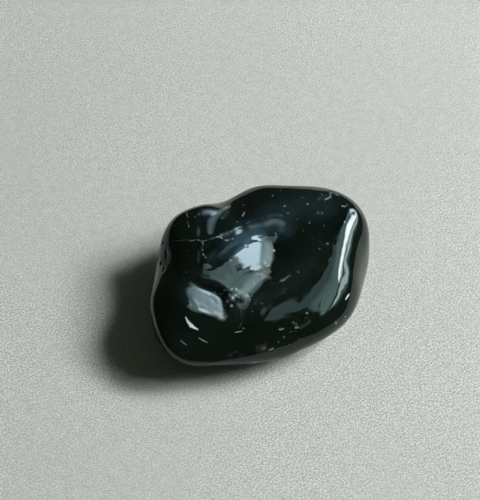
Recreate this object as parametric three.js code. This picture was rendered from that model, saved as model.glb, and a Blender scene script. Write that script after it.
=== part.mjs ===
// Tumbled onyx: one barrel-polished pebble of black onyx, a rounded lozenge in plan with a
// shallow hollow worn across its top face and a flat rubbed patch underneath.
// Units are millimetres, +Z up. The origin is the middle of the footprint, on the resting plane.
// X runs along the pebble, from its narrow shoulder end to its broad end, and Z through its thickness.
import * as THREE from "three";
import { mergeVertices } from "three/addons/utils/BufferGeometryUtils.js";

// ---- driving dimensions -------------------------------------------------------------------
const LENGTH = 35.28; // along X
const WIDTH = 26.72; // along Y
const HEIGHT = 11.23; // along Z, from the resting plane to the highest shoulder

const HALF_LENGTH = 16.0; // half axes of the plain worn body before its swells and hollows
const HALF_WIDTH = 12.4;
const CROWN = 9.2; // from the heart of the pebble up
const BELLY = 5.0; // and down
const SQUARENESS = 2.4; // 2 would be a plain ellipsoid
const BODY_TURN = -3.00; // degrees from X to the plain body's long half axis
const HEART = [-0.866, -1.247, 5.451]; // the point that every radius starts from

const CROWN_FROM = 0.751; // the crown relief fades in between these two heights
const CROWN_FULL = 10.151;
const REST_BLEND = 0.22; // half height over which the belly flattens on to the resting plane
const FACETS = 20; // rows of small facets along each edge of the starting icosahedron

const ONYX_BLACK = 0x0b0f0d;
const ONYX_ROUGHNESS = 0.06;

// ---- swells ---------------------------------------------------------------------------------
// Broad swells (+) and worn-in sides (-) of the whole body:
// [longitude deg, latitude deg, spread deg, change of radius in hundredths of itself].
const SWELLS = [
  [-109.8, 84.3, 14.4, -9.83], [112.7, 80.1, 14.4, -8.84], [-24.8, 77.2, 14.4, -10.74], [-162.3, 74.8, 14.4, -10.85],
  [60.2, 72.7, 14.4, -6.52], [-77.3, 70.9, 14.4, -9.83], [145.2, 69.2, 14.4, -6.47], [7.7, 67.7, 14.4, -16.26],
  [-129.8, 66.2, 14.4, -13.09], [92.7, 64.8, 14.4, -6.55], [-44.8, 63.5, 14.4, -9.85], [177.7, 62.3, 14.4, -7.15],
  [40.2, 61.0, 14.4, -6.35], [-97.4, 59.9, 14.4, -11.87], [125.1, 58.8, 14.4, -6.47], [-12.4, 57.7, 14.4, -9.75],
  [-149.9, 56.6, 14.4, -11.69], [72.6, 55.6, 14.4, -4.43], [-64.9, 54.6, 14.4, -16.30], [157.6, 53.6, 14.4, -5.61],
  [20.1, 52.7, 14.4, -11.49], [-117.4, 51.7, 14.4, -11.66], [105.1, 50.8, 14.4, -6.09], [-32.4, 49.9, 14.4, -10.15],
  [-169.9, 49.0, 14.4, -5.60], [52.6, 48.2, 14.4, -7.04], [-85.0, 47.3, 14.4, -13.55], [137.5, 46.5, 14.4, -2.78],
  [0.0, 45.6, 14.4, -15.61], [-137.5, 44.8, 14.4, -12.01], [85.0, 44.0, 14.4, 1.39], [-52.5, 43.2, 14.4, -12.61],
  [170.0, 42.5, 14.4, -2.91], [32.5, 41.7, 14.4, -6.78], [-105.0, 40.9, 14.4, -10.64], [117.5, 40.2, 14.4, -0.48],
  [-20.0, 39.4, 14.4, -10.45], [-157.5, 38.7, 14.4, -12.16], [65.0, 38.0, 14.4, -2.52], [-72.6, 37.2, 14.4, -7.47],
  [149.9, 36.5, 14.4, -0.44], [12.4, 35.8, 14.4, -12.84], [-125.1, 35.1, 14.4, -13.03], [97.4, 34.4, 14.4, 2.15],
  [-40.1, 33.7, 14.4, -14.48], [-177.6, 33.0, 14.4, -8.34], [44.9, 32.3, 14.4, 1.72], [-92.6, 31.7, 14.4, -12.29],
  [129.9, 31.0, 14.4, -6.05], [-7.6, 30.3, 14.4, -2.97], [-145.1, 29.7, 14.4, -5.28], [77.4, 29.0, 14.4, 2.46],
  [-60.2, 28.4, 14.4, -7.90], [162.3, 27.7, 14.4, -3.21], [24.8, 27.1, 14.4, 2.93], [-112.7, 26.4, 14.4, -11.82],
  [109.8, 25.8, 14.4, 13.20], [-27.7, 25.2, 14.4, -3.10], [-165.2, 24.5, 14.4, -14.01], [57.3, 23.9, 14.4, 1.51],
  [-80.2, 23.3, 14.4, -13.89], [142.3, 22.6, 14.4, -5.38], [4.8, 22.0, 14.4, 7.27], [-132.7, 21.4, 14.4, -11.32],
  [89.7, 20.8, 14.4, 2.59], [-47.8, 20.2, 14.4, -12.80], [174.7, 19.6, 14.4, 6.68], [37.2, 19.0, 14.4, -2.20],
  [-100.3, 18.4, 14.4, -12.53], [122.2, 17.8, 14.4, -7.41], [-15.3, 17.2, 14.4, 5.00], [-152.8, 16.6, 14.4, -14.46],
  [69.7, 16.0, 14.4, -8.75], [-67.8, 15.4, 14.4, -21.55], [154.7, 14.8, 14.4, 9.93], [17.2, 14.2, 14.4, 8.78],
  [-120.3, 13.6, 14.4, -3.73], [102.1, 13.0, 14.4, 2.76], [-35.4, 12.4, 14.4, 3.10], [-172.9, 11.8, 14.4, 12.93],
  [49.6, 11.2, 14.4, 9.59], [-87.9, 10.7, 14.4, -1.10], [134.6, 10.1, 14.4, 1.17], [-2.9, 9.5, 14.4, 6.65],
  [-140.4, 8.9, 14.4, -1.00], [82.1, 8.3, 14.4, 8.98], [-55.4, 7.8, 14.4, -1.89], [167.1, 7.2, 14.4, -2.00],
  [29.6, 6.6, 14.4, -1.26], [-107.9, 6.0, 14.4, -0.88], [114.5, 5.5, 14.4, 8.94], [-23.0, 4.9, 14.4, -2.73],
  [-160.5, 4.3, 14.4, 11.20], [62.0, 3.7, 14.4, 7.49], [-75.5, 3.2, 14.4, 5.71], [147.0, 2.6, 14.4, -2.00],
  [9.5, 2.0, 14.4, -2.29], [-128.0, 1.4, 14.4, -1.71], [94.5, 0.9, 14.4, 0.07], [-43.0, 0.3, 14.4, 3.27],
  [179.5, -0.3, 14.4, -3.04], [42.0, -0.9, 14.4, -1.47], [-95.5, -1.4, 14.4, 3.33], [126.9, -2.0, 14.4, 4.27],
  [-10.6, -2.6, 14.4, 14.55], [-148.1, -3.2, 14.4, 2.67], [74.4, -3.7, 14.4, 1.32], [-63.1, -4.3, 14.4, 12.99],
  [159.4, -4.9, 14.4, -9.52], [21.9, -5.5, 14.4, 2.81], [-115.6, -6.0, 14.4, 0.07], [106.9, -6.6, 14.4, -1.71],
  [-30.6, -7.2, 14.4, -13.37], [-168.1, -7.8, 14.4, -5.39], [54.4, -8.3, 14.4, 4.17], [-83.1, -8.9, 14.4, 1.24],
  [139.3, -9.5, 14.4, -5.94], [1.8, -10.1, 14.4, -12.16], [-135.7, -10.7, 14.4, -2.08], [86.8, -11.2, 14.4, -1.06],
  [-50.7, -11.8, 14.4, -8.63], [171.8, -12.4, 14.4, 5.00], [34.3, -13.0, 14.4, -2.77], [-103.2, -13.6, 14.4, -6.04],
  [119.3, -14.2, 14.4, -6.31], [-18.2, -14.8, 14.4, 9.88], [-155.7, -15.4, 14.4, -21.19], [66.8, -16.0, 14.4, -0.54],
  [-70.7, -16.6, 14.4, -6.52], [151.7, -17.2, 14.4, 5.43], [14.2, -17.8, 14.4, -2.25], [-123.3, -18.4, 14.4, -4.50],
  [99.2, -19.0, 14.4, -1.41], [-38.3, -19.6, 14.4, 11.07], [-175.8, -20.2, 14.4, 0.18], [46.7, -20.8, 14.4, -2.11],
  [-90.8, -21.4, 14.4, -1.94], [131.7, -22.0, 14.4, -4.64], [-5.8, -22.6, 14.4, -1.11], [-143.3, -23.3, 14.4, -4.38],
  [79.2, -23.9, 14.4, -0.21], [-58.3, -24.5, 14.4, -1.11], [164.1, -25.2, 14.4, 9.08], [26.6, -25.8, 14.4, 1.49],
  [-110.9, -26.4, 14.4, 3.12], [111.6, -27.1, 14.4, 0.89], [-25.9, -27.7, 14.4, 9.23], [-163.4, -28.4, 14.4, -3.42],
  [59.1, -29.0, 14.4, 1.12], [-78.4, -29.7, 14.4, -2.39], [144.1, -30.3, 14.4, 3.68], [6.6, -31.0, 14.4, 4.50],
  [91.6, -32.3, 14.4, 1.87], [-45.9, -33.0, 14.4, 8.58], [176.5, -33.7, 14.4, 3.08], [39.0, -34.4, 14.4, 2.38],
  [-98.5, -35.1, 14.4, 1.76], [124.0, -35.8, 14.4, 2.89], [-13.5, -36.5, 14.4, 0.28], [-151.0, -37.2, 14.4, 1.72],
  [71.5, -38.0, 14.4, 2.07], [-66.0, -38.7, 14.4, 2.22], [156.5, -39.4, 14.4, 0.29], [19.0, -40.2, 14.4, 1.89],
  [-118.5, -40.9, 14.4, 0.79], [104.0, -41.7, 14.4, 1.01], [-33.6, -42.5, 14.4, 1.18], [-171.1, -43.2, 14.4, 0.34],
  [51.4, -44.0, 14.4, 1.35], [-86.1, -44.8, 14.4, 1.49], [136.4, -45.6, 14.4, 0.91], [-1.1, -46.5, 14.4, 0.94],
  [-138.6, -47.3, 14.4, -0.07], [83.9, -48.2, 14.4, 0.15], [-53.6, -49.0, 14.4, -1.44], [168.9, -49.9, 14.4, -0.81],
  [31.4, -50.8, 14.4, -1.30], [-106.1, -51.7, 14.4, -0.46], [116.4, -52.7, 14.4, -1.04], [-21.2, -53.6, 14.4, -1.79],
  [-158.7, -54.6, 14.4, -0.52], [63.8, -55.6, 14.4, -0.64], [-73.7, -56.6, 14.4, -0.65], [148.8, -57.7, 14.4, -0.90],
  [11.3, -58.8, 14.4, -1.19], [-126.2, -59.9, 14.4, 0.14], [96.3, -61.0, 14.4, -0.45], [-41.2, -62.3, 14.4, -1.14],
  [-178.7, -63.5, 14.4, -0.10], [43.8, -64.8, 14.4, -0.43], [-93.7, -66.2, 14.4, -0.19], [128.8, -67.7, 14.4, -0.10],
  [-8.8, -69.2, 14.4, 0.44], [-146.3, -70.9, 14.4, 0.18], [76.2, -72.7, 14.4, 0.29], [-61.3, -74.8, 14.4, 0.63],
  [23.7, -80.1, 14.4, 0.37], [-113.8, -84.3, 14.4, -0.61], [-109.8, 85.3, 11.7, -0.61], [112.7, 81.9, 11.7, -1.10],
  [-24.8, 79.5, 11.7, -0.32], [-162.3, 77.6, 11.7, -0.92], [60.2, 75.9, 11.7, -0.46], [-77.3, 74.4, 11.7, -0.52],
  [145.2, 73.1, 11.7, -0.35], [7.7, 71.8, 11.7, -2.01], [-129.8, 70.6, 11.7, -1.43], [92.7, 69.5, 11.7, -0.63],
  [-44.8, 68.4, 11.7, -0.50], [177.7, 67.4, 11.7, -0.38], [40.2, 66.4, 11.7, 0.20], [-97.4, 65.5, 11.7, -0.99],
  [125.1, 64.6, 11.7, 0.30], [-12.4, 63.7, 11.7, -1.66], [-149.9, 62.9, 11.7, -1.01], [72.6, 62.0, 11.7, -0.75],
  [-64.9, 61.2, 11.7, -0.71], [157.6, 60.5, 11.7, -1.23], [20.1, 59.7, 11.7, -1.50], [-117.4, 58.9, 11.7, -0.79],
  [105.1, 58.2, 11.7, -0.48], [-32.4, 57.5, 11.7, 0.11], [52.6, 56.1, 11.7, 0.97], [-85.0, 55.4, 11.7, -0.71],
  [137.5, 54.8, 11.7, -0.52], [0.0, 54.1, 11.7, -0.25], [-137.5, 53.4, 11.7, -0.64], [85.0, 52.8, 11.7, -0.37],
  [-52.5, 52.2, 11.7, -1.93], [170.0, 51.6, 11.7, -0.22], [32.5, 51.0, 11.7, -2.30], [-105.0, 50.4, 11.7, -0.98],
  [117.5, 49.8, 11.7, -2.03], [-20.0, 49.2, 11.7, 0.37], [-157.5, 48.6, 11.7, -1.42], [65.0, 48.0, 11.7, -0.70],
  [-72.6, 47.4, 11.7, -2.18], [12.4, 46.3, 11.7, 0.56], [-125.1, 45.8, 11.7, -0.80], [97.4, 45.2, 11.7, 0.60],
  [-40.1, 44.7, 11.7, -1.76], [-177.6, 44.2, 11.7, 0.48], [44.9, 43.6, 11.7, -1.97], [-92.6, 43.1, 11.7, -0.47],
  [129.9, 42.6, 11.7, -0.18], [-7.6, 42.1, 11.7, -2.52], [-145.1, 41.6, 11.7, -1.34], [77.4, 41.0, 11.7, 0.26],
  [-60.2, 40.5, 11.7, 0.20], [162.3, 40.0, 11.7, 0.30], [24.8, 39.5, 11.7, 1.35], [-112.7, 39.1, 11.7, -1.23],
  [109.8, 38.6, 11.7, 0.41], [-27.7, 38.1, 11.7, -1.31], [-165.2, 37.6, 11.7, -1.46], [57.3, 37.1, 11.7, 0.09],
  [-80.2, 36.6, 11.7, -1.67], [142.3, 36.2, 11.7, 0.95], [4.8, 35.7, 11.7, -5.01], [-132.7, 35.2, 11.7, -0.78],
  [89.7, 34.8, 11.7, -0.39], [-47.8, 34.3, 11.7, -0.65], [174.7, 33.8, 11.7, -1.21], [-100.3, 32.9, 11.7, 0.23],
  [122.2, 32.5, 11.7, 0.89], [-15.3, 32.0, 11.7, 0.69], [-152.8, 31.6, 11.7, 0.62], [-67.8, 30.7, 11.7, 2.64],
  [154.7, 30.2, 11.7, -0.82], [17.2, 29.8, 11.7, -0.14], [-120.3, 29.3, 11.7, -1.33], [102.1, 28.9, 11.7, 0.81],
  [-35.4, 28.5, 11.7, -0.99], [-172.9, 28.0, 11.7, -0.79], [49.6, 27.6, 11.7, 2.22], [-87.9, 27.2, 11.7, -1.92],
  [134.6, 26.7, 11.7, -1.89], [-2.9, 26.3, 11.7, 1.64], [-140.4, 25.9, 11.7, 0.73], [82.1, 25.5, 11.7, 1.76],
  [-55.4, 25.0, 11.7, -2.41], [167.1, 24.6, 11.7, -1.41], [-107.9, 23.8, 11.7, -1.02], [114.5, 23.4, 11.7, 2.46],
  [-23.0, 23.0, 11.7, -0.06], [-160.5, 22.5, 11.7, -2.98], [62.0, 22.1, 11.7, -2.00], [-75.5, 21.7, 11.7, -1.02],
  [147.0, 21.3, 11.7, 0.36], [9.5, 20.9, 11.7, -0.89], [-128.0, 20.5, 11.7, -1.69], [94.5, 20.1, 11.7, -2.65],
  [-43.0, 19.7, 11.7, 0.20], [179.5, 19.3, 11.7, 1.76], [42.0, 18.9, 11.7, -0.67], [-95.5, 18.5, 11.7, -1.64],
  [126.9, 18.1, 11.7, -5.22], [-10.6, 17.7, 11.7, 1.91], [-148.1, 17.3, 11.7, -2.21], [74.4, 16.9, 11.7, -1.35],
  [-63.1, 16.5, 11.7, -5.42], [159.4, 16.1, 11.7, 2.35], [21.9, 15.7, 11.7, 0.84], [-115.6, 15.3, 11.7, 0.16],
  [106.9, 14.9, 11.7, 1.64], [-30.6, 14.5, 11.7, -1.01], [-83.1, 13.3, 11.7, -0.09], [139.3, 12.9, 11.7, 1.02],
  [1.8, 12.5, 11.7, 5.21], [-135.7, 12.1, 11.7, -1.07], [86.8, 11.7, 11.7, 3.63], [-50.7, 11.3, 11.7, 0.16],
  [171.8, 11.0, 11.7, 2.03], [-103.2, 10.2, 11.7, -1.51], [119.3, 9.8, 11.7, 1.33], [-18.2, 9.4, 11.7, -0.86],
  [-155.7, 9.0, 11.7, -0.87], [-70.7, 8.2, 11.7, -1.23], [151.7, 7.9, 11.7, 0.88], [-123.3, 7.1, 11.7, 0.35],
  [99.2, 6.7, 11.7, -1.75], [-38.3, 6.3, 11.7, 3.05], [-175.8, 5.9, 11.7, 1.59], [-90.8, 5.2, 11.7, 1.84],
  [131.7, 4.8, 11.7, 1.75], [-5.8, 4.4, 11.7, -4.43], [-143.3, 4.0, 11.7, 2.24], [-58.3, 3.2, 11.7, 1.43],
  [164.1, 2.9, 11.7, -2.95], [-110.9, 2.1, 11.7, 1.65], [111.6, 1.7, 11.7, 1.72], [-25.9, 1.3, 11.7, -2.89],
  [-163.4, 1.0, 11.7, 5.33], [-78.4, 0.2, 11.7, 0.84], [144.1, -0.2, 11.7, -0.34], [-130.9, -1.0, 11.7, -0.74],
  [-45.9, -1.7, 11.7, 1.70], [176.5, -2.1, 11.7, -2.52], [-98.5, -2.9, 11.7, -0.73], [124.0, -3.2, 11.7, 0.57],
  [-151.0, -4.0, 11.7, -1.07], [-66.0, -4.8, 11.7, 4.37], [156.5, -5.2, 11.7, -2.77], [-118.5, -5.9, 11.7, 0.25],
  [-33.6, -6.7, 11.7, -5.31], [-171.1, -7.1, 11.7, -1.14], [-86.1, -7.9, 11.7, 1.48], [136.4, -8.2, 11.7, -1.01],
  [-138.6, -9.0, 11.7, 2.67], [-53.6, -9.8, 11.7, -2.98], [168.9, -10.2, 11.7, 1.92], [-106.1, -11.0, 11.7, -1.88],
  [-158.7, -12.1, 11.7, -4.70], [-73.7, -12.9, 11.7, -2.42], [148.8, -13.3, 11.7, 0.65],
  [-126.2, -14.1, 11.7, -3.07], [-41.2, -14.9, 11.7, 0.57], [-178.7, -15.3, 11.7, 0.16], [-93.7, -16.1, 11.7, 0.30],
  [-146.3, -17.3, 11.7, -0.89], [-61.3, -18.1, 11.7, 0.08], [161.2, -18.5, 11.7, 2.11], [-113.8, -19.3, 11.7, 1.92],
  [-166.3, -20.5, 11.7, -1.24], [-81.3, -21.3, 11.7, -1.79], [141.2, -21.7, 11.7, 0.50],
  [-133.9, -22.5, 11.7, -0.91], [-48.9, -23.4, 11.7, -0.15], [173.6, -23.8, 11.7, 1.30],
  [-101.4, -24.6, 11.7, -0.81], [-153.9, -25.9, 11.7, -0.45], [-68.9, -26.7, 11.7, -0.35],
  [153.6, -27.2, 11.7, 0.11], [-121.5, -28.0, 11.7, 0.71], [-174.0, -29.3, 11.7, 0.76], [-89.0, -30.2, 11.7, 0.82],
  [-141.5, -31.6, 11.7, 0.62], [166.0, -32.9, 11.7, -0.45], [-109.1, -33.8, 11.7, 0.22], [-161.6, -35.2, 11.7, 0.55],
  [-76.6, -36.2, 11.7, 0.44], [178.4, -39.1, 11.7, -0.11], [-96.7, -40.0, 11.7, 0.13], [-149.2, -41.6, 11.7, 0.08],
  [-116.7, -44.2, 11.7, -0.11], [-169.2, -45.8, 11.7, -0.20], [-136.8, -48.6, 11.7, -0.12],
  [105.0, -77.0, 27.0, 24.00],
];

// ---- crown relief ---------------------------------------------------------------------------
// Low bumps (+) and dips (-) of the top face: [x, y, spread, height], all in millimetres.
const CROWN_RELIEF = [
  [-14.48, -5.93, 1.92, -0.3633], [-12.67, -7.51, 1.92, -0.2169], [-10.86, -9.08, 1.92, -0.0373],
  [-9.05, -10.66, 1.92, 0.0304], [-7.24, -12.23, 1.92, 0.1819], [-15.83, -2.00, 1.92, -0.7219],
  [-14.02, -3.58, 1.92, -0.3476], [-12.21, -5.15, 1.92, -0.2818], [-10.40, -6.73, 1.92, -0.1078],
  [-8.59, -8.30, 1.92, -0.0780], [-6.78, -9.88, 1.92, -0.0104], [-4.97, -11.45, 1.92, 0.0935],
  [-3.16, -13.03, 1.92, 0.2898], [-15.38, 0.35, 1.92, -0.4742], [-11.75, -2.80, 1.92, -0.0325],
  [-9.94, -4.37, 1.92, -0.1915], [-8.13, -5.95, 1.92, -0.0570], [-6.32, -7.52, 1.92, -0.0414],
  [-4.51, -9.10, 1.92, 0.0180], [-0.89, -12.24, 1.92, 0.3233], [-14.92, 2.71, 1.92, -0.4054],
  [-13.11, 1.13, 1.92, 0.0109], [-11.30, -0.44, 1.92, -0.0989], [-9.48, -2.02, 1.92, -0.2667],
  [-7.67, -3.59, 1.92, -0.2332], [-5.86, -5.17, 1.92, -0.1102], [-4.05, -6.74, 1.92, 0.0289],
  [-2.24, -8.31, 1.92, 0.1255], [-0.43, -9.89, 1.92, 0.1216], [1.38, -11.46, 1.92, 0.4093],
  [3.19, -13.04, 1.92, 0.5987], [-14.46, 5.06, 1.92, -0.0050], [-12.65, 3.49, 1.92, -0.2722],
  [-10.84, 1.91, 1.92, -0.1197], [-9.03, 0.34, 1.92, -0.4739], [-7.22, -1.23, 1.92, -0.3593],
  [-5.40, -2.81, 1.92, -0.2600], [-3.59, -4.38, 1.92, -0.1853], [-1.78, -5.96, 1.92, 0.0063],
  [0.03, -7.53, 1.92, 0.1653], [1.84, -9.11, 1.92, 0.3739], [3.65, -10.68, 1.92, 0.2665],
  [5.46, -12.26, 1.92, 0.5375], [-12.19, 5.84, 1.92, -0.3797], [-10.38, 4.27, 1.92, -0.1687],
  [-8.57, 2.70, 1.92, -0.1651], [-6.76, 1.12, 1.92, -0.2388], [-4.95, -0.45, 1.92, -0.2649],
  [-3.13, -2.03, 1.92, -0.2758], [-1.32, -3.60, 1.92, -0.1638], [0.49, -5.18, 1.92, -0.0230],
  [2.30, -6.75, 1.92, 0.1708], [4.11, -8.33, 1.92, 0.3117], [5.92, -9.90, 1.92, 0.1649],
  [7.73, -11.48, 1.92, 1.0661], [-9.92, 6.63, 1.92, -0.2309], [-8.11, 5.05, 1.92, -0.0154],
  [-6.30, 3.48, 1.92, -0.1382], [-4.49, 1.90, 1.92, -0.1475], [-2.68, 0.33, 1.92, -0.2535],
  [-0.87, -1.25, 1.92, -0.2737], [0.95, -2.82, 1.92, -0.1678], [2.76, -4.40, 1.92, -0.0490],
  [6.38, -7.54, 1.92, 0.0701], [8.19, -9.12, 1.92, 0.2499], [-9.46, 8.98, 1.92, -0.3603],
  [-7.65, 7.41, 1.92, 0.1603], [-5.84, 5.83, 1.92, -0.1778], [-4.03, 4.26, 1.92, -0.2617],
  [-2.22, 2.68, 1.92, -0.2287], [-0.41, 1.11, 1.92, -0.2497], [1.40, -0.47, 1.92, -0.2703],
  [3.21, -2.04, 1.92, -0.1897], [5.03, -3.61, 1.92, -0.1776], [6.84, -5.19, 1.92, -0.0922],
  [8.65, -6.76, 1.92, -0.0070], [10.46, -8.34, 1.92, 0.3574], [-7.20, 9.76, 1.92, -0.3560],
  [-5.38, 8.19, 1.92, -0.1215], [-3.57, 6.61, 1.92, -0.3145], [-1.76, 5.04, 1.92, -0.3810],
  [0.05, 3.47, 1.92, -0.3675], [1.86, 1.89, 1.92, -0.3400], [3.67, 0.32, 1.92, -0.2819],
  [5.48, -1.26, 1.92, -0.2929], [7.30, -2.83, 1.92, -0.2704], [9.11, -4.41, 1.92, -0.0908],
  [10.92, -5.98, 1.92, 0.1092], [12.73, -7.56, 1.92, -0.4636], [-4.93, 10.54, 1.92, -0.1829],
  [-3.11, 8.97, 1.92, -0.2891], [-1.30, 7.40, 1.92, -0.2188], [0.51, 5.82, 1.92, -0.4587],
  [2.32, 4.25, 1.92, -0.4459], [4.13, 2.67, 1.92, -0.3714], [5.94, 1.10, 1.92, -0.2863],
  [7.75, -0.48, 1.92, -0.3508], [9.56, -2.05, 1.92, -0.2837], [11.38, -3.63, 1.92, -0.3133],
  [13.19, -5.20, 1.92, -0.1324], [-0.85, 9.75, 1.92, -0.1023], [0.97, 8.18, 1.92, -0.3436],
  [2.78, 6.60, 1.92, -0.4321], [4.59, 5.03, 1.92, -0.3344], [6.40, 3.45, 1.92, -0.3862], [8.21, 1.88, 1.92, -0.3207],
  [10.02, 0.30, 1.92, -0.2943], [11.83, -1.27, 1.92, -0.5057], [13.65, -2.85, 1.92, 0.5766],
  [1.42, 10.53, 1.92, 0.0053], [3.24, 8.96, 1.92, -0.6653], [5.05, 7.38, 1.92, -0.1332], [6.86, 5.81, 1.92, -0.1330],
  [8.67, 4.23, 1.92, -0.1018], [10.48, 2.66, 1.92, -0.0551], [12.29, 1.09, 1.92, -0.2499],
  [14.10, -0.49, 1.92, -0.2430], [5.50, 9.74, 1.92, -0.6934], [7.32, 8.16, 1.92, -0.1490],
  [9.13, 6.59, 1.92, -0.2612], [10.94, 5.02, 1.92, -0.3305], [12.75, 3.44, 1.92, -0.1565],
  [-14.10, -6.95, 1.00, -0.0868], [-12.22, -8.59, 1.00, 0.0405], [-11.27, -9.41, 1.00, -0.0130],
  [-8.44, -11.87, 1.00, 0.0076], [-15.75, -4.08, 1.00, -0.0652], [-14.81, -4.90, 1.00, 0.0535],
  [-13.87, -5.72, 1.00, -0.0865], [-12.92, -6.54, 1.00, 0.0053], [-11.98, -7.36, 1.00, 0.0411],
  [-10.09, -9.00, 1.00, -0.0186], [-8.21, -10.64, 1.00, -0.0115], [-7.26, -11.46, 1.00, -0.0187],
  [-6.32, -12.28, 1.00, 0.0099], [-15.51, -2.86, 1.00, -0.0865], [-14.57, -3.68, 1.00, 0.0291],
  [-13.63, -4.50, 1.00, -0.0291], [-12.68, -5.32, 1.00, 0.0066], [-11.74, -6.14, 1.00, 0.0194],
  [-10.80, -6.96, 1.00, 0.0169], [-9.85, -7.78, 1.00, -0.0045], [-8.91, -8.60, 1.00, 0.0079],
  [-7.97, -9.42, 1.00, 0.0123], [-6.08, -11.06, 1.00, -0.0223], [-5.14, -11.88, 1.00, -0.0192],
  [-16.22, -0.81, 1.00, -0.0404], [-15.28, -1.63, 1.00, 0.0213], [-14.33, -2.45, 1.00, 0.0152],
  [-13.39, -3.27, 1.00, -0.0152], [-12.45, -4.09, 1.00, -0.0158], [-11.50, -4.91, 1.00, -0.0859],
  [-10.56, -5.73, 1.00, -0.0376], [-9.62, -6.55, 1.00, 0.0046], [-8.67, -7.37, 1.00, -0.0158],
  [-7.73, -8.19, 1.00, -0.0219], [-6.79, -9.01, 1.00, 0.0090], [-5.84, -9.83, 1.00, 0.0407],
  [-4.90, -10.65, 1.00, 0.0239], [-3.96, -11.47, 1.00, -0.0161], [-3.01, -12.29, 1.00, -0.0309],
  [-2.07, -13.11, 1.00, 0.0142], [-15.98, 0.42, 1.00, -0.0899], [-15.04, -0.40, 1.00, 0.0253],
  [-13.15, -2.04, 1.00, -0.0396], [-12.21, -2.86, 1.00, -0.0047], [-11.26, -3.68, 1.00, 0.0706],
  [-10.32, -4.50, 1.00, -0.1248], [-9.38, -5.32, 1.00, 0.0570], [-8.43, -6.14, 1.00, -0.0592],
  [-7.49, -6.96, 1.00, -0.0172], [-6.55, -7.78, 1.00, -0.0514], [-5.60, -8.60, 1.00, -0.0308],
  [-4.66, -9.42, 1.00, -0.0161], [-3.72, -10.24, 1.00, 0.0135], [-2.77, -11.06, 1.00, 0.0128],
  [-1.83, -11.88, 1.00, -0.0283], [-0.89, -12.70, 1.00, -0.0304], [0.06, -13.52, 1.00, 0.0558],
  [-15.74, 1.65, 1.00, -0.1006], [-14.80, 0.83, 1.00, 0.0115], [-13.86, 0.01, 1.00, 0.0098],
  [-12.91, -0.81, 1.00, 0.0299], [-11.97, -1.64, 1.00, 0.0537], [-11.03, -2.46, 1.00, 0.0462],
  [-10.08, -3.28, 1.00, 0.0734], [-9.14, -4.10, 1.00, -0.0426], [-8.20, -4.92, 1.00, 0.0982],
  [-7.25, -5.74, 1.00, 0.0520], [-6.31, -6.56, 1.00, 0.0310], [-5.37, -7.38, 1.00, 0.0326],
  [-4.42, -8.20, 1.00, 0.0084], [-3.48, -9.02, 1.00, -0.0624], [-2.54, -9.84, 1.00, 0.0096],
  [-1.59, -10.66, 1.00, 0.0182], [-0.65, -11.48, 1.00, 0.0068], [0.30, -12.30, 1.00, 0.0072],
  [1.24, -13.12, 1.00, 0.0795], [-15.50, 2.87, 1.00, -0.1166], [-14.56, 2.05, 1.00, -0.0341],
  [-13.62, 1.23, 1.00, 0.0185], [-12.67, 0.41, 1.00, 0.0642], [-11.73, -0.41, 1.00, 0.0112],
  [-10.79, -1.23, 1.00, -0.0615], [-9.84, -2.05, 1.00, -0.0297], [-8.90, -2.87, 1.00, -0.0268],
  [-7.96, -3.69, 1.00, -0.1152], [-7.01, -4.51, 1.00, 0.0297], [-6.07, -5.33, 1.00, -0.0402],
  [-5.13, -6.15, 1.00, -0.0151], [-4.18, -6.97, 1.00, 0.0216], [-3.24, -7.79, 1.00, 0.0539],
  [-2.30, -8.61, 1.00, 0.0123], [-1.35, -9.43, 1.00, -0.0384], [-0.41, -10.25, 1.00, -0.0576],
  [0.53, -11.07, 1.00, 0.0144], [1.48, -11.89, 1.00, 0.0884], [-14.32, 3.28, 1.00, -0.1180],
  [-13.38, 2.46, 1.00, 0.0197], [-12.44, 1.64, 1.00, 0.0581], [-11.49, 0.82, 1.00, -0.0210],
  [-10.55, 0, 1.00, -0.0568], [-9.61, -0.82, 1.00, 0.0250], [-8.66, -1.64, 1.00, 0.0325],
  [-7.72, -2.46, 1.00, -0.0278], [-6.78, -3.28, 1.00, -0.0196], [-5.83, -4.10, 1.00, -0.0100],
  [-4.89, -4.92, 1.00, -0.0199], [-3.94, -5.74, 1.00, -0.0138], [-3.00, -6.56, 1.00, -0.0110],
  [-2.06, -7.38, 1.00, 0.0364], [-1.11, -8.20, 1.00, 0.0442], [-0.17, -9.02, 1.00, 0.0258],
  [0.77, -9.84, 1.00, -0.0062], [1.72, -10.66, 1.00, -0.0346], [2.66, -11.48, 1.00, -0.0184],
  [3.60, -12.30, 1.00, -0.0858], [-14.08, 4.51, 1.00, -0.1048], [-13.14, 3.69, 1.00, -0.0183],
  [-12.20, 2.87, 1.00, 0.0446], [-11.25, 2.05, 1.00, 0.0227], [-10.31, 1.23, 1.00, -0.0734],
  [-9.37, 0.41, 1.00, -0.0978], [-8.42, -0.41, 1.00, -0.1365], [-7.48, -1.23, 1.00, -0.0189],
  [-5.59, -2.87, 1.00, -0.0463], [-4.65, -3.69, 1.00, -0.0352], [-3.71, -4.51, 1.00, -0.0058],
  [-2.76, -5.33, 1.00, -0.0074], [-1.82, -6.15, 1.00, -0.0102], [-0.88, -6.97, 1.00, 0.0074],
  [1.01, -8.61, 1.00, 0.0451], [1.95, -9.44, 1.00, 0.0701], [2.90, -10.26, 1.00, 0.0448],
  [3.84, -11.08, 1.00, 0.0098], [4.78, -11.90, 1.00, -0.0798], [-13.85, 5.73, 1.00, -0.0512],
  [-12.90, 4.91, 1.00, -0.1074], [-11.96, 4.09, 1.00, 0.0262], [-11.01, 3.27, 1.00, 0.0193],
  [-9.13, 1.63, 1.00, -0.0212], [-8.18, 0.81, 1.00, 0.0300], [-6.30, -0.83, 1.00, 0.0181],
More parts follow.
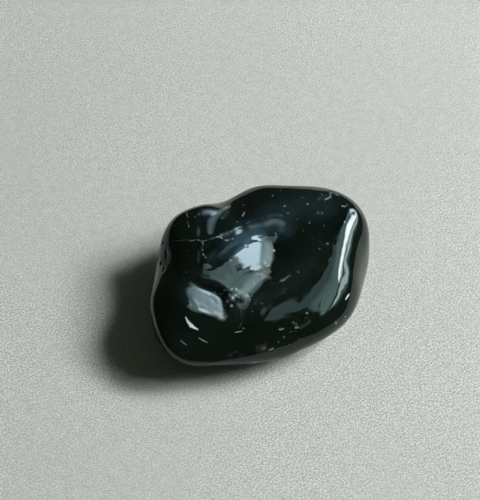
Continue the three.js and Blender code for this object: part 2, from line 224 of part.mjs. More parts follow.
  [-5.35, -1.65, 1.00, 0.0589], [-3.47, -3.29, 1.00, -0.0092], [-1.58, -4.93, 1.00, -0.0114],
  [-0.64, -5.75, 1.00, 0.0054], [0.31, -6.57, 1.00, -0.0513], [2.19, -8.21, 1.00, -0.0289],
  [3.14, -9.03, 1.00, 0.0700], [4.08, -9.85, 1.00, 0.0722], [5.02, -10.67, 1.00, -0.0050],
  [5.97, -11.49, 1.00, -0.0891], [-12.66, 6.14, 1.00, -0.1045], [-11.72, 5.32, 1.00, -0.0701],
  [-10.78, 4.50, 1.00, 0.0077], [-9.83, 3.68, 1.00, 0.0159], [-7.00, 1.22, 1.00, 0.0184],
  [-6.06, 0.40, 1.00, -0.0463], [-5.12, -0.42, 1.00, -0.0201], [-4.17, -1.24, 1.00, -0.0514],
  [-3.23, -2.06, 1.00, -0.0161], [-2.29, -2.88, 1.00, -0.0154], [-1.34, -3.70, 1.00, -0.0094],
  [-0.40, -4.52, 1.00, 0.0054], [0.54, -5.34, 1.00, -0.0192], [1.49, -6.16, 1.00, 0.0491],
  [2.43, -6.98, 1.00, 0.0336], [4.32, -8.62, 1.00, 0.0059], [5.26, -9.44, 1.00, 0.0766],
  [6.20, -10.26, 1.00, -0.0776], [7.15, -11.08, 1.00, 0.0196], [-11.48, 6.55, 1.00, -0.0674],
  [-10.54, 5.73, 1.00, -0.0697], [-9.59, 4.91, 1.00, 0.0203], [-8.65, 4.09, 1.00, -0.0065],
  [-7.71, 3.27, 1.00, -0.0371], [-6.76, 2.45, 1.00, -0.0342], [-5.82, 1.63, 1.00, -0.0098],
  [-4.88, 0.81, 1.00, 0.0135], [-3.93, -0.01, 1.00, -0.0749], [-1.10, -2.47, 1.00, -0.0165],
  [0.78, -4.11, 1.00, -0.0277], [1.73, -4.93, 1.00, 0.0110], [2.67, -5.75, 1.00, 0.0150],
  [3.61, -6.57, 1.00, -0.0197], [4.56, -7.39, 1.00, -0.0252], [5.50, -8.21, 1.00, 0.0113],
  [6.44, -9.03, 1.00, 0.0853], [7.39, -9.85, 1.00, -0.2125], [8.33, -10.67, 1.00, 0.1448],
  [-11.24, 7.77, 1.00, 0.0296], [-10.30, 6.95, 1.00, -0.0818], [-9.36, 6.13, 1.00, -0.0246],
  [-8.41, 5.31, 1.00, 0.0265], [-7.47, 4.49, 1.00, 0.0190], [-6.53, 3.67, 1.00, 0.0072], [-4.64, 2.03, 1.00, 0.0158],
  [-2.75, 0.39, 1.00, -0.0078], [-1.81, -0.43, 1.00, -0.0241], [-0.87, -1.25, 1.00, -0.0157],
  [0.08, -2.07, 1.00, -0.0067], [1.96, -3.71, 1.00, -0.0055], [2.91, -4.53, 1.00, -0.0081],
  [3.85, -5.35, 1.00, 0.0067], [5.74, -6.99, 1.00, -0.0307], [6.68, -7.81, 1.00, 0.0509],
  [7.62, -8.63, 1.00, -0.0305], [8.57, -9.45, 1.00, -0.0332], [9.51, -10.27, 1.00, 0.1705],
  [-10.06, 8.18, 1.00, -0.1066], [-9.12, 7.36, 1.00, 0.0761], [-8.17, 6.54, 1.00, 0.0145],
  [-7.23, 5.72, 1.00, 0.0079], [-6.29, 4.90, 1.00, -0.0213], [-4.40, 3.26, 1.00, 0.0043],
  [-3.46, 2.44, 1.00, -0.0094], [-2.51, 1.62, 1.00, 0.0160], [-1.57, 0.80, 1.00, -0.0044],
  [-0.63, -0.02, 1.00, -0.0358], [0.32, -0.84, 1.00, -0.0145], [1.26, -1.66, 1.00, -0.0399],
  [2.20, -2.48, 1.00, 0.0097], [3.15, -3.30, 1.00, -0.0041], [4.09, -4.12, 1.00, -0.0325],
  [5.98, -5.76, 1.00, 0.0123], [6.92, -6.58, 1.00, -0.0272], [7.86, -7.40, 1.00, 0.0832],
  [8.81, -8.22, 1.00, -0.1289], [9.75, -9.04, 1.00, 0.0091], [-8.88, 8.59, 1.00, -0.0444],
  [-7.94, 7.77, 1.00, 0.1602], [-6.99, 6.95, 1.00, -0.0060], [-6.05, 6.13, 1.00, -0.0358],
  [-5.11, 5.31, 1.00, -0.0280], [-4.16, 4.49, 1.00, 0.0088], [-3.22, 3.67, 1.00, 0.0093],
  [-2.28, 2.85, 1.00, -0.0114], [-1.33, 2.03, 1.00, 0.0296], [-0.39, 1.21, 1.00, -0.0211],
  [0.55, 0.39, 1.00, -0.0048], [1.50, -0.43, 1.00, -0.0191], [2.44, -1.25, 1.00, -0.0146],
  [3.38, -2.07, 1.00, -0.0099], [4.33, -2.89, 1.00, 0.0072], [5.27, -3.71, 1.00, -0.0128],
  [6.22, -4.53, 1.00, -0.0113], [7.16, -5.35, 1.00, 0.0126], [8.10, -6.17, 1.00, -0.0694],
  [9.05, -6.99, 1.00, 0.0402], [9.99, -7.81, 1.00, -0.1049], [10.93, -8.63, 1.00, 0.1507],
  [-7.70, 8.99, 1.00, 0.0852], [-6.75, 8.17, 1.00, 0.0750], [-5.81, 7.35, 1.00, -0.0157],
  [-4.87, 6.53, 1.00, -0.0257], [-3.92, 5.71, 1.00, -0.0166], [-2.98, 4.89, 1.00, -0.0490],
  [-2.04, 4.07, 1.00, -0.0342], [-1.09, 3.25, 1.00, -0.0209], [-0.15, 2.43, 1.00, -0.0211],
  [1.74, 0.79, 1.00, 0.0209], [2.68, -0.03, 1.00, -0.0359], [3.62, -0.85, 1.00, 0.0290],
  [4.57, -1.67, 1.00, -0.0265], [6.45, -3.31, 1.00, -0.0113], [7.40, -4.13, 1.00, -0.0090],
  [8.34, -4.95, 1.00, 0.0057], [9.28, -5.77, 1.00, 0.0379], [10.23, -6.59, 1.00, 0.0127],
  [11.17, -7.41, 1.00, 0.0753], [12.11, -8.23, 1.00, 0.0573], [-6.52, 9.40, 1.00, 0.0745],
  [-5.57, 8.58, 1.00, 0.0261], [-4.63, 7.76, 1.00, -0.0301], [-3.69, 6.94, 1.00, -0.0230],
  [-2.74, 6.12, 1.00, -0.0218], [-1.80, 5.30, 1.00, -0.0637], [-0.86, 4.48, 1.00, -0.0344],
  [0.09, 3.66, 1.00, -0.0084], [1.03, 2.84, 1.00, -0.0162], [1.98, 2.02, 1.00, 0.0081], [2.92, 1.20, 1.00, -0.0712],
  [3.86, 0.38, 1.00, 0.0197], [4.81, -0.44, 1.00, -0.0440], [5.75, -1.26, 1.00, -0.0219],
  [6.69, -2.08, 1.00, -0.0214], [7.64, -2.90, 1.00, -0.0104], [9.52, -4.54, 1.00, -0.0490],
  [10.47, -5.36, 1.00, 0.0282], [11.41, -6.18, 1.00, -0.0271], [12.35, -7.00, 1.00, 0.1753],
  [-5.33, 9.81, 1.00, -0.0204], [-4.39, 8.99, 1.00, -0.0316], [-3.45, 8.17, 1.00, -0.0284],
  [-2.50, 7.35, 1.00, 0.0125], [-1.56, 6.53, 1.00, 0.0893], [-0.62, 5.71, 1.00, -0.0053],
  [0.33, 4.89, 1.00, -0.0212], [1.27, 4.07, 1.00, 0.0249], [2.21, 3.25, 1.00, -0.0627], [4.10, 1.61, 1.00, -0.0382],
  [5.04, 0.79, 1.00, 0.0226], [5.99, -0.03, 1.00, -0.0197], [6.93, -0.85, 1.00, -0.0401],
  [7.87, -1.67, 1.00, -0.0319], [8.82, -2.49, 1.00, -0.0206], [9.76, -3.31, 1.00, 0.0264],
  [11.65, -4.95, 1.00, 0.0231], [12.59, -5.77, 1.00, -0.0139], [-4.15, 10.22, 1.00, 0.0522],
  [-3.21, 9.40, 1.00, -0.0512], [-2.26, 8.58, 1.00, 0.0166], [-1.32, 7.76, 1.00, -0.0439],
  [-0.38, 6.94, 1.00, -0.0396], [0.57, 6.12, 1.00, -0.0239], [1.51, 5.30, 1.00, -0.0270],
  [2.45, 4.48, 1.00, -0.0862], [3.40, 3.66, 1.00, -0.0397], [4.34, 2.84, 1.00, -0.0040], [5.28, 2.01, 1.00, 0.0079],
  [6.23, 1.19, 1.00, 0.0308], [8.11, -0.45, 1.00, -0.0295], [9.06, -1.27, 1.00, -0.0230],
  [10.00, -2.09, 1.00, -0.0084], [12.83, -4.55, 1.00, 0.0317], [13.77, -5.37, 1.00, -0.0097],
  [-2.97, 10.62, 1.00, 0.0715], [-2.03, 9.80, 1.00, 0.1364], [-1.08, 8.98, 1.00, 0.0070],
  [-0.14, 8.16, 1.00, -0.0515], [0.80, 7.34, 1.00, -0.0078], [1.75, 6.52, 1.00, -0.0199],
  [2.69, 5.70, 1.00, -0.0101], [3.63, 4.88, 1.00, 0.0650], [4.58, 4.06, 1.00, -0.0323], [5.52, 3.24, 1.00, -0.0322],
  [6.46, 2.42, 1.00, -0.0455], [9.29, -0.04, 1.00, -0.0222], [11.18, -1.68, 1.00, -0.0185],
  [12.12, -2.50, 1.00, -0.1136], [13.07, -3.32, 1.00, -0.0348], [14.01, -4.14, 1.00, -0.3557],
  [-1.79, 11.03, 1.00, -0.0274], [0.10, 9.39, 1.00, -0.0459], [1.04, 8.57, 1.00, -0.0057],
  [1.99, 7.75, 1.00, -0.0465], [2.93, 6.93, 1.00, -0.1026], [3.87, 6.11, 1.00, 0.0092], [4.82, 5.29, 1.00, -0.0297],
  [5.76, 4.47, 1.00, -0.0294], [6.70, 3.65, 1.00, -0.0167], [7.65, 2.83, 1.00, -0.0286], [8.59, 2.01, 1.00, -0.0335],
  [9.53, 1.19, 1.00, -0.0216], [10.48, 0.37, 1.00, -0.0310], [11.42, -0.45, 1.00, 0.0389],
  [12.36, -1.27, 1.00, 0.0260], [13.31, -2.09, 1.00, -0.2679], [14.25, -2.91, 1.00, -0.0092],
  [0.34, 10.62, 1.00, 0.0477], [2.22, 8.98, 1.00, 0.0183], [3.17, 8.16, 1.00, -0.0245], [4.11, 7.34, 1.00, 0.0120],
  [5.05, 6.52, 1.00, -0.0041], [6.00, 5.70, 1.00, -0.0180], [6.94, 4.88, 1.00, -0.0270], [8.83, 3.24, 1.00, -0.0080],
  [9.77, 2.42, 1.00, -0.0281], [10.71, 1.60, 1.00, -0.0127], [11.66, 0.78, 1.00, 0.0116],
  [12.60, -0.04, 1.00, -0.0606], [13.54, -0.86, 1.00, -0.0781], [14.49, -1.68, 1.00, -0.0612],
  [2.46, 10.20, 1.00, -0.1131], [3.41, 9.38, 1.00, -0.0051], [4.35, 8.56, 1.00, 0.1034], [5.29, 7.74, 1.00, -0.0332],
  [6.24, 6.92, 1.00, -0.0062], [7.18, 6.10, 1.00, -0.0553], [8.12, 5.28, 1.00, -0.0888], [9.07, 4.46, 1.00, -0.0672],
  [10.01, 3.64, 1.00, -0.0284], [10.95, 2.82, 1.00, -0.0343], [11.90, 2.00, 1.00, -0.0058],
  [12.84, 1.18, 1.00, -0.0049], [13.78, 0.36, 1.00, 0.0591], [4.59, 9.79, 1.00, -0.0302], [5.53, 8.97, 1.00, 0.0275],
  [6.47, 8.15, 1.00, 0.0593], [7.42, 7.33, 1.00, 0.0889], [8.36, 6.51, 1.00, 0.1600], [9.30, 5.69, 1.00, 0.2320],
  [10.25, 4.87, 1.00, 0.1992], [11.19, 4.05, 1.00, 0.1577], [12.14, 3.23, 1.00, 0.1095], [13.08, 2.41, 1.00, 0.1067],
  [14.02, 1.59, 1.00, 0.0472], [6.71, 9.38, 1.00, -0.0888], [7.66, 8.56, 1.00, -0.0373], [8.60, 7.74, 1.00, -0.0333],
  [9.54, 6.92, 1.00, -0.0539], [10.49, 6.10, 1.00, -0.0745], [11.43, 5.28, 1.00, -0.0665],
  [-6.92, -7.00, 0.64, -0.0043], [-5.72, -8.05, 0.64, -0.0106], [-6.17, -6.74, 0.64, 0.0102],
  [-5.56, -7.26, 0.64, 0.0116], [-4.96, -7.79, 0.64, 0.0117], [-4.36, -8.31, 0.64, 0.0062],
  [-3.75, -8.84, 0.64, -0.0148], [-6.01, -5.95, 0.64, -0.0054], [-4.81, -7.00, 0.64, -0.0045],
  [-4.20, -7.53, 0.64, 0.0057], [-3.60, -8.05, 0.64, 0.0205], [-2.39, -9.10, 0.64, -0.0086],
  [-1.79, -9.62, 0.64, -0.0066], [-0.58, -10.67, 0.64, 0.0043], [0.02, -11.20, 0.64, 0.0127],
  [0.63, -11.72, 0.64, 0.0163], [-4.05, -6.74, 0.64, -0.0046], [-3.45, -7.26, 0.64, -0.0040],
  [-2.84, -7.79, 0.64, 0.0050], [-2.24, -8.31, 0.64, 0.0050], [-1.03, -9.36, 0.64, -0.0077],
  [-0.43, -9.89, 0.64, -0.0146], [0.18, -10.41, 0.64, -0.0150], [0.78, -10.94, 0.64, -0.0044],
  [1.38, -11.46, 0.64, 0.0190], [1.99, -11.99, 0.64, 0.0048], [-8.73, -1.76, 0.64, 0.0229],
  [-2.69, -7.00, 0.64, -0.0060], [-2.09, -7.53, 0.64, 0.0042], [-1.48, -8.05, 0.64, 0.0092],
  [0.33, -9.63, 0.64, 0.0051], [0.93, -10.15, 0.64, -0.0161], [1.54, -10.68, 0.64, -0.0175],
  [2.74, -11.73, 0.64, -0.0041], [-10.39, 0.60, 0.64, 0.0183], [-9.78, 0.08, 0.64, 0.0305],
  [-9.18, -0.45, 0.64, 0.0204], [-8.58, -0.97, 0.64, -0.0207], [-7.97, -1.50, 0.64, -0.0385],
  [0.48, -8.84, 0.64, 0.0166], [1.08, -9.37, 0.64, 0.0213], [2.29, -10.42, 0.64, -0.0062],
  [2.90, -10.94, 0.64, 0.0040], [3.50, -11.47, 0.64, 0.0118], [-10.84, 1.91, 0.64, -0.0048],
  [-10.23, 1.39, 0.64, -0.0095], [-9.63, 0.86, 0.64, -0.0270], [-9.03, 0.34, 0.64, -0.0378],
  [-8.42, -0.19, 0.64, -0.0180], [-7.82, -0.71, 0.64, -0.0182], [-7.22, -1.23, 0.64, 0.0236],
  [2.44, -9.63, 0.64, 0.0116], [4.26, -11.21, 0.64, -0.0082], [-9.48, 1.65, 0.64, -0.0084],
  [-8.27, 0.60, 0.64, 0.0129], [-7.67, 0.08, 0.64, 0.0117], [-7.06, -0.45, 0.64, 0.0204],
  [-6.46, -0.97, 0.64, 0.0046], [-5.86, -1.50, 0.64, -0.0116], [3.20, -9.37, 0.64, 0.0096],
  [3.81, -9.90, 0.64, -0.0110], [4.41, -10.42, 0.64, 0.0268], [5.01, -10.95, 0.64, -0.0102],
  [-9.93, 2.96, 0.64, 0.0077], [-9.33, 2.44, 0.64, 0.0116], [-8.72, 1.91, 0.64, 0.0164], [-8.12, 1.39, 0.64, 0.0217],
  [-7.51, 0.86, 0.64, 0.0094], [-6.91, 0.34, 0.64, -0.0193], [-6.31, -0.19, 0.64, -0.0151],
  [-5.70, -0.71, 0.64, -0.0071], [3.96, -9.11, 0.64, 0.0178], [4.56, -9.64, 0.64, -0.0099],
  [5.17, -10.16, 0.64, 0.0264], [5.77, -10.69, 0.64, -0.0241], [-9.17, 3.22, 0.64, -0.0046],
  [-8.57, 2.70, 0.64, -0.0062], [-7.96, 2.17, 0.64, -0.0141], [-7.36, 1.65, 0.64, -0.0096],
  [-5.55, 0.07, 0.64, -0.0054], [5.32, -9.38, 0.64, -0.0278], [5.92, -9.90, 0.64, 0.0377],
  [6.53, -10.43, 0.64, -0.0365], [-7.21, 2.43, 0.64, -0.0076], [-6.60, 1.91, 0.64, 0.0078],
  [-6.00, 1.38, 0.64, 0.0043], [6.07, -9.12, 0.64, 0.0258], [7.28, -10.17, 0.64, -0.0259],
  [-5.24, 1.64, 0.64, -0.0172], [-3.43, 0.07, 0.64, 0.0073], [-2.83, -0.46, 0.64, -0.0050],
  [6.23, -8.33, 0.64, -0.0617], [6.83, -8.86, 0.64, 0.0466], [7.43, -9.38, 0.64, -0.0347],
  [-6.90, 4.00, 0.64, 0.0049], [-5.09, 2.43, 0.64, 0.0042], [-2.07, -0.20, 0.64, -0.0040],
  [-1.47, -0.72, 0.64, -0.0081], [6.98, -8.07, 0.64, -0.0140], [7.59, -8.59, 0.64, 0.0294],
  [8.19, -9.12, 0.64, -0.0181], [-3.13, 1.64, 0.64, 0.0105], [-0.71, -0.46, 0.64, -0.0082],
  [-0.11, -0.99, 0.64, 0.0077], [8.34, -8.33, 0.64, -0.0452], [8.95, -8.86, 0.64, 0.0379],
  [-3.58, 2.95, 0.64, -0.0105], [-2.98, 2.42, 0.64, 0.0042], [-1.16, 0.85, 0.64, -0.0068],
  [-0.56, 0.32, 0.64, -0.0041], [0.04, -0.20, 0.64, 0.0187], [0.65, -0.73, 0.64, -0.0124],
  [8.50, -7.55, 0.64, 0.0295], [9.10, -8.07, 0.64, -0.0312], [-3.43, 3.73, 0.64, 0.0057],
  [-1.62, 2.16, 0.64, -0.0043], [0.20, 0.58, 0.64, -0.0117], [0.80, 0.06, 0.64, -0.0142],
  [9.86, -7.81, 0.64, -0.0167], [-2.67, 3.99, 0.64, 0.0062], [-2.07, 3.47, 0.64, 0.0042],
  [-1.46, 2.94, 0.64, -0.0094], [9.41, -6.50, 0.64, 0.0334], [10.01, -7.03, 0.64, -0.0270],
  [10.61, -7.55, 0.64, -0.0157], [-1.31, 3.73, 0.64, 0.0068], [-0.10, 2.68, 0.64, -0.0047],
  [0.50, 2.15, 0.64, -0.0055], [9.56, -5.72, 0.64, -0.0085], [10.16, -6.24, 0.64, 0.0451],
  [10.77, -6.77, 0.64, -0.0297], [-0.55, 3.99, 0.64, 0.0091], [0.05, 3.47, 0.64, -0.0056],
  [10.31, -5.46, 0.64, -0.0226], [10.92, -5.98, 0.64, 0.0046], [11.52, -6.51, 0.64, -0.0190],
  [1.41, 3.20, 0.64, 0.0103], [2.01, 2.68, 0.64, -0.0217], [2.62, 2.15, 0.64, 0.0265], [11.07, -5.20, 0.64, 0.0267],
  [11.67, -5.72, 0.64, -0.0092], [1.56, 3.99, 0.64, 0.0231], [2.77, 2.94, 0.64, -0.0065],
  [11.83, -4.94, 0.64, 0.0054], [12.43, -5.46, 0.64, -0.0241], [13.03, -5.99, 0.64, 0.0360],
  [2.92, 3.72, 0.64, -0.0107], [11.98, -4.15, 0.64, 0.0181], [12.58, -4.68, 0.64, -0.0125],
  [13.19, -5.20, 0.64, -0.0324], [12.74, -3.89, 0.64, 0.0171], [13.34, -4.42, 0.64, 0.0047],
  [13.94, -4.94, 0.64, 0.0540], [13.49, -3.63, 0.64, 0.0763], [14.10, -4.16, 0.64, -0.0107],
  [14.25, -3.37, 0.64, 0.0117], [14.40, -2.58, 0.64, 0.0477], [-1.50, -14.00, 0.95, 0.1391],
  [-0.40, -14.00, 0.95, 0.3943], [0.70, -14.00, 0.95, 0.7185], [1.80, -14.00, 0.95, 0.8950],
  [2.90, -14.00, 0.95, 0.9126], [4.00, -14.00, 0.95, 0.8643], [5.10, -14.00, 0.95, 1.0447],
  [-4.25, -13.05, 0.95, -0.0496], [-3.15, -13.05, 0.95, 0.0381], [-2.05, -13.05, 0.95, 0.1749],
  [-0.95, -13.05, 0.95, 0.2112], [0.15, -13.05, 0.95, -0.0070], [1.25, -13.05, 0.95, -0.2722],
  [2.35, -13.05, 0.95, -0.4346], [3.45, -13.05, 0.95, -0.3918], [4.55, -13.05, 0.95, -0.3560],
  [5.65, -13.05, 0.95, 0.2447], [6.75, -13.05, 0.95, 0.7191], [7.85, -13.05, 0.95, 0.7310],
  [-7.00, -12.09, 0.95, -0.0013], [-5.90, -12.09, 0.95, -0.0109], [-4.80, -12.09, 0.95, -0.1058],
  [-3.70, -12.09, 0.95, -0.0414], [-2.60, -12.09, 0.95, 0.1345], [-1.50, -12.09, 0.95, 0.0770],
  [-0.40, -12.09, 0.95, -0.0055], [0.70, -12.09, 0.95, 0.1627], [1.80, -12.09, 0.95, 0.2937],
  [2.90, -12.09, 0.95, 0.3870], [4.00, -12.09, 0.95, 0.3497], [5.10, -12.09, 0.95, -0.0276],
  [6.20, -12.09, 0.95, -0.3665], [7.30, -12.09, 0.95, -0.1842], [8.40, -12.09, 0.95, 0.3466],
  [9.50, -12.09, 0.95, 0.2504], [-8.65, -11.14, 0.95, 0.0574], [-7.55, -11.14, 0.95, -0.0912],
  [-6.45, -11.14, 0.95, 0.0691], [-5.35, -11.14, 0.95, -0.3139], [-4.25, -11.14, 0.95, -0.5110],
  [-3.15, -11.14, 0.95, 0.2991], [-2.05, -11.14, 0.95, -0.0081], [-0.95, -11.14, 0.95, 0.0503],
  [0.15, -11.14, 0.95, 0.1183], [1.25, -11.14, 0.95, -0.0788], [2.35, -11.14, 0.95, -0.0747],
  [3.45, -11.14, 0.95, -0.2131], [4.55, -11.14, 0.95, 0.1183], [5.65, -11.14, 0.95, 0.4094],
  [6.75, -11.14, 0.95, 0.3296], [7.85, -11.14, 0.95, -0.5370], [8.95, -11.14, 0.95, 0.8560],
  [10.05, -11.14, 0.95, 0.5409], [11.15, -11.14, 0.95, 0.5741], [-10.30, -10.19, 0.95, -0.0772],
  [-9.20, -10.19, 0.95, 0.0236], [-8.10, -10.19, 0.95, 0.0583], [-7.00, -10.19, 0.95, 0.0057],
  [-5.90, -10.19, 0.95, 0.1170], [-4.80, -10.19, 0.95, 0.2845], [-3.70, -10.19, 0.95, 0.3683],
  [-2.60, -10.19, 0.95, -0.1930], [-1.50, -10.19, 0.95, 0.1787], [-0.40, -10.19, 0.95, -0.0507],
  [0.70, -10.19, 0.95, 0.0456], [1.80, -10.19, 0.95, 0.1483], [2.90, -10.19, 0.95, 0.1690],
  [4.00, -10.19, 0.95, 0.2445], [5.10, -10.19, 0.95, -0.3637], [6.20, -10.19, 0.95, -0.0714],
  [7.30, -10.19, 0.95, 0.6026], [8.40, -10.19, 0.95, -0.1158], [9.50, -10.19, 0.95, -0.1976],
  [10.60, -10.19, 0.95, -0.1761], [11.70, -10.19, 0.95, 0.5962], [-11.95, -9.24, 0.95, -0.0796],
  [-10.85, -9.24, 0.95, -0.0636], [-9.75, -9.24, 0.95, -0.1048], [-8.65, -9.24, 0.95, -0.0719],
  [-7.55, -9.24, 0.95, -0.0055], [-6.45, -9.24, 0.95, 0.0593], [-5.35, -9.24, 0.95, -0.1252],
  [-4.25, -9.24, 0.95, 0.0650], [-3.15, -9.24, 0.95, 0.0174], [-2.05, -9.24, 0.95, 0.0659],
  [-0.95, -9.24, 0.95, -0.0066], [0.15, -9.24, 0.95, 0.1586], [1.25, -9.24, 0.95, -0.0025],
  [2.35, -9.24, 0.95, 0.0081], [3.45, -9.24, 0.95, -0.1159], [4.55, -9.24, 0.95, 0.2253],
  [5.65, -9.24, 0.95, 0.0768], [6.75, -9.24, 0.95, -0.1005], [7.85, -9.24, 0.95, -0.0180],
  [8.95, -9.24, 0.95, 0.0620], [10.05, -9.24, 0.95, -0.0304], [11.15, -9.24, 0.95, -0.1404],
  [12.25, -9.24, 0.95, 0.3117], [13.35, -9.24, 0.95, 0.7501], [-13.60, -8.28, 0.95, -0.0651],
  [-12.50, -8.28, 0.95, -0.0371], [-11.40, -8.28, 0.95, -0.1529], [-10.30, -8.28, 0.95, 0.1611],
  [-9.20, -8.28, 0.95, 0.0380], [-8.10, -8.28, 0.95, 0.0291], [-7.00, -8.28, 0.95, -0.1008],
  [-5.90, -8.28, 0.95, 0.0013], [-4.80, -8.28, 0.95, -0.0442], [-3.70, -8.28, 0.95, -0.0061],
  [-2.60, -8.28, 0.95, 0.0359], [-1.50, -8.28, 0.95, 0.0678], [-0.40, -8.28, 0.95, 0.0146],
  [0.70, -8.28, 0.95, -0.0904], [1.80, -8.28, 0.95, 0.0625], [2.90, -8.28, 0.95, 0.1541],
  [4.00, -8.28, 0.95, 0.0294], [5.10, -8.28, 0.95, 0.0115], [6.20, -8.28, 0.95, 0.0932], [7.30, -8.28, 0.95, 0.0317],
  [8.40, -8.28, 0.95, 0.0455], [9.50, -8.28, 0.95, 0.0998], [10.60, -8.28, 0.95, 0.0969],
  [11.70, -8.28, 0.95, -0.2038], [12.80, -8.28, 0.95, -0.2351], [13.90, -8.28, 0.95, 0.5099],
  [15.00, -8.28, 0.95, 0.6232], [-15.25, -7.33, 0.95, -0.0812], [-14.15, -7.33, 0.95, -0.0056],
  [-13.05, -7.33, 0.95, -0.0423], [-11.95, -7.33, 0.95, -0.2170], [-10.85, -7.33, 0.95, -0.2866],
  [-9.75, -7.33, 0.95, -0.1715], [-8.65, -7.33, 0.95, -0.1099], [-7.55, -7.33, 0.95, 0.0374],
  [-6.45, -7.33, 0.95, -0.0579], [-5.35, -7.33, 0.95, 0.0217], [-4.25, -7.33, 0.95, 0.0218],
  [-3.15, -7.33, 0.95, 0.0320], [-2.05, -7.33, 0.95, 0.0100], [-0.95, -7.33, 0.95, -0.0251],
  [0.15, -7.33, 0.95, 0.0581], [1.25, -7.33, 0.95, 0.1509], [2.35, -7.33, 0.95, -0.0042],
  [3.45, -7.33, 0.95, 0.0492], [4.55, -7.33, 0.95, 0.0456], [5.65, -7.33, 0.95, 0.0351], [6.75, -7.33, 0.95, 0.0344],
  [7.85, -7.33, 0.95, -0.0331], [8.95, -7.33, 0.95, 0.0278], [10.05, -7.33, 0.95, 0.0305],
  [11.15, -7.33, 0.95, 0.0871], [12.25, -7.33, 0.95, 0.1107], [13.35, -7.33, 0.95, -0.2835],
  [14.45, -7.33, 0.95, -0.1234], [15.55, -7.33, 0.95, 0.1423], [16.65, -7.33, 0.95, -0.0120],
  [-15.80, -6.38, 0.95, -0.0823], [-14.70, -6.38, 0.95, -0.0405], [-13.60, -6.38, 0.95, -0.2344],
  [-12.50, -6.38, 0.95, -0.2786], [-11.40, -6.38, 0.95, -0.0858], [-10.30, -6.38, 0.95, -0.0961],
  [-9.20, -6.38, 0.95, -0.2985], [-8.10, -6.38, 0.95, -0.1020], [-7.00, -6.38, 0.95, -0.0433],
  [-5.90, -6.38, 0.95, -0.0008], [-4.80, -6.38, 0.95, 0.0177], [-3.70, -6.38, 0.95, 0.0285],
  [-2.60, -6.38, 0.95, 0.0292], [-1.50, -6.38, 0.95, 0.0159], [-0.40, -6.38, 0.95, 0.1095],
  [0.70, -6.38, 0.95, -0.0188], [1.80, -6.38, 0.95, 0.0513], [2.90, -6.38, 0.95, -0.0046],
  [4.00, -6.38, 0.95, -0.0036], [5.10, -6.38, 0.95, 0.0302], [6.20, -6.38, 0.95, 0.0042],
  [7.30, -6.38, 0.95, 0.0817], [8.40, -6.38, 0.95, 0.2064], [9.50, -6.38, 0.95, -0.0303],
  [11.70, -6.38, 0.95, 0.0536], [12.80, -6.38, 0.95, 0.1128], [13.90, -6.38, 0.95, 0.1818],
  [15.00, -6.38, 0.95, 0.1174], [16.10, -6.38, 0.95, 0.0861], [17.20, -6.38, 0.95, -0.1381],
  [-17.45, -5.43, 0.95, -0.0304], [-16.35, -5.43, 0.95, 0.0024], [-15.25, -5.43, 0.95, -0.2410],
  [-14.15, -5.43, 0.95, -0.2030], [-13.05, -5.43, 0.95, 0.0357], [-11.95, -5.43, 0.95, -0.0636],
  [-10.85, -5.43, 0.95, -0.1975], [-9.75, -5.43, 0.95, -0.0104], [-8.65, -5.43, 0.95, -0.0749],
  [-7.55, -5.43, 0.95, -0.1400], [-6.45, -5.43, 0.95, -0.0508], [-5.35, -5.43, 0.95, 0.0263],
  [-4.25, -5.43, 0.95, 0.0281], [-3.15, -5.43, 0.95, 0.0337], [-2.05, -5.43, 0.95, 0.0203],
  [-0.95, -5.43, 0.95, 0.0139], [0.15, -5.43, 0.95, 0.0591], [1.25, -5.43, 0.95, -0.1232],
  [2.35, -5.43, 0.95, -0.0791], [3.45, -5.43, 0.95, -0.0012], [4.55, -5.43, 0.95, -0.0255],
  [5.65, -5.43, 0.95, 0.0303], [6.75, -5.43, 0.95, 0.0379], [7.85, -5.43, 0.95, -0.0878],
  [8.95, -5.43, 0.95, 0.0706], [10.05, -5.43, 0.95, 0.0899], [11.15, -5.43, 0.95, 0.0506],
  [12.25, -5.43, 0.95, 0.0170], [13.35, -5.43, 0.95, 0.0902], [15.55, -5.43, 0.95, 0.0914],
  [16.65, -5.43, 0.95, 0.2358], [17.75, -5.43, 0.95, -0.4134], [-18.00, -4.47, 0.95, -0.0342],
  [-16.90, -4.47, 0.95, -0.1302], [-15.80, -4.47, 0.95, -0.2269], [-14.70, -4.47, 0.95, -0.1267],
  [-13.60, -4.47, 0.95, -0.0438], [-12.50, -4.47, 0.95, -0.3800], [-11.40, -4.47, 0.95, -0.0576],
  [-10.30, -4.47, 0.95, -0.0625], [-9.20, -4.47, 0.95, -0.0700], [-8.10, -4.47, 0.95, -0.0720],
  [-7.00, -4.47, 0.95, -0.0492], [-5.90, -4.47, 0.95, -0.0091], [-4.80, -4.47, 0.95, -0.0009],
  [-3.70, -4.47, 0.95, 0.0118], [-2.60, -4.47, 0.95, 0.0244], [-1.50, -4.47, 0.95, 0.0055],
  [-0.40, -4.47, 0.95, 0.0215], [0.70, -4.47, 0.95, -0.0257], [1.80, -4.47, 0.95, 0.0635],
  [2.90, -4.47, 0.95, 0.0039], [4.00, -4.47, 0.95, 0.0260], [6.20, -4.47, 0.95, -0.0469],
  [7.30, -4.47, 0.95, 0.0780], [8.40, -4.47, 0.95, 0.1123], [9.50, -4.47, 0.95, -0.0487],
  [10.60, -4.47, 0.95, -0.0406], [11.70, -4.47, 0.95, 0.0751], [12.80, -4.47, 0.95, 0.0475],
  [13.90, -4.47, 0.95, 0.0563], [15.00, -4.47, 0.95, -0.1055], [16.10, -4.47, 0.95, 0.0688],
  [17.20, -4.47, 0.95, 0.1021], [18.30, -4.47, 0.95, -0.3203], [-17.45, -3.52, 0.95, 0.0058],
  [-16.35, -3.52, 0.95, -0.2851], [-15.25, -3.52, 0.95, 0.0473], [-14.15, -3.52, 0.95, -0.2380],
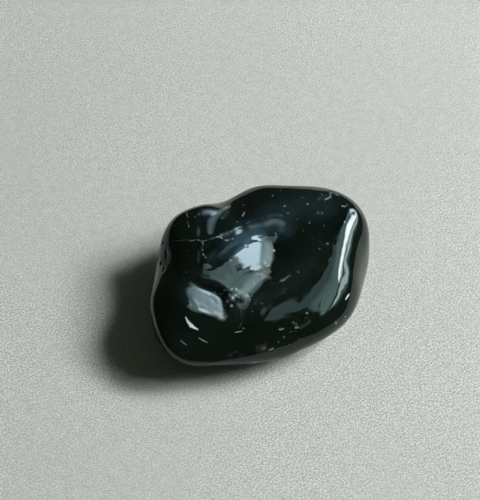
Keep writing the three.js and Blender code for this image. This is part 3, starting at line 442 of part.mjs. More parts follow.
  [-13.05, -3.52, 0.95, -0.1234], [-11.95, -3.52, 0.95, 0.1605], [-10.85, -3.52, 0.95, -0.1099],
  [-9.75, -3.52, 0.95, -0.0497], [-8.65, -3.52, 0.95, -0.0152], [-7.55, -3.52, 0.95, 0.0760],
  [-6.45, -3.52, 0.95, 0.0557], [-5.35, -3.52, 0.95, 0.0266], [-4.25, -3.52, 0.95, 0.0160],
  [-3.15, -3.52, 0.95, 0.0169], [-2.05, -3.52, 0.95, 0.0146], [-0.95, -3.52, 0.95, 0.0175],
  [0.15, -3.52, 0.95, 0.0366], [1.25, -3.52, 0.95, 0.0447], [2.35, -3.52, 0.95, 0.0672],
  [3.45, -3.52, 0.95, -0.0753], [4.55, -3.52, 0.95, 0.0510], [5.65, -3.52, 0.95, 0.0709],
  [6.75, -3.52, 0.95, 0.1184], [7.85, -3.52, 0.95, -0.0309], [8.95, -3.52, 0.95, 0.0594],
  [10.05, -3.52, 0.95, 0.1378], [11.15, -3.52, 0.95, -0.0886], [12.25, -3.52, 0.95, 0.0622],
  [13.35, -3.52, 0.95, 0.0819], [14.45, -3.52, 0.95, 0.1132], [15.55, -3.52, 0.95, -0.0394],
  [16.65, -3.52, 0.95, 0.1704], [17.75, -3.52, 0.95, -0.1358], [-18.00, -2.57, 0.95, -0.1424],
  [-16.90, -2.57, 0.95, 0.1119], [-15.80, -2.57, 0.95, -0.1737], [-14.70, -2.57, 0.95, 0.0743],
  [-13.60, -2.57, 0.95, -0.1890], [-12.50, -2.57, 0.95, 0.0773], [-11.40, -2.57, 0.95, -0.1724],
  [-10.30, -2.57, 0.95, -0.0667], [-9.20, -2.57, 0.95, -0.0698], [-8.10, -2.57, 0.95, -0.0391],
  [-7.00, -2.57, 0.95, 0.1221], [-5.90, -2.57, 0.95, 0.0673], [-4.80, -2.57, 0.95, 0.0294],
  [-3.70, -2.57, 0.95, 0.0210], [-2.60, -2.57, 0.95, 0.0366], [-1.50, -2.57, 0.95, 0.0207],
  [-0.40, -2.57, 0.95, 0.0021], [0.70, -2.57, 0.95, 0.0084], [1.80, -2.57, 0.95, -0.0272],
  [2.90, -2.57, 0.95, -0.0131], [4.00, -2.57, 0.95, -0.0329], [5.10, -2.57, 0.95, -0.0562],
  [6.20, -2.57, 0.95, -0.0478], [7.30, -2.57, 0.95, 0.0322], [8.40, -2.57, 0.95, 0.0727],
  [9.50, -2.57, 0.95, -0.0009], [10.60, -2.57, 0.95, 0.0965], [11.70, -2.57, 0.95, 0.1071],
  [12.80, -2.57, 0.95, 0.0355], [13.90, -2.57, 0.95, 0.0668], [15.00, -2.57, 0.95, 0.0759],
  [16.10, -2.57, 0.95, 0.0020], [17.20, -2.57, 0.95, -0.0113], [18.30, -2.57, 0.95, -0.1344],
  [-17.45, -1.62, 0.95, -0.0888], [-16.35, -1.62, 0.95, 0.0334], [-15.25, -1.62, 0.95, -0.2292],
  [-14.15, -1.62, 0.95, -0.0781], [-13.05, -1.62, 0.95, -0.0850], [-11.95, -1.62, 0.95, -0.0740],
  [-10.85, -1.62, 0.95, -0.0353], [-9.75, -1.62, 0.95, -0.0418], [-8.65, -1.62, 0.95, -0.1100],
  [-7.55, -1.62, 0.95, -0.1025], [-6.45, -1.62, 0.95, 0.0927], [-5.35, -1.62, 0.95, -0.0014],
  [-3.15, -1.62, 0.95, 0.0288], [-2.05, -1.62, 0.95, 0.0377], [-0.95, -1.62, 0.95, 0.0269],
  [0.15, -1.62, 0.95, 0.0236], [1.25, -1.62, 0.95, 0.0280], [2.35, -1.62, 0.95, 0.0313], [3.45, -1.62, 0.95, 0.0601],
  [4.55, -1.62, 0.95, 0.0786], [5.65, -1.62, 0.95, 0.0844], [6.75, -1.62, 0.95, 0.0135], [7.85, -1.62, 0.95, 0.0526],
  [8.95, -1.62, 0.95, 0.0743], [10.05, -1.62, 0.95, 0.0043], [11.15, -1.62, 0.95, 0.0721],
  [12.25, -1.62, 0.95, 0.1015], [13.35, -1.62, 0.95, 0.0309], [14.45, -1.62, 0.95, 0.0798],
  [15.55, -1.62, 0.95, 0.0186], [16.65, -1.62, 0.95, 0.0677], [17.75, -1.62, 0.95, 0.0424],
  [-18.00, -0.66, 0.95, -0.0086], [-16.90, -0.66, 0.95, -0.0316], [-15.80, -0.66, 0.95, 0.0560],
  [-14.70, -0.66, 0.95, 0.0320], [-13.60, -0.66, 0.95, -0.0132], [-12.50, -0.66, 0.95, -0.0048],
  [-11.40, -0.66, 0.95, -0.0443], [-10.30, -0.66, 0.95, -0.0501], [-9.20, -0.66, 0.95, -0.0302],
  [-8.10, -0.66, 0.95, -0.1810], [-7.00, -0.66, 0.95, 0.0224], [-5.90, -0.66, 0.95, 0.0335],
  [-4.80, -0.66, 0.95, -0.0028], [-3.70, -0.66, 0.95, 0.0268], [-2.60, -0.66, 0.95, 0.0278],
  [-1.50, -0.66, 0.95, 0.0352], [-0.40, -0.66, 0.95, 0.0159], [0.70, -0.66, 0.95, 0.0418],
  [1.80, -0.66, 0.95, 0.0617], [2.90, -0.66, 0.95, 0.0439], [4.00, -0.66, 0.95, 0.0339], [5.10, -0.66, 0.95, 0.0759],
  [6.20, -0.66, 0.95, 0.0940], [7.30, -0.66, 0.95, 0.0731], [8.40, -0.66, 0.95, 0.0121], [9.50, -0.66, 0.95, 0.1438],
  [10.60, -0.66, 0.95, 0.0600], [11.70, -0.66, 0.95, -0.0080], [12.80, -0.66, 0.95, 0.0714],
  [13.90, -0.66, 0.95, 0.0791], [15.00, -0.66, 0.95, 0.0407], [16.10, -0.66, 0.95, 0.0915],
  [17.20, -0.66, 0.95, -0.0009], [18.30, -0.66, 0.95, -0.1035], [-17.45, 0.29, 0.95, 0.0053],
  [-16.35, 0.29, 0.95, -0.0419], [-15.25, 0.29, 0.95, -0.0331], [-14.15, 0.29, 0.95, -0.0391],
  [-13.05, 0.29, 0.95, -0.0191], [-11.95, 0.29, 0.95, -0.0510], [-10.85, 0.29, 0.95, -0.0526],
  [-9.75, 0.29, 0.95, -0.0445], [-8.65, 0.29, 0.95, -0.1522], [-7.55, 0.29, 0.95, 0.0216],
  [-6.45, 0.29, 0.95, 0.0726], [-5.35, 0.29, 0.95, 0.0023], [-4.25, 0.29, 0.95, 0.0211], [-3.15, 0.29, 0.95, 0.0349],
  [-2.05, 0.29, 0.95, 0.0349], [-0.95, 0.29, 0.95, 0.0262], [0.15, 0.29, 0.95, 0.0230], [1.25, 0.29, 0.95, 0.0428],
  [2.35, 0.29, 0.95, 0.0458], [3.45, 0.29, 0.95, 0.0086], [4.55, 0.29, 0.95, -0.0110], [5.65, 0.29, 0.95, 0.0237],
  [6.75, 0.29, 0.95, -0.0066], [7.85, 0.29, 0.95, 0.0512], [8.95, 0.29, 0.95, 0.0444], [10.05, 0.29, 0.95, 0.0356],
  [11.15, 0.29, 0.95, 0.1952], [12.25, 0.29, 0.95, 0.0380], [13.35, 0.29, 0.95, 0.0755], [14.45, 0.29, 0.95, 0.1172],
  [15.55, 0.29, 0.95, -0.0352], [16.65, 0.29, 0.95, 0.0947], [17.75, 0.29, 0.95, -0.1358],
  [-18.00, 1.24, 0.95, 0.0030], [-16.90, 1.24, 0.95, 0.0088], [-15.80, 1.24, 0.95, 0.0158],
  [-14.70, 1.24, 0.95, 0.0028], [-13.60, 1.24, 0.95, -0.0034], [-12.50, 1.24, 0.95, -0.0052],
  [-11.40, 1.24, 0.95, -0.0545], [-10.30, 1.24, 0.95, -0.0413], [-9.20, 1.24, 0.95, -0.1408],
  [-8.10, 1.24, 0.95, 0.0251], [-7.00, 1.24, 0.95, 0.0482], [-5.90, 1.24, 0.95, -0.0075],
  [-4.80, 1.24, 0.95, 0.0110], [-3.70, 1.24, 0.95, 0.0335], [-2.60, 1.24, 0.95, 0.0147], [-1.50, 1.24, 0.95, 0.0164],
  [-0.40, 1.24, 0.95, 0.0087], [0.70, 1.24, 0.95, -0.0125], [1.80, 1.24, 0.95, 0.0139], [2.90, 1.24, 0.95, 0.0194],
  [4.00, 1.24, 0.95, -0.0121], [5.10, 1.24, 0.95, -0.0026], [6.20, 1.24, 0.95, -0.0348], [7.30, 1.24, 0.95, 0.0628],
  [8.40, 1.24, 0.95, 0.0070], [9.50, 1.24, 0.95, 0.0499], [10.60, 1.24, 0.95, -0.1095], [11.70, 1.24, 0.95, 0.0954],
  [12.80, 1.24, 0.95, 0.1428], [13.90, 1.24, 0.95, -0.0794], [15.00, 1.24, 0.95, 0.1096],
  [16.10, 1.24, 0.95, 0.0385], [17.20, 1.24, 0.95, 0.0103], [18.30, 1.24, 0.95, -0.0370],
  [-17.45, 2.19, 0.95, -0.0061], [-16.35, 2.19, 0.95, -0.0008], [-15.25, 2.19, 0.95, 0.0060],
  [-14.15, 2.19, 0.95, -0.0203], [-11.95, 2.19, 0.95, -0.1036], [-10.85, 2.19, 0.95, -0.1145],
  [-9.75, 2.19, 0.95, -0.1332], [-8.65, 2.19, 0.95, 0.0190], [-7.55, 2.19, 0.95, 0.0521],
  [-6.45, 2.19, 0.95, -0.0186], [-5.35, 2.19, 0.95, -0.0238], [-4.25, 2.19, 0.95, 0.0049],
  [-3.15, 2.19, 0.95, 0.0175], [-2.05, 2.19, 0.95, 0.0130], [-0.95, 2.19, 0.95, 0.0164], [0.15, 2.19, 0.95, 0.0110],
  [1.25, 2.19, 0.95, 0.0009], [2.35, 2.19, 0.95, 0.0092], [3.45, 2.19, 0.95, -0.0104], [4.55, 2.19, 0.95, -0.0400],
  [5.65, 2.19, 0.95, 0.0489], [6.75, 2.19, 0.95, -0.1047], [7.85, 2.19, 0.95, -0.0039], [8.95, 2.19, 0.95, -0.0780],
  [10.05, 2.19, 0.95, 0.0607], [11.15, 2.19, 0.95, 0.0257], [12.25, 2.19, 0.95, -0.0479],
  [13.35, 2.19, 0.95, 0.1942], [14.45, 2.19, 0.95, 0.0692], [15.55, 2.19, 0.95, -0.0139],
  [16.65, 2.19, 0.95, -0.0012], [-16.90, 3.15, 0.95, 0.0051], [-14.70, 3.15, 0.95, 0.0083],
  [-13.60, 3.15, 0.95, -0.0055], [-12.50, 3.15, 0.95, 0.0063], [-11.40, 3.15, 0.95, -0.0943],
  [-10.30, 3.15, 0.95, -0.1044], [-9.20, 3.15, 0.95, -0.0397], [-8.10, 3.15, 0.95, 0.0268],
  [-7.00, 3.15, 0.95, 0.0291], [-5.90, 3.15, 0.95, 0.0024], [-4.80, 3.15, 0.95, -0.0162],
  [-3.70, 3.15, 0.95, -0.0128], [-1.50, 3.15, 0.95, 0.0038], [-0.40, 3.15, 0.95, 0.0043],
  [0.70, 3.15, 0.95, -0.0119], [1.80, 3.15, 0.95, 0.0262], [2.90, 3.15, 0.95, 0.0326], [4.00, 3.15, 0.95, -0.0855],
  [5.10, 3.15, 0.95, -0.0121], [6.20, 3.15, 0.95, 0.0026], [7.30, 3.15, 0.95, -0.0251], [8.40, 3.15, 0.95, -0.0560],
  [9.50, 3.15, 0.95, -0.0051], [10.60, 3.15, 0.95, -0.0361], [11.70, 3.15, 0.95, 0.0789],
  [12.80, 3.15, 0.95, -0.0633], [13.90, 3.15, 0.95, -0.0507], [15.00, 3.15, 0.95, -0.0054],
  [16.10, 3.15, 0.95, 0.0090], [17.20, 3.15, 0.95, 0.0073], [-16.35, 4.10, 0.95, 0.0117],
  [-15.25, 4.10, 0.95, 0.0040], [-14.15, 4.10, 0.95, 0.0044], [-13.05, 4.10, 0.95, -0.0099],
  [-11.95, 4.10, 0.95, 0.0203], [-10.85, 4.10, 0.95, 0.0207], [-9.75, 4.10, 0.95, -0.0093],
  [-8.65, 4.10, 0.95, -0.0144], [-7.55, 4.10, 0.95, 0.0066], [-6.45, 4.10, 0.95, 0.0459],
  [-5.35, 4.10, 0.95, 0.0214], [-4.25, 4.10, 0.95, 0.0040], [-3.15, 4.10, 0.95, 0.0151], [-2.05, 4.10, 0.95, 0.0215],
  [-0.95, 4.10, 0.95, 0.0081], [0.15, 4.10, 0.95, -0.0206], [1.25, 4.10, 0.95, 0.0043], [2.35, 4.10, 0.95, 0.0286],
  [3.45, 4.10, 0.95, 0.0110], [4.55, 4.10, 0.95, -0.0070], [5.65, 4.10, 0.95, -0.1301], [6.75, 4.10, 0.95, -0.1523],
  [7.85, 4.10, 0.95, -0.0604], [8.95, 4.10, 0.95, 0.0064], [10.05, 4.10, 0.95, -0.0540],
  [11.15, 4.10, 0.95, -0.0225], [12.25, 4.10, 0.95, 0.0030], [13.35, 4.10, 0.95, 0.0255],
  [14.45, 4.10, 0.95, -0.0032], [15.55, 4.10, 0.95, 0.0267], [16.65, 4.10, 0.95, 0.0095],
  [-15.80, 5.05, 0.95, 0.0043], [-14.70, 5.05, 0.95, 0.0029], [-13.60, 5.05, 0.95, 0.0034],
  [-12.50, 5.05, 0.95, -0.0178], [-11.40, 5.05, 0.95, -0.0247], [-10.30, 5.05, 0.95, -0.0200],
  [-9.20, 5.05, 0.95, -0.0054], [-8.10, 5.05, 0.95, -0.0044], [-7.00, 5.05, 0.95, -0.0037],
  [-5.90, 5.05, 0.95, 0.0068], [-4.80, 5.05, 0.95, -0.0133], [-3.70, 5.05, 0.95, -0.0116],
  [-2.60, 5.05, 0.95, -0.0064], [-1.50, 5.05, 0.95, -0.0134], [-0.40, 5.05, 0.95, -0.0211],
  [0.70, 5.05, 0.95, 0.0493], [1.80, 5.05, 0.95, 0.0029], [2.90, 5.05, 0.95, -0.1443], [4.00, 5.05, 0.95, -0.1913],
  [5.10, 5.05, 0.95, -0.0585], [6.20, 5.05, 0.95, -0.0195], [7.30, 5.05, 0.95, 0.0056], [8.40, 5.05, 0.95, -0.0822],
  [9.50, 5.05, 0.95, -0.0837], [10.60, 5.05, 0.95, 0.0314], [11.70, 5.05, 0.95, -0.0184],
  [12.80, 5.05, 0.95, -0.0112], [13.90, 5.05, 0.95, -0.0215], [15.00, 5.05, 0.95, -0.0022],
  [16.10, 5.05, 0.95, 0.0030], [-15.25, 6.00, 0.95, 0.0061], [-14.15, 6.00, 0.95, 0.0069],
  [-13.05, 6.00, 0.95, 0.0128], [-11.95, 6.00, 0.95, 0.0080], [-9.75, 6.00, 0.95, 0.0042],
  [-8.65, 6.00, 0.95, 0.0048], [-6.45, 6.00, 0.95, -0.0015], [-5.35, 6.00, 0.95, -0.0105],
  [-4.25, 6.00, 0.95, -0.0456], [-3.15, 6.00, 0.95, -0.0527], [-2.05, 6.00, 0.95, -0.0681],
  [-0.95, 6.00, 0.95, -0.0424], [0.15, 6.00, 0.95, 0.0217], [1.25, 6.00, 0.95, 0.1013], [2.35, 6.00, 0.95, -0.1924],
  [3.45, 6.00, 0.95, 0.0763], [4.55, 6.00, 0.95, -0.0486], [5.65, 6.00, 0.95, -0.2201], [6.75, 6.00, 0.95, -0.1024],
  [7.85, 6.00, 0.95, -0.1426], [8.95, 6.00, 0.95, -0.0550], [10.05, 6.00, 0.95, 0.0196],
  [11.15, 6.00, 0.95, -0.0480], [12.25, 6.00, 0.95, -0.0011], [13.35, 6.00, 0.95, -0.0054],
  [14.45, 6.00, 0.95, -0.0011], [15.55, 6.00, 0.95, -0.0040], [-14.70, 6.96, 0.95, 0.0013],
  [-13.60, 6.96, 0.95, -0.0024], [-11.40, 6.96, 0.95, 0.0047], [-9.20, 6.96, 0.95, -0.0043],
  [-8.10, 6.96, 0.95, -0.0012], [-4.80, 6.96, 0.95, -0.0314], [-3.70, 6.96, 0.95, -0.0668],
  [-2.60, 6.96, 0.95, -0.1300], [-1.50, 6.96, 0.95, -0.2037], [-0.40, 6.96, 0.95, -0.0258],
  [0.70, 6.96, 0.95, 0.0153], [1.80, 6.96, 0.95, 0.0443], [2.90, 6.96, 0.95, -0.0529], [4.00, 6.96, 0.95, -0.1497],
  [5.10, 6.96, 0.95, 0.0524], [6.20, 6.96, 0.95, -0.0046], [7.30, 6.96, 0.95, -0.1012], [8.40, 6.96, 0.95, 0.0091],
  [9.50, 6.96, 0.95, -0.0028], [10.60, 6.96, 0.95, -0.0550], [11.70, 6.96, 0.95, -0.0024],
  [12.80, 6.96, 0.95, -0.0116], [13.90, 6.96, 0.95, 0.0161], [15.00, 6.96, 0.95, 0.0008],
  [-14.15, 7.91, 0.95, 0.0009], [-13.05, 7.91, 0.95, 0.0018], [-10.85, 7.91, 0.95, -0.0014],
  [-9.75, 7.91, 0.95, 0.0026], [-8.65, 7.91, 0.95, 0.0028], [-7.55, 7.91, 0.95, 0.0014],
  [-6.45, 7.91, 0.95, -0.0037], [-5.35, 7.91, 0.95, -0.0134], [-4.25, 7.91, 0.95, -0.0492],
  [-3.15, 7.91, 0.95, -0.2091], [-2.05, 7.91, 0.95, -0.1492], [-0.95, 7.91, 0.95, -0.0414],
  [0.15, 7.91, 0.95, 0.0398], [1.25, 7.91, 0.95, -0.1484], [2.35, 7.91, 0.95, -0.0268], [3.45, 7.91, 0.95, -0.0105],
  [4.55, 7.91, 0.95, -0.0928], [5.65, 7.91, 0.95, -0.1133], [6.75, 7.91, 0.95, -0.0455], [7.85, 7.91, 0.95, -0.0214],
  [8.95, 7.91, 0.95, -0.0635], [10.05, 7.91, 0.95, -0.0540], [11.15, 7.91, 0.95, 0.0032],
  [12.25, 7.91, 0.95, -0.0133], [-12.50, 8.86, 0.95, 0.0048], [-11.40, 8.86, 0.95, 0.0022],
  [-10.30, 8.86, 0.95, 0.0034], [-9.20, 8.86, 0.95, 0.0015], [-8.10, 8.86, 0.95, 0.0026],
  [-7.00, 8.86, 0.95, 0.0016], [-5.90, 8.86, 0.95, -0.0119], [-4.80, 8.86, 0.95, -0.0509],
  [-3.70, 8.86, 0.95, -0.0454], [-2.60, 8.86, 0.95, -0.1707], [-1.50, 8.86, 0.95, -0.0223],
  [-0.40, 8.86, 0.95, -0.1597], [0.70, 8.86, 0.95, -0.1704], [1.80, 8.86, 0.95, -0.0413],
  [2.90, 8.86, 0.95, -0.0956], [4.00, 8.86, 0.95, -0.0241], [5.10, 8.86, 0.95, 0.0054], [6.20, 8.86, 0.95, -0.0322],
  [7.30, 8.86, 0.95, -0.0371], [8.40, 8.86, 0.95, -0.0423], [9.50, 8.86, 0.95, -0.0158],
  [11.70, 8.86, 0.95, -0.0098], [12.80, 8.86, 0.95, -0.0061], [-11.95, 9.82, 0.95, 0.0011],
  [-10.85, 9.82, 0.95, 0.0013], [-9.75, 9.82, 0.95, 0.0031], [-8.65, 9.82, 0.95, -0.0029],
  [-7.55, 9.82, 0.95, 0.0104], [-6.45, 9.82, 0.95, -0.0101], [-5.35, 9.82, 0.95, -0.0068],
  [-4.25, 9.82, 0.95, -0.1985], [-3.15, 9.82, 0.95, -0.0386], [-2.05, 9.82, 0.95, -0.3466],
  [-0.95, 9.82, 0.95, -0.3045], [0.15, 9.82, 0.95, -0.0436], [1.25, 9.82, 0.95, 0.0620], [2.35, 9.82, 0.95, 0.0478],
  [3.45, 9.82, 0.95, -0.0468], [4.55, 9.82, 0.95, -0.0506], [5.65, 9.82, 0.95, -0.0542], [6.75, 9.82, 0.95, -0.0348],
  [7.85, 9.82, 0.95, -0.0448], [8.95, 9.82, 0.95, -0.0364], [10.05, 9.82, 0.95, -0.0173],
  [11.15, 9.82, 0.95, -0.0116], [12.25, 9.82, 0.95, -0.0055], [-10.30, 10.77, 0.95, 0.0053],
  [-9.20, 10.77, 0.95, 0.0023], [-8.10, 10.77, 0.95, 0.0072], [-7.00, 10.77, 0.95, -0.0035],
  [-5.90, 10.77, 0.95, 0.0152], [-4.80, 10.77, 0.95, 0.0312], [-3.70, 10.77, 0.95, -0.2830],
  [-2.60, 10.77, 0.95, -0.1047], [-1.50, 10.77, 0.95, 0.0096], [-0.40, 10.77, 0.95, 0.0843],
  [0.70, 10.77, 0.95, 0.0181], [1.80, 10.77, 0.95, -0.0622], [4.00, 10.77, 0.95, -0.0413],
  [5.10, 10.77, 0.95, -0.0324], [6.20, 10.77, 0.95, -0.0215], [7.30, 10.77, 0.95, -0.0553],
  [8.40, 10.77, 0.95, -0.0539], [9.50, 10.77, 0.95, 0.0356], [10.60, 10.77, 0.95, 0.0095],
  [-9.75, 11.72, 0.95, 0.0009], [-8.65, 11.72, 0.95, -0.0040], [-7.55, 11.72, 0.95, 0.0153],
  [-6.45, 11.72, 0.95, -0.0261], [-5.35, 11.72, 0.95, 0.0109], [-4.25, 11.72, 0.95, 0.0798],
  [-3.15, 11.72, 0.95, -0.0780], [-2.05, 11.72, 0.95, 0.0208], [-0.95, 11.72, 0.95, 0.0195],
  [0.15, 11.72, 0.95, -0.0380], [1.25, 11.72, 0.95, -0.0233], [2.35, 11.72, 0.95, 0.0025],
  [3.45, 11.72, 0.95, 0.0256], [4.55, 11.72, 0.95, -0.0201], [5.65, 11.72, 0.95, -0.0803],
  [6.75, 11.72, 0.95, -0.0883], [7.85, 11.72, 0.95, 0.0139], [8.95, 11.72, 0.95, 0.1639],
  [10.05, 11.72, 0.95, 0.0696], [-8.10, 12.67, 0.95, 0.0062], [-7.00, 12.67, 0.95, 0.0271],
  [-5.90, 12.67, 0.95, -0.0243], [-4.80, 12.67, 0.95, -0.0247], [-3.70, 12.67, 0.95, 0.0151],
  [-2.60, 12.67, 0.95, -0.0337], [-1.50, 12.67, 0.95, -0.0565], [-0.40, 12.67, 0.95, -0.0483],
  [0.70, 12.67, 0.95, 0.0093], [1.80, 12.67, 0.95, 0.0249], [2.90, 12.67, 0.95, -0.0086],
  [4.00, 12.67, 0.95, -0.0489], [5.10, 12.67, 0.95, 0.0096], [6.20, 12.67, 0.95, 0.1772],
  [7.30, 12.67, 0.95, 0.1445], [8.40, 12.67, 0.95, 0.1101], [-7.55, 13.63, 0.95, 0.0115],
  [-6.45, 13.63, 0.95, 0.0187], [-5.35, 13.63, 0.95, -0.0078], [-4.25, 13.63, 0.95, -0.0185],
  [-3.15, 13.63, 0.95, -0.0128], [-2.05, 13.63, 0.95, -0.0185], [-0.95, 13.63, 0.95, -0.0153],
  [0.15, 13.63, 0.95, 0.0015], [1.25, 13.63, 0.95, 0.0129], [2.35, 13.63, 0.95, 0.0015],
  [3.45, 13.63, 0.95, -0.0209], [4.55, 13.63, 0.95, -0.0105], [-3.43, -10.24, 0.54, -0.0174],
  [-4.36, -9.70, 0.54, -0.0454], [-3.74, -9.70, 0.54, -0.0945], [-3.12, -9.70, 0.54, -0.0842],
  [-4.67, -9.17, 0.54, -0.0620], [-4.05, -9.17, 0.54, -0.0475], [-3.43, -9.17, 0.54, 0.0158],
  [-2.81, -9.17, 0.54, 0.0401], [-4.98, -8.63, 0.54, 0.0423], [-4.36, -8.63, 0.54, 0.0374],
  [-3.74, -8.63, 0.54, -0.0204], [-3.12, -8.63, 0.54, -0.0464], [-2.50, -8.63, 0.54, -0.0196],
  [-1.88, -8.63, 0.54, -0.0160], [-5.91, -8.09, 0.54, 0.0586], [-5.29, -8.09, 0.54, 0.0084],
  [-4.67, -8.09, 0.54, -0.0164], [-4.05, -8.09, 0.54, 0.0031], [-3.43, -8.09, 0.54, 0.0399],
  [-2.81, -8.09, 0.54, 0.0263], [-2.19, -8.09, 0.54, 0.0143], [-1.57, -8.09, 0.54, 0.0080],
  [-6.84, -7.56, 0.54, 0.0077], [-6.22, -7.56, 0.54, -0.0331], [-5.60, -7.56, 0.54, -0.0224],
  [-4.98, -7.56, 0.54, 0.0420], [-4.36, -7.56, 0.54, 0.0186], [-3.74, -7.56, 0.54, -0.0121],
  [-3.12, -7.56, 0.54, -0.0365], [-2.50, -7.56, 0.54, -0.0089], [-1.88, -7.56, 0.54, -0.0079],
  [-1.26, -7.56, 0.54, -0.0060], [-7.77, -7.02, 0.54, -0.0956], [-7.15, -7.02, 0.54, -0.0387],
  [-6.53, -7.02, 0.54, 0.0402], [-5.91, -7.02, 0.54, 0.0474], [-5.29, -7.02, 0.54, -0.0128],
  [-4.67, -7.02, 0.54, -0.0251], [-3.43, -7.02, 0.54, 0.0393], [-2.81, -7.02, 0.54, 0.0294],
  [-2.19, -7.02, 0.54, 0.0070], [-1.57, -7.02, 0.54, 0.0161], [-0.95, -7.02, 0.54, 0.0041],
  [-0.33, -7.02, 0.54, 0.0011], [-8.08, -6.48, 0.54, 0.0864], [-7.46, -6.48, 0.54, 0.0775],
  [-6.84, -6.48, 0.54, -0.0451], [-6.22, -6.48, 0.54, -0.0700], [-5.60, -6.48, 0.54, -0.0044],
  [-4.98, -6.48, 0.54, -0.0075], [-4.36, -6.48, 0.54, 0.0216], [-3.74, -6.48, 0.54, -0.0226],
  [-3.12, -6.48, 0.54, -0.0473], [-2.50, -6.48, 0.54, 0.0035], [-1.88, -6.48, 0.54, 0.0028],
  [-1.26, -6.48, 0.54, 0.0165], [-0.64, -6.48, 0.54, 0.0017], [-0.02, -6.48, 0.54, -0.0023],
  [-9.01, -5.95, 0.54, 0.0410], [-8.39, -5.95, 0.54, -0.0300], [-7.77, -5.95, 0.54, -0.1666],
  [-7.15, -5.95, 0.54, 0.0387], [-6.53, -5.95, 0.54, 0.0970], [-5.29, -5.95, 0.54, 0.0378],
  [-4.67, -5.95, 0.54, -0.0091], [-4.05, -5.95, 0.54, -0.0188], [-3.43, -5.95, 0.54, 0.0625],
  [-2.81, -5.95, 0.54, 0.0069], [-2.19, -5.95, 0.54, 0.0024], [-1.57, -5.95, 0.54, -0.0030],
  [-0.95, -5.95, 0.54, -0.0319], [-0.33, -5.95, 0.54, -0.0207], [0.29, -5.95, 0.54, -0.0161],
  [-9.94, -5.41, 0.54, -0.0326], [-9.32, -5.41, 0.54, -0.0463], [-8.70, -5.41, 0.54, -0.0665],
  [-8.08, -5.41, 0.54, 0.0813], [-7.46, -5.41, 0.54, -0.0314], [-6.84, -5.41, 0.54, -0.1787],
  [-6.22, -5.41, 0.54, 0.0330], [-5.60, -5.41, 0.54, 0.0139], [-4.98, -5.41, 0.54, -0.0242],
  [-4.36, -5.41, 0.54, 0.0618], [-3.74, -5.41, 0.54, -0.0257], [-3.12, -5.41, 0.54, -0.0124],
  [-2.50, -5.41, 0.54, 0.0080], [-1.88, -5.41, 0.54, 0.0029], [-1.26, -5.41, 0.54, 0.0255],
  [-0.64, -5.41, 0.54, 0.0073], [-0.02, -5.41, 0.54, 0.0066], [0.60, -5.41, 0.54, 0.0106],
  [-10.25, -4.87, 0.54, -0.0054], [-9.63, -4.87, 0.54, -0.0094], [-9.01, -4.87, 0.54, 0.0207],
  [-8.39, -4.87, 0.54, -0.0539], [-7.77, -4.87, 0.54, -0.0975], [-7.15, -4.87, 0.54, 0.1159],
  [-6.53, -4.87, 0.54, -0.0472], [-5.91, -4.87, 0.54, 0.0419], [-5.29, -4.87, 0.54, 0.0193],
  [-4.67, -4.87, 0.54, -0.0742], [-4.05, -4.87, 0.54, 0.0091], [-3.43, -4.87, 0.54, 0.0393],
  [-2.81, -4.87, 0.54, 0.0010], [-2.19, -4.87, 0.54, 0.0195], [-1.57, -4.87, 0.54, -0.0161],
  [-0.95, -4.87, 0.54, -0.0091], [-0.33, -4.87, 0.54, -0.0059], [0.29, -4.87, 0.54, -0.0263],
  [0.91, -4.87, 0.54, -0.0083], [1.53, -4.87, 0.54, 0.0398], [-11.18, -4.34, 0.54, -0.0644],
  [-10.56, -4.34, 0.54, -0.0144], [-9.94, -4.34, 0.54, 0.0019], [-9.32, -4.34, 0.54, -0.0907],
  [-8.70, -4.34, 0.54, -0.0408], [-8.08, -4.34, 0.54, 0.0702], [-7.46, -4.34, 0.54, -0.0105],
  [-6.84, -4.34, 0.54, -0.1102], [-6.22, -4.34, 0.54, 0.0913], [-5.60, -4.34, 0.54, -0.1170],
  [-4.98, -4.34, 0.54, 0.0689], [-4.36, -4.34, 0.54, 0.0186], [-3.74, -4.34, 0.54, -0.0504],
  [-3.12, -4.34, 0.54, -0.0029], [-2.50, -4.34, 0.54, -0.0231], [-1.88, -4.34, 0.54, -0.0012],
  [-1.26, -4.34, 0.54, 0.0173], [-0.64, -4.34, 0.54, -0.0023], [-0.02, -4.34, 0.54, 0.0180],
  [0.60, -4.34, 0.54, 0.0358], [1.22, -4.34, 0.54, 0.0125], [1.84, -4.34, 0.54, -0.0086],
  [-12.11, -3.80, 0.54, -0.0771], [-11.49, -3.80, 0.54, -0.1793], [-10.87, -3.80, 0.54, 0.1085],
  [-10.25, -3.80, 0.54, -0.1408], [-9.63, -3.80, 0.54, 0.0349], [-9.01, -3.80, 0.54, 0.1327],
  [-8.39, -3.80, 0.54, -0.0483], [-7.77, -3.80, 0.54, -0.0974], [-7.15, -3.80, 0.54, 0.1686],
  [-6.53, -3.80, 0.54, -0.0545], [-5.91, -3.80, 0.54, 0.0134], [-5.29, -3.80, 0.54, -0.0178],
  [-4.67, -3.80, 0.54, -0.0793], [-4.05, -3.80, 0.54, 0.0862], [-3.43, -3.80, 0.54, 0.0246],
  [-2.81, -3.80, 0.54, 0.0362], [-2.19, -3.80, 0.54, 0.0305], [-1.57, -3.80, 0.54, -0.0147],
  [-0.95, -3.80, 0.54, 0.0017], [-0.33, -3.80, 0.54, 0.0078], [0.29, -3.80, 0.54, -0.0088],
  [0.91, -3.80, 0.54, 0.0226], [1.53, -3.80, 0.54, -0.0088], [2.15, -3.80, 0.54, -0.0361],
  [-12.42, -3.26, 0.54, -0.2377], [-11.80, -3.26, 0.54, 0.0560], [-11.18, -3.26, 0.54, -0.0395],
  [-10.56, -3.26, 0.54, -0.3211], [-9.94, -3.26, 0.54, 0.3450], [-9.32, -3.26, 0.54, -0.2077],
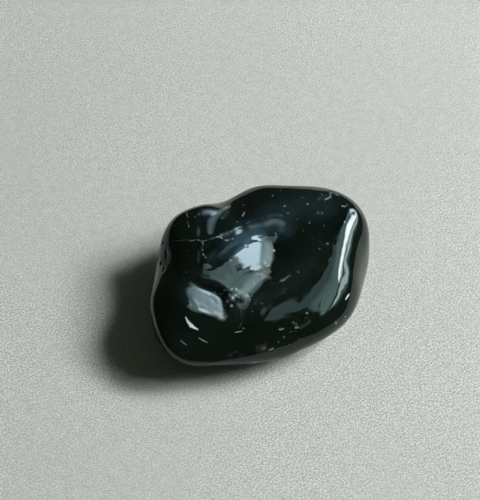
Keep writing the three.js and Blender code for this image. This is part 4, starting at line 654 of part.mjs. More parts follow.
  [-8.70, -3.26, 0.54, -0.0669], [-8.08, -3.26, 0.54, 0.3638], [-7.46, -3.26, 0.54, -0.2713],
  [-6.84, -3.26, 0.54, 0.1058], [-6.22, -3.26, 0.54, -0.0365], [-5.60, -3.26, 0.54, 0.0605],
  [-4.98, -3.26, 0.54, 0.0746], [-4.36, -3.26, 0.54, -0.0553], [-3.74, -3.26, 0.54, -0.0789],
  [-3.12, -3.26, 0.54, -0.0227], [-2.50, -3.26, 0.54, -0.0523], [-1.88, -3.26, 0.54, 0.0082],
  [-1.26, -3.26, 0.54, 0.0201], [-0.64, -3.26, 0.54, -0.0074], [-0.02, -3.26, 0.54, 0.0151],
  [0.60, -3.26, 0.54, 0.0183], [1.22, -3.26, 0.54, 0.0198], [1.84, -3.26, 0.54, 0.0091],
  [2.46, -3.26, 0.54, -0.0187], [3.08, -3.26, 0.54, -0.0122], [-13.35, -2.72, 0.54, -0.0543],
  [-12.73, -2.72, 0.54, -0.0433], [-12.11, -2.72, 0.54, 0.1132], [-11.49, -2.72, 0.54, -0.5107],
  [-10.87, -2.72, 0.54, 0.1693], [-10.25, -2.72, 0.54, 0.1410], [-9.63, -2.72, 0.54, -0.2468],
  [-9.01, -2.72, 0.54, 0.3096], [-8.39, -2.72, 0.54, -0.4901], [-7.77, -2.72, 0.54, 0.3653],
  [-7.15, -2.72, 0.54, -0.0096], [-6.53, -2.72, 0.54, -0.0021], [-5.91, -2.72, 0.54, 0.0192],
  [-5.29, -2.72, 0.54, -0.0527], [-4.67, -2.72, 0.54, 0.0205], [-4.05, -2.72, 0.54, 0.0923],
  [-3.43, -2.72, 0.54, 0.0414], [-2.81, -2.72, 0.54, 0.0335], [-2.19, -2.72, 0.54, 0.0280],
  [-1.57, -2.72, 0.54, -0.0452], [-0.95, -2.72, 0.54, -0.0108], [-0.33, -2.72, 0.54, 0.0137],
  [0.29, -2.72, 0.54, -0.0237], [0.91, -2.72, 0.54, -0.0130], [1.53, -2.72, 0.54, -0.0916],
  [2.15, -2.72, 0.54, -0.0026], [2.77, -2.72, 0.54, 0.0175], [3.39, -2.72, 0.54, 0.0033],
  [-14.28, -2.19, 0.54, -0.0831], [-13.66, -2.19, 0.54, 0.0718], [-13.04, -2.19, 0.54, -0.0295],
  [-12.42, -2.19, 0.54, -0.2816], [-11.80, -2.19, 0.54, -0.2169], [-11.18, -2.19, 0.54, 0.4845],
  [-10.56, -2.19, 0.54, -0.2285], [-9.94, -2.19, 0.54, 0.0382], [-9.32, -2.19, 0.54, -0.0404],
  [-8.70, -2.19, 0.54, 0.1253], [-8.08, -2.19, 0.54, -0.2290], [-7.46, -2.19, 0.54, 0.0929],
  [-6.84, -2.19, 0.54, -0.0080], [-6.22, -2.19, 0.54, -0.0184], [-5.60, -2.19, 0.54, 0.0497],
  [-4.98, -2.19, 0.54, 0.0107], [-4.36, -2.19, 0.54, -0.0522], [-3.74, -2.19, 0.54, -0.0429],
  [-3.12, -2.19, 0.54, -0.0101], [-2.50, -2.19, 0.54, -0.0119], [-1.88, -2.19, 0.54, 0.0258],
  [-1.26, -2.19, 0.54, 0.0478], [-0.64, -2.19, 0.54, -0.0573], [-0.02, -2.19, 0.54, -0.0479],
  [0.60, -2.19, 0.54, 0.0509], [1.22, -2.19, 0.54, 0.0639], [1.84, -2.19, 0.54, 0.0312],
  [2.46, -2.19, 0.54, -0.0660], [3.08, -2.19, 0.54, 0.0329], [3.70, -2.19, 0.54, 0.0064],
  [-14.59, -1.65, 0.54, -0.0227], [-13.97, -1.65, 0.54, 0.0574], [-13.35, -1.65, 0.54, -0.0279],
  [-12.73, -1.65, 0.54, -0.0241], [-12.11, -1.65, 0.54, 0.2433], [-11.49, -1.65, 0.54, 0.0984],
  [-10.87, -1.65, 0.54, -0.2956], [-10.25, -1.65, 0.54, 0.1711], [-9.63, -1.65, 0.54, 0.0245],
  [-9.01, -1.65, 0.54, -0.2137], [-8.39, -1.65, 0.54, 0.2825], [-7.77, -1.65, 0.54, -0.4044],
  [-7.15, -1.65, 0.54, 0.2861], [-6.53, -1.65, 0.54, -0.0325], [-5.91, -1.65, 0.54, 0.0465],
  [-5.29, -1.65, 0.54, -0.1073], [-4.67, -1.65, 0.54, 0.0563], [-4.05, -1.65, 0.54, 0.0307],
  [-3.43, -1.65, 0.54, 0.0229], [-2.81, -1.65, 0.54, 0.0149], [-2.19, -1.65, 0.54, 0.0175],
  [-1.57, -1.65, 0.54, -0.0242], [-0.95, -1.65, 0.54, 0.0025], [-0.33, -1.65, 0.54, 0.1134],
  [0.29, -1.65, 0.54, 0.0057], [0.91, -1.65, 0.54, -0.0720], [1.53, -1.65, 0.54, -0.0616],
  [2.15, -1.65, 0.54, 0.0735], [2.77, -1.65, 0.54, -0.0271], [3.39, -1.65, 0.54, 0.0049],
  [4.01, -1.65, 0.54, 0.0017], [-14.28, -1.11, 0.54, 0.0493], [-13.66, -1.11, 0.54, -0.0332],
  [-13.04, -1.11, 0.54, 0.0149], [-12.42, -1.11, 0.54, -0.0466], [-11.80, -1.11, 0.54, -0.0812],
  [-11.18, -1.11, 0.54, -0.0592], [-10.56, -1.11, 0.54, 0.2702], [-9.94, -1.11, 0.54, -0.3661],
  [-9.32, -1.11, 0.54, 0.3402], [-8.70, -1.11, 0.54, -0.2715], [-8.08, -1.11, 0.54, 0.3134],
  [-7.46, -1.11, 0.54, -0.4055], [-6.84, -1.11, 0.54, 0.1901], [-6.22, -1.11, 0.54, -0.0839],
  [-5.60, -1.11, 0.54, 0.0155], [-4.98, -1.11, 0.54, 0.0198], [-4.36, -1.11, 0.54, -0.0707],
  [-3.74, -1.11, 0.54, 0.0044], [-3.12, -1.11, 0.54, -0.0150], [-2.50, -1.11, 0.54, -0.0118],
  [-1.88, -1.11, 0.54, 0.0115], [-1.26, -1.11, 0.54, 0.0434], [-0.64, -1.11, 0.54, -0.0521],
  [-0.02, -1.11, 0.54, -0.0845], [0.60, -1.11, 0.54, 0.0469], [1.22, -1.11, 0.54, 0.0913],
  [1.84, -1.11, 0.54, -0.0565], [2.46, -1.11, 0.54, 0.0300], [3.08, -1.11, 0.54, 0.0312],
  [3.70, -1.11, 0.54, -0.0126], [4.32, -1.11, 0.54, 0.0210], [4.94, -1.11, 0.54, -0.0186],
  [-13.97, -0.58, 0.54, -0.0182], [-13.35, -0.58, 0.54, 0.0085], [-12.73, -0.58, 0.54, 0.0185],
  [-12.11, -0.58, 0.54, 0.0283], [-11.49, -0.58, 0.54, 0.0731], [-10.87, -0.58, 0.54, -0.1163],
  [-10.25, -0.58, 0.54, -0.0175], [-9.63, -0.58, 0.54, 0.1028], [-9.01, -0.58, 0.54, -0.1641],
  [-8.39, -0.58, 0.54, 0.2445], [-7.77, -0.58, 0.54, -0.3772], [-7.15, -0.58, 0.54, 0.2618],
  [-6.53, -0.58, 0.54, -0.0512], [-5.91, -0.58, 0.54, 0.0196], [-5.29, -0.58, 0.54, -0.0201],
  [-4.67, -0.58, 0.54, 0.0174], [-4.05, -0.58, 0.54, 0.0281], [-3.43, -0.58, 0.54, -0.0238],
  [-2.81, -0.58, 0.54, 0.0213], [-2.19, -0.58, 0.54, 0.0085], [-1.57, -0.58, 0.54, -0.0251],
  [-0.95, -0.58, 0.54, -0.0055], [-0.33, -0.58, 0.54, 0.0508], [0.29, -0.58, 0.54, 0.0365],
  [0.91, -0.58, 0.54, -0.0497], [1.53, -0.58, 0.54, 0.0365], [2.15, -0.58, 0.54, 0.0109],
  [2.77, -0.58, 0.54, -0.0432], [3.39, -0.58, 0.54, 0.0490], [4.01, -0.58, 0.54, -0.0320],
  [4.63, -0.58, 0.54, 0.0085], [5.25, -0.58, 0.54, -0.0080], [-13.66, -0.04, 0.54, 0.0013],
  [-13.04, -0.04, 0.54, -0.0384], [-12.42, -0.04, 0.54, 0.1295], [-11.80, -0.04, 0.54, -0.2086],
  [-11.18, -0.04, 0.54, 0.1079], [-10.56, -0.04, 0.54, -0.0655], [-9.94, -0.04, 0.54, 0.1006],
  [-9.32, -0.04, 0.54, -0.1860], [-8.70, -0.04, 0.54, 0.2698], [-8.08, -0.04, 0.54, -0.3158],
  [-7.46, -0.04, 0.54, 0.1992], [-6.84, -0.04, 0.54, -0.0069], [-6.22, -0.04, 0.54, 0.0085],
  [-5.60, -0.04, 0.54, -0.0029], [-4.98, -0.04, 0.54, -0.0053], [-4.36, -0.04, 0.54, 0.0043],
  [-3.74, -0.04, 0.54, 0.0202], [-3.12, -0.04, 0.54, 0.0286], [-2.50, -0.04, 0.54, -0.0233],
  [-1.88, -0.04, 0.54, 0.0233], [-1.26, -0.04, 0.54, 0.0232], [-0.64, -0.04, 0.54, -0.0082],
  [-0.02, -0.04, 0.54, -0.0513], [0.60, -0.04, 0.54, 0.0112], [1.22, -0.04, 0.54, 0.0654],
  [1.84, -0.04, 0.54, -0.0153], [2.46, -0.04, 0.54, 0.0300], [3.08, -0.04, 0.54, -0.0246],
  [3.70, -0.04, 0.54, 0.0308], [4.32, -0.04, 0.54, 0.0070], [4.94, -0.04, 0.54, 0.0083],
  [5.56, -0.04, 0.54, -0.0120], [-12.73, 0.50, 0.54, -0.0276], [-12.11, 0.50, 0.54, -0.0039],
  [-11.49, 0.50, 0.54, 0.0407], [-10.87, 0.50, 0.54, -0.0889], [-10.25, 0.50, 0.54, 0.0451],
  [-9.63, 0.50, 0.54, -0.1079], [-9.01, 0.50, 0.54, 0.2735], [-8.39, 0.50, 0.54, -0.3834],
  [-7.77, 0.50, 0.54, 0.0396], [-7.15, 0.50, 0.54, 0.1267], [-6.53, 0.50, 0.54, -0.0721],
  [-5.91, 0.50, 0.54, 0.0142], [-5.29, 0.50, 0.54, 0.0247], [-4.67, 0.50, 0.54, -0.0155],
  [-4.05, 0.50, 0.54, 0.0159], [-3.43, 0.50, 0.54, -0.0422], [-2.81, 0.50, 0.54, 0.0087],
  [-2.19, 0.50, 0.54, 0.0145], [-1.57, 0.50, 0.54, -0.0218], [-0.95, 0.50, 0.54, 0.0057],
  [-0.33, 0.50, 0.54, 0.0236], [0.29, 0.50, 0.54, 0.0375], [0.91, 0.50, 0.54, -0.0294], [1.53, 0.50, 0.54, -0.0437],
  [2.15, 0.50, 0.54, 0.0579], [2.77, 0.50, 0.54, -0.0092], [3.39, 0.50, 0.54, -0.0350], [4.01, 0.50, 0.54, 0.0175],
  [4.63, 0.50, 0.54, -0.0260], [5.25, 0.50, 0.54, 0.0216], [5.87, 0.50, 0.54, -0.0465], [6.49, 0.50, 0.54, 0.0223],
  [-12.42, 1.03, 0.54, -0.0195], [-11.80, 1.03, 0.54, -0.0431], [-11.18, 1.03, 0.54, -0.0499],
  [-10.56, 1.03, 0.54, 0.1239], [-9.94, 1.03, 0.54, -0.1117], [-9.32, 1.03, 0.54, 0.2284],
  [-8.70, 1.03, 0.54, -0.5136], [-8.08, 1.03, 0.54, 0.3771], [-7.46, 1.03, 0.54, 0.0528],
  [-6.84, 1.03, 0.54, -0.1413], [-6.22, 1.03, 0.54, 0.1194], [-5.60, 1.03, 0.54, -0.0986],
  [-4.98, 1.03, 0.54, 0.0348], [-4.36, 1.03, 0.54, 0.0053], [-3.74, 1.03, 0.54, 0.0282], [-3.12, 1.03, 0.54, 0.0333],
  [-2.50, 1.03, 0.54, -0.0215], [-1.88, 1.03, 0.54, 0.0111], [-1.26, 1.03, 0.54, 0.0186],
  [-0.64, 1.03, 0.54, -0.0311], [-0.02, 1.03, 0.54, -0.0168], [0.60, 1.03, 0.54, -0.0366],
  [1.22, 1.03, 0.54, 0.0463], [1.84, 1.03, 0.54, 0.0323], [2.46, 1.03, 0.54, -0.0842], [3.08, 1.03, 0.54, 0.1290],
  [3.70, 1.03, 0.54, -0.0856], [4.32, 1.03, 0.54, 0.0269], [4.94, 1.03, 0.54, -0.1016], [5.56, 1.03, 0.54, 0.0760],
  [6.18, 1.03, 0.54, -0.0160], [6.80, 1.03, 0.54, 0.0064], [-12.11, 1.57, 0.54, 0.0327],
  [-11.49, 1.57, 0.54, 0.0568], [-10.87, 1.57, 0.54, -0.0514], [-10.25, 1.57, 0.54, -0.0578],
  [-9.63, 1.57, 0.54, 0.1639], [-9.01, 1.57, 0.54, -0.4027], [-8.39, 1.57, 0.54, 0.5423],
  [-7.77, 1.57, 0.54, -0.3032], [-7.15, 1.57, 0.54, 0.0570], [-6.53, 1.57, 0.54, 0.0204],
  [-5.91, 1.57, 0.54, -0.0676], [-5.29, 1.57, 0.54, 0.1066], [-4.67, 1.57, 0.54, -0.1126],
  [-4.05, 1.57, 0.54, 0.0239], [-3.43, 1.57, 0.54, -0.0588], [-2.81, 1.57, 0.54, 0.0083],
  [-2.19, 1.57, 0.54, 0.0156], [-1.57, 1.57, 0.54, -0.0224], [-0.95, 1.57, 0.54, 0.0135],
  [-0.33, 1.57, 0.54, 0.0354], [0.29, 1.57, 0.54, 0.0084], [0.91, 1.57, 0.54, 0.0233], [1.53, 1.57, 0.54, -0.0973],
  [2.15, 1.57, 0.54, 0.0459], [2.77, 1.57, 0.54, 0.0590], [3.39, 1.57, 0.54, -0.1405], [4.01, 1.57, 0.54, 0.1513],
  [4.63, 1.57, 0.54, -0.0316], [5.25, 1.57, 0.54, -0.0449], [5.87, 1.57, 0.54, -0.0070], [6.49, 1.57, 0.54, 0.0374],
  [-11.80, 2.11, 0.54, -0.1032], [-11.18, 2.11, 0.54, 0.0851], [-10.56, 2.11, 0.54, 0.0385],
  [-9.94, 2.11, 0.54, 0.0283], [-9.32, 2.11, 0.54, -0.2615], [-8.70, 2.11, 0.54, 0.2727],
  [-8.08, 2.11, 0.54, -0.2465], [-7.46, 2.11, 0.54, 0.1902], [-6.84, 2.11, 0.54, -0.0868],
  [-6.22, 2.11, 0.54, 0.0227], [-5.60, 2.11, 0.54, -0.0097], [-4.98, 2.11, 0.54, 0.0202],
  [-4.36, 2.11, 0.54, 0.0657], [-3.74, 2.11, 0.54, 0.0934], [-3.12, 2.11, 0.54, 0.0297],
  [-2.50, 2.11, 0.54, -0.0423], [-1.88, 2.11, 0.54, -0.0047], [-1.26, 2.11, 0.54, 0.0059],
  [-0.64, 2.11, 0.54, -0.0332], [-0.02, 2.11, 0.54, -0.0164], [0.60, 2.11, 0.54, -0.0124],
  [1.22, 2.11, 0.54, 0.0104], [1.84, 2.11, 0.54, 0.1028], [2.46, 2.11, 0.54, -0.1140], [3.08, 2.11, 0.54, -0.0139],
  [3.70, 2.11, 0.54, 0.1003], [4.32, 2.11, 0.54, -0.1037], [4.94, 2.11, 0.54, 0.0628], [5.56, 2.11, 0.54, -0.0051],
  [6.18, 2.11, 0.54, -0.0221], [-10.87, 2.64, 0.54, 0.0166], [-10.25, 2.64, 0.54, -0.0042],
  [-9.63, 2.64, 0.54, -0.0257], [-9.01, 2.64, 0.54, 0.0329], [-8.39, 2.64, 0.54, 0.0470],
  [-7.77, 2.64, 0.54, 0.0793], [-7.15, 2.64, 0.54, -0.1208], [-6.53, 2.64, 0.54, 0.0306],
  [-5.91, 2.64, 0.54, 0.0031], [-5.29, 2.64, 0.54, -0.0414], [-4.67, 2.64, 0.54, -0.0682],
  [-4.05, 2.64, 0.54, -0.0950], [-3.43, 2.64, 0.54, -0.0499], [-2.81, 2.64, 0.54, 0.0194],
  [-2.19, 2.64, 0.54, 0.0712], [-1.57, 2.64, 0.54, 0.0150], [-0.95, 2.64, 0.54, 0.0349], [-0.33, 2.64, 0.54, 0.0376],
  [0.29, 2.64, 0.54, 0.0258], [0.91, 2.64, 0.54, 0.0058], [1.53, 2.64, 0.54, -0.0500], [2.15, 2.64, 0.54, -0.0680],
  [2.77, 2.64, 0.54, 0.1247], [3.39, 2.64, 0.54, -0.0255], [4.01, 2.64, 0.54, 0.0027], [4.63, 2.64, 0.54, 0.0058],
  [5.25, 2.64, 0.54, -0.0718], [-10.56, 3.18, 0.54, -0.1403], [-9.94, 3.18, 0.54, -0.0571],
  [-9.32, 3.18, 0.54, 0.0352], [-8.70, 3.18, 0.54, -0.0344], [-8.08, 3.18, 0.54, -0.0326],
  [-7.46, 3.18, 0.54, -0.0077], [-6.84, 3.18, 0.54, 0.0837], [-6.22, 3.18, 0.54, -0.0415],
  [-5.60, 3.18, 0.54, 0.0282], [-4.98, 3.18, 0.54, 0.0484], [-4.36, 3.18, 0.54, 0.0658], [-3.74, 3.18, 0.54, 0.0466],
  [-3.12, 3.18, 0.54, -0.0215], [-2.50, 3.18, 0.54, -0.0755], [-1.88, 3.18, 0.54, -0.0547],
  [-1.26, 3.18, 0.54, -0.0330], [-0.64, 3.18, 0.54, -0.0423], [-0.02, 3.18, 0.54, -0.0237],
  [0.60, 3.18, 0.54, -0.0107], [1.22, 3.18, 0.54, 0.0170], [1.84, 3.18, 0.54, 0.0668], [2.46, 3.18, 0.54, 0.0220],
  [3.08, 3.18, 0.54, -0.0544], [3.70, 3.18, 0.54, 0.0455], [4.32, 3.18, 0.54, -0.0299], [-10.25, 3.72, 0.54, 0.0717],
  [-9.63, 3.72, 0.54, 0.0287], [-9.01, 3.72, 0.54, -0.0092], [-8.39, 3.72, 0.54, -0.0115],
  [-7.77, 3.72, 0.54, -0.0236], [-7.15, 3.72, 0.54, 0.0528], [-6.53, 3.72, 0.54, -0.0122],
  [-5.91, 3.72, 0.54, 0.0047], [-5.29, 3.72, 0.54, -0.0576], [-4.67, 3.72, 0.54, -0.0625],
  [-4.05, 3.72, 0.54, -0.0494], [-3.43, 3.72, 0.54, 0.0062], [-2.81, 3.72, 0.54, 0.0699],
  [-2.19, 3.72, 0.54, 0.0578], [-1.57, 3.72, 0.54, 0.0393], [-0.95, 3.72, 0.54, 0.0320], [-0.33, 3.72, 0.54, 0.0326],
  [0.29, 3.72, 0.54, 0.0172], [0.91, 3.72, 0.54, -0.0189], [1.53, 3.72, 0.54, -0.0538], [2.15, 3.72, 0.54, -0.0143],
  [2.77, 3.72, 0.54, 0.0264], [3.39, 3.72, 0.54, 0.0361], [4.01, 3.72, 0.54, -0.0365], [-9.94, 4.26, 0.54, -0.0208],
  [-9.32, 4.26, 0.54, -0.0221], [-8.70, 4.26, 0.54, 0.0196], [-8.08, 4.26, 0.54, 0.0104],
  [-7.46, 4.26, 0.54, -0.0271], [-6.84, 4.26, 0.54, 0.0063], [-6.22, 4.26, 0.54, 0.0522],
  [-5.60, 4.26, 0.54, 0.0385], [-4.98, 4.26, 0.54, 0.0777], [-4.36, 4.26, 0.54, 0.0496], [-3.74, 4.26, 0.54, 0.0079],
  [-3.12, 4.26, 0.54, -0.0756], [-2.50, 4.26, 0.54, -0.0748], [-1.88, 4.26, 0.54, -0.0399],
  [-1.26, 4.26, 0.54, -0.0352], [-0.64, 4.26, 0.54, -0.0320], [-0.02, 4.26, 0.54, -0.0216],
  [0.60, 4.26, 0.54, 0.0124], [1.22, 4.26, 0.54, 0.0374], [1.84, 4.26, 0.54, 0.0237], [2.46, 4.26, 0.54, 0.0197],
  [3.08, 4.26, 0.54, 0.0167], [-9.01, 4.79, 0.54, 0.0024], [-8.39, 4.79, 0.54, -0.0009],
  [-7.77, 4.79, 0.54, -0.0017], [-7.15, 4.79, 0.54, -0.0134], [-6.53, 4.79, 0.54, -0.0211],
  [-5.91, 4.79, 0.54, -0.0195], [-5.29, 4.79, 0.54, -0.0240], [-4.67, 4.79, 0.54, -0.0478],
  [-4.05, 4.79, 0.54, -0.0015], [-3.43, 4.79, 0.54, 0.0668], [-2.81, 4.79, 0.54, 0.1314],
  [-2.19, 4.79, 0.54, 0.0821], [-1.57, 4.79, 0.54, 0.0536], [-0.95, 4.79, 0.54, 0.0570], [-0.33, 4.79, 0.54, 0.0448],
  [0.29, 4.79, 0.54, -0.0405], [0.91, 4.79, 0.54, -0.0933], [1.53, 4.79, 0.54, -0.0294], [2.15, 4.79, 0.54, 0.0586],
  [2.77, 4.79, 0.54, 0.0764], [-8.70, 5.33, 0.54, -0.0032], [-8.08, 5.33, 0.54, -0.0032],
  [-7.46, 5.33, 0.54, 0.0122], [-6.84, 5.33, 0.54, 0.0023], [-6.22, 5.33, 0.54, -0.0064],
  [-5.60, 5.33, 0.54, 0.0016], [-4.36, 5.33, 0.54, -0.0106], [-3.74, 5.33, 0.54, -0.0246],
  [-3.12, 5.33, 0.54, -0.0880], [-2.50, 5.33, 0.54, -0.1052], [-1.88, 5.33, 0.54, -0.0722],
  [-1.26, 5.33, 0.54, -0.0199], [-0.64, 5.33, 0.54, -0.1011], [-0.02, 5.33, 0.54, -0.0109],
  [0.60, 5.33, 0.54, 0.1294], [1.22, 5.33, 0.54, 0.0325], [1.84, 5.33, 0.54, 0.0223], [-6.53, 5.87, 0.54, 0.0042],
  [-5.91, 5.87, 0.54, 0.0061], [-5.29, 5.87, 0.54, 0.0068], [-4.67, 5.87, 0.54, 0.0105], [-4.05, 5.87, 0.54, 0.0009],
  [-3.43, 5.87, 0.54, 0.0139], [-2.81, 5.87, 0.54, 0.0342], [-2.19, 5.87, 0.54, 0.0558], [-1.57, 5.87, 0.54, 0.0207],
  [-0.33, 5.87, 0.54, 0.0445], [0.29, 5.87, 0.54, -0.0756], [0.91, 5.87, 0.54, 0.0679], [-7.46, 6.40, 0.54, -0.0027],
  [-6.84, 6.40, 0.54, -0.0027], [-6.22, 6.40, 0.54, -0.0025], [-5.60, 6.40, 0.54, -0.0036],
  [-4.98, 6.40, 0.54, -0.0052], [-4.36, 6.40, 0.54, -0.0023], [-3.74, 6.40, 0.54, -0.0233],
  [-3.12, 6.40, 0.54, -0.0321], [-2.50, 6.40, 0.54, -0.0184], [-1.88, 6.40, 0.54, -0.0464],
  [-1.26, 6.40, 0.54, -0.0196], [-0.64, 6.40, 0.54, -0.0332], [-0.02, 6.40, 0.54, 0.0038],
  [-7.77, 6.94, 0.54, 0.0022], [-7.15, 6.94, 0.54, 0.0029], [-5.29, 6.94, 0.54, 0.0141],
  [-4.67, 6.94, 0.54, -0.0222], [-4.05, 6.94, 0.54, -0.0140], [-3.43, 6.94, 0.54, 0.0213],
  [-2.19, 6.94, 0.54, 0.0315], [-1.57, 6.94, 0.54, 0.0162], [-6.22, 7.48, 0.54, 0.0018],
  [-5.60, 7.48, 0.54, -0.0062], [-4.98, 7.48, 0.54, 0.0326], [-4.36, 7.48, 0.54, -0.0318],
  [-3.74, 7.48, 0.54, -0.0265], [-3.12, 7.48, 0.54, 0.0402], [-2.50, 7.48, 0.54, -0.0078],
  [-6.53, 8.01, 0.54, 0.0014], [-5.91, 8.01, 0.54, -0.0011], [-5.29, 8.01, 0.54, -0.0431],
  [-4.67, 8.01, 0.54, 0.0404], [-4.05, 8.01, 0.54, 0.0397], [-3.43, 8.01, 0.54, -0.0729],
  [-2.81, 8.01, 0.54, 0.0444], [-6.22, 8.55, 0.54, 0.0074], [-5.60, 8.55, 0.54, 0.0120],
  [-4.98, 8.55, 0.54, -0.0485], [-4.36, 8.55, 0.54, 0.0389], [-3.74, 8.55, 0.54, 0.0348],
  [-5.91, 9.09, 0.54, -0.0020], [-5.29, 9.09, 0.54, 0.0380], [-4.67, 9.09, 0.54, -0.0684],
  [-4.05, 9.09, 0.54, 0.0333], [-5.60, 9.62, 0.54, 0.0080], [-4.98, 9.62, 0.54, 0.0389],
  [7.73, -11.32, 0.54, -0.0049], [8.35, -11.32, 0.54, -0.1979], [8.97, -11.32, 0.54, -0.2943],
  [6.18, -10.78, 0.54, -0.0945], [6.80, -10.78, 0.54, -0.0285], [7.42, -10.78, 0.54, 0.0282],
  [8.04, -10.78, 0.54, 0.0413], [8.66, -10.78, 0.54, 0.0073], [9.28, -10.78, 0.54, -0.3104],
  [9.90, -10.78, 0.54, -0.2311], [5.25, -10.24, 0.54, 0.0641], [5.87, -10.24, 0.54, 0.0145],
  [6.49, -10.24, 0.54, -0.0149], [7.11, -10.24, 0.54, -0.1834], [7.73, -10.24, 0.54, -0.0367],
  [8.35, -10.24, 0.54, -0.1035], [8.97, -10.24, 0.54, 0.0186], [9.59, -10.24, 0.54, 0.0805],
  [10.21, -10.24, 0.54, -0.1179], [4.94, -9.70, 0.54, 0.0597], [5.56, -9.70, 0.54, 0.0404],
  [6.18, -9.70, 0.54, -0.0284], [6.80, -9.70, 0.54, 0.0259], [7.42, -9.70, 0.54, -0.0286],
  [8.04, -9.70, 0.54, 0.0107], [8.66, -9.70, 0.54, 0.0726], [9.28, -9.70, 0.54, -0.0930],
  [9.90, -9.70, 0.54, 0.1339], [10.52, -9.70, 0.54, -0.0202], [5.87, -9.17, 0.54, 0.0699],
  [6.49, -9.17, 0.54, -0.0546], [7.11, -9.17, 0.54, -0.0238], [7.73, -9.17, 0.54, -0.0046],
  [8.35, -9.17, 0.54, -0.0585], [8.97, -9.17, 0.54, 0.1281], [9.59, -9.17, 0.54, 0.0233],
  [10.21, -9.17, 0.54, 0.0626], [10.83, -9.17, 0.54, 0.0799], [11.45, -9.17, 0.54, -0.0632],
  [6.18, -8.63, 0.54, 0.0309], [6.80, -8.63, 0.54, 0.0238], [7.42, -8.63, 0.54, -0.0272],
  [8.04, -8.63, 0.54, 0.0873], [8.66, -8.63, 0.54, -0.0608], [9.28, -8.63, 0.54, -0.0276],
  [9.90, -8.63, 0.54, 0.0561], [10.52, -8.63, 0.54, 0.0096], [11.14, -8.63, 0.54, 0.0913],
  [11.76, -8.63, 0.54, 0.0238], [6.49, -8.09, 0.54, 0.0250], [7.11, -8.09, 0.54, 0.0354],
  [7.73, -8.09, 0.54, -0.0438], [8.35, -8.09, 0.54, 0.0346], [8.97, -8.09, 0.54, 0.0839],
  [9.59, -8.09, 0.54, -0.0686], [10.21, -8.09, 0.54, 0.0367], [10.83, -8.09, 0.54, 0.0186],
  [11.45, -8.09, 0.54, 0.0697], [12.07, -8.09, 0.54, 0.0488], [6.80, -7.56, 0.54, -0.0235],
  [7.42, -7.56, 0.54, 0.0645], [8.04, -7.56, 0.54, 0.0209], [8.66, -7.56, 0.54, -0.0906],
  [9.28, -7.56, 0.54, 0.0615], [9.90, -7.56, 0.54, 0.0044], [10.52, -7.56, 0.54, -0.0285],
  [11.14, -7.56, 0.54, 0.0419], [11.76, -7.56, 0.54, 0.0142], [12.38, -7.56, 0.54, 0.1381],
  [7.73, -7.02, 0.54, -0.0436], [8.35, -7.02, 0.54, 0.0694], [8.97, -7.02, 0.54, -0.0552],
  [9.59, -7.02, 0.54, -0.0235], [10.21, -7.02, 0.54, 0.0577], [10.83, -7.02, 0.54, -0.0373],
  [11.45, -7.02, 0.54, 0.0378], [12.07, -7.02, 0.54, -0.0356], [12.69, -7.02, 0.54, 0.0550],
  [13.31, -7.02, 0.54, 0.1048], [8.04, -6.48, 0.54, -0.0388], [8.66, -6.48, 0.54, 0.0016],
  [9.28, -6.48, 0.54, 0.0172], [9.90, -6.48, 0.54, -0.0837], [10.52, -6.48, 0.54, 0.0203],
  [11.14, -6.48, 0.54, -0.0180], [11.76, -6.48, 0.54, -0.0225], [12.38, -6.48, 0.54, 0.0468],
  [13.00, -6.48, 0.54, -0.0516], [13.62, -6.48, 0.54, 0.0262], [8.35, -5.95, 0.54, -0.0320],
  [8.97, -5.95, 0.54, -0.0449], [9.59, -5.95, 0.54, 0.0564], [10.21, -5.95, 0.54, -0.0098],
  [10.83, -5.95, 0.54, -0.0473], [11.45, -5.95, 0.54, 0.0557], [12.07, -5.95, 0.54, -0.0628],
  [12.69, -5.95, 0.54, -0.0079], [13.31, -5.95, 0.54, 0.0381], [13.93, -5.95, 0.54, -0.0268],
  [9.28, -5.41, 0.54, 0.0031], [9.90, -5.41, 0.54, -0.0406], [10.52, -5.41, 0.54, 0.1252],
  [11.14, -5.41, 0.54, -0.0836], [11.76, -5.41, 0.54, 0.0056], [12.38, -5.41, 0.54, 0.0685],
  [13.00, -5.41, 0.54, -0.1006], [13.62, -5.41, 0.54, -0.0212], [14.24, -5.41, 0.54, 0.0620],
  [9.59, -4.87, 0.54, 0.0349], [10.21, -4.87, 0.54, -0.0367], [10.83, -4.87, 0.54, 0.0541],
  [11.45, -4.87, 0.54, 0.0927], [12.07, -4.87, 0.54, -0.1442], [12.69, -4.87, 0.54, 0.0781],
  [13.31, -4.87, 0.54, 0.0832], [13.93, -4.87, 0.54, -0.0649], [14.55, -4.87, 0.54, 0.0271],
  [15.17, -4.87, 0.54, 0.0548], [9.90, -4.34, 0.54, 0.0467], [10.52, -4.34, 0.54, 0.0417],
  [11.14, -4.34, 0.54, -0.0382], [11.76, -4.34, 0.54, 0.1409], [12.38, -4.34, 0.54, 0.0130],
  [13.00, -4.34, 0.54, -0.1915], [13.62, -4.34, 0.54, 0.0902], [14.24, -4.34, 0.54, 0.0600],
  [14.86, -4.34, 0.54, 0.0659], [15.48, -4.34, 0.54, 0.0641], [10.83, -3.80, 0.54, 0.0808],
  [11.45, -3.80, 0.54, -0.0240], [12.07, -3.80, 0.54, -0.0272], [12.69, -3.80, 0.54, 0.2002],
  [13.31, -3.80, 0.54, 0.0123], [13.93, -3.80, 0.54, -0.1277], [14.55, -3.80, 0.54, 0.1170],
  [15.17, -3.80, 0.54, -0.0252], [15.79, -3.80, 0.54, 0.0929], [11.14, -3.26, 0.54, 0.0204],
  [11.76, -3.26, 0.54, 0.0821], [12.38, -3.26, 0.54, -0.1237], [13.00, -3.26, 0.54, -0.0444],
  [13.62, -3.26, 0.54, 0.1126], [14.24, -3.26, 0.54, 0.0865], [14.86, -3.26, 0.54, -0.2122],
  [15.48, -3.26, 0.54, 0.3397], [16.10, -3.26, 0.54, -0.1819], [16.72, -3.26, 0.54, 0.1342],
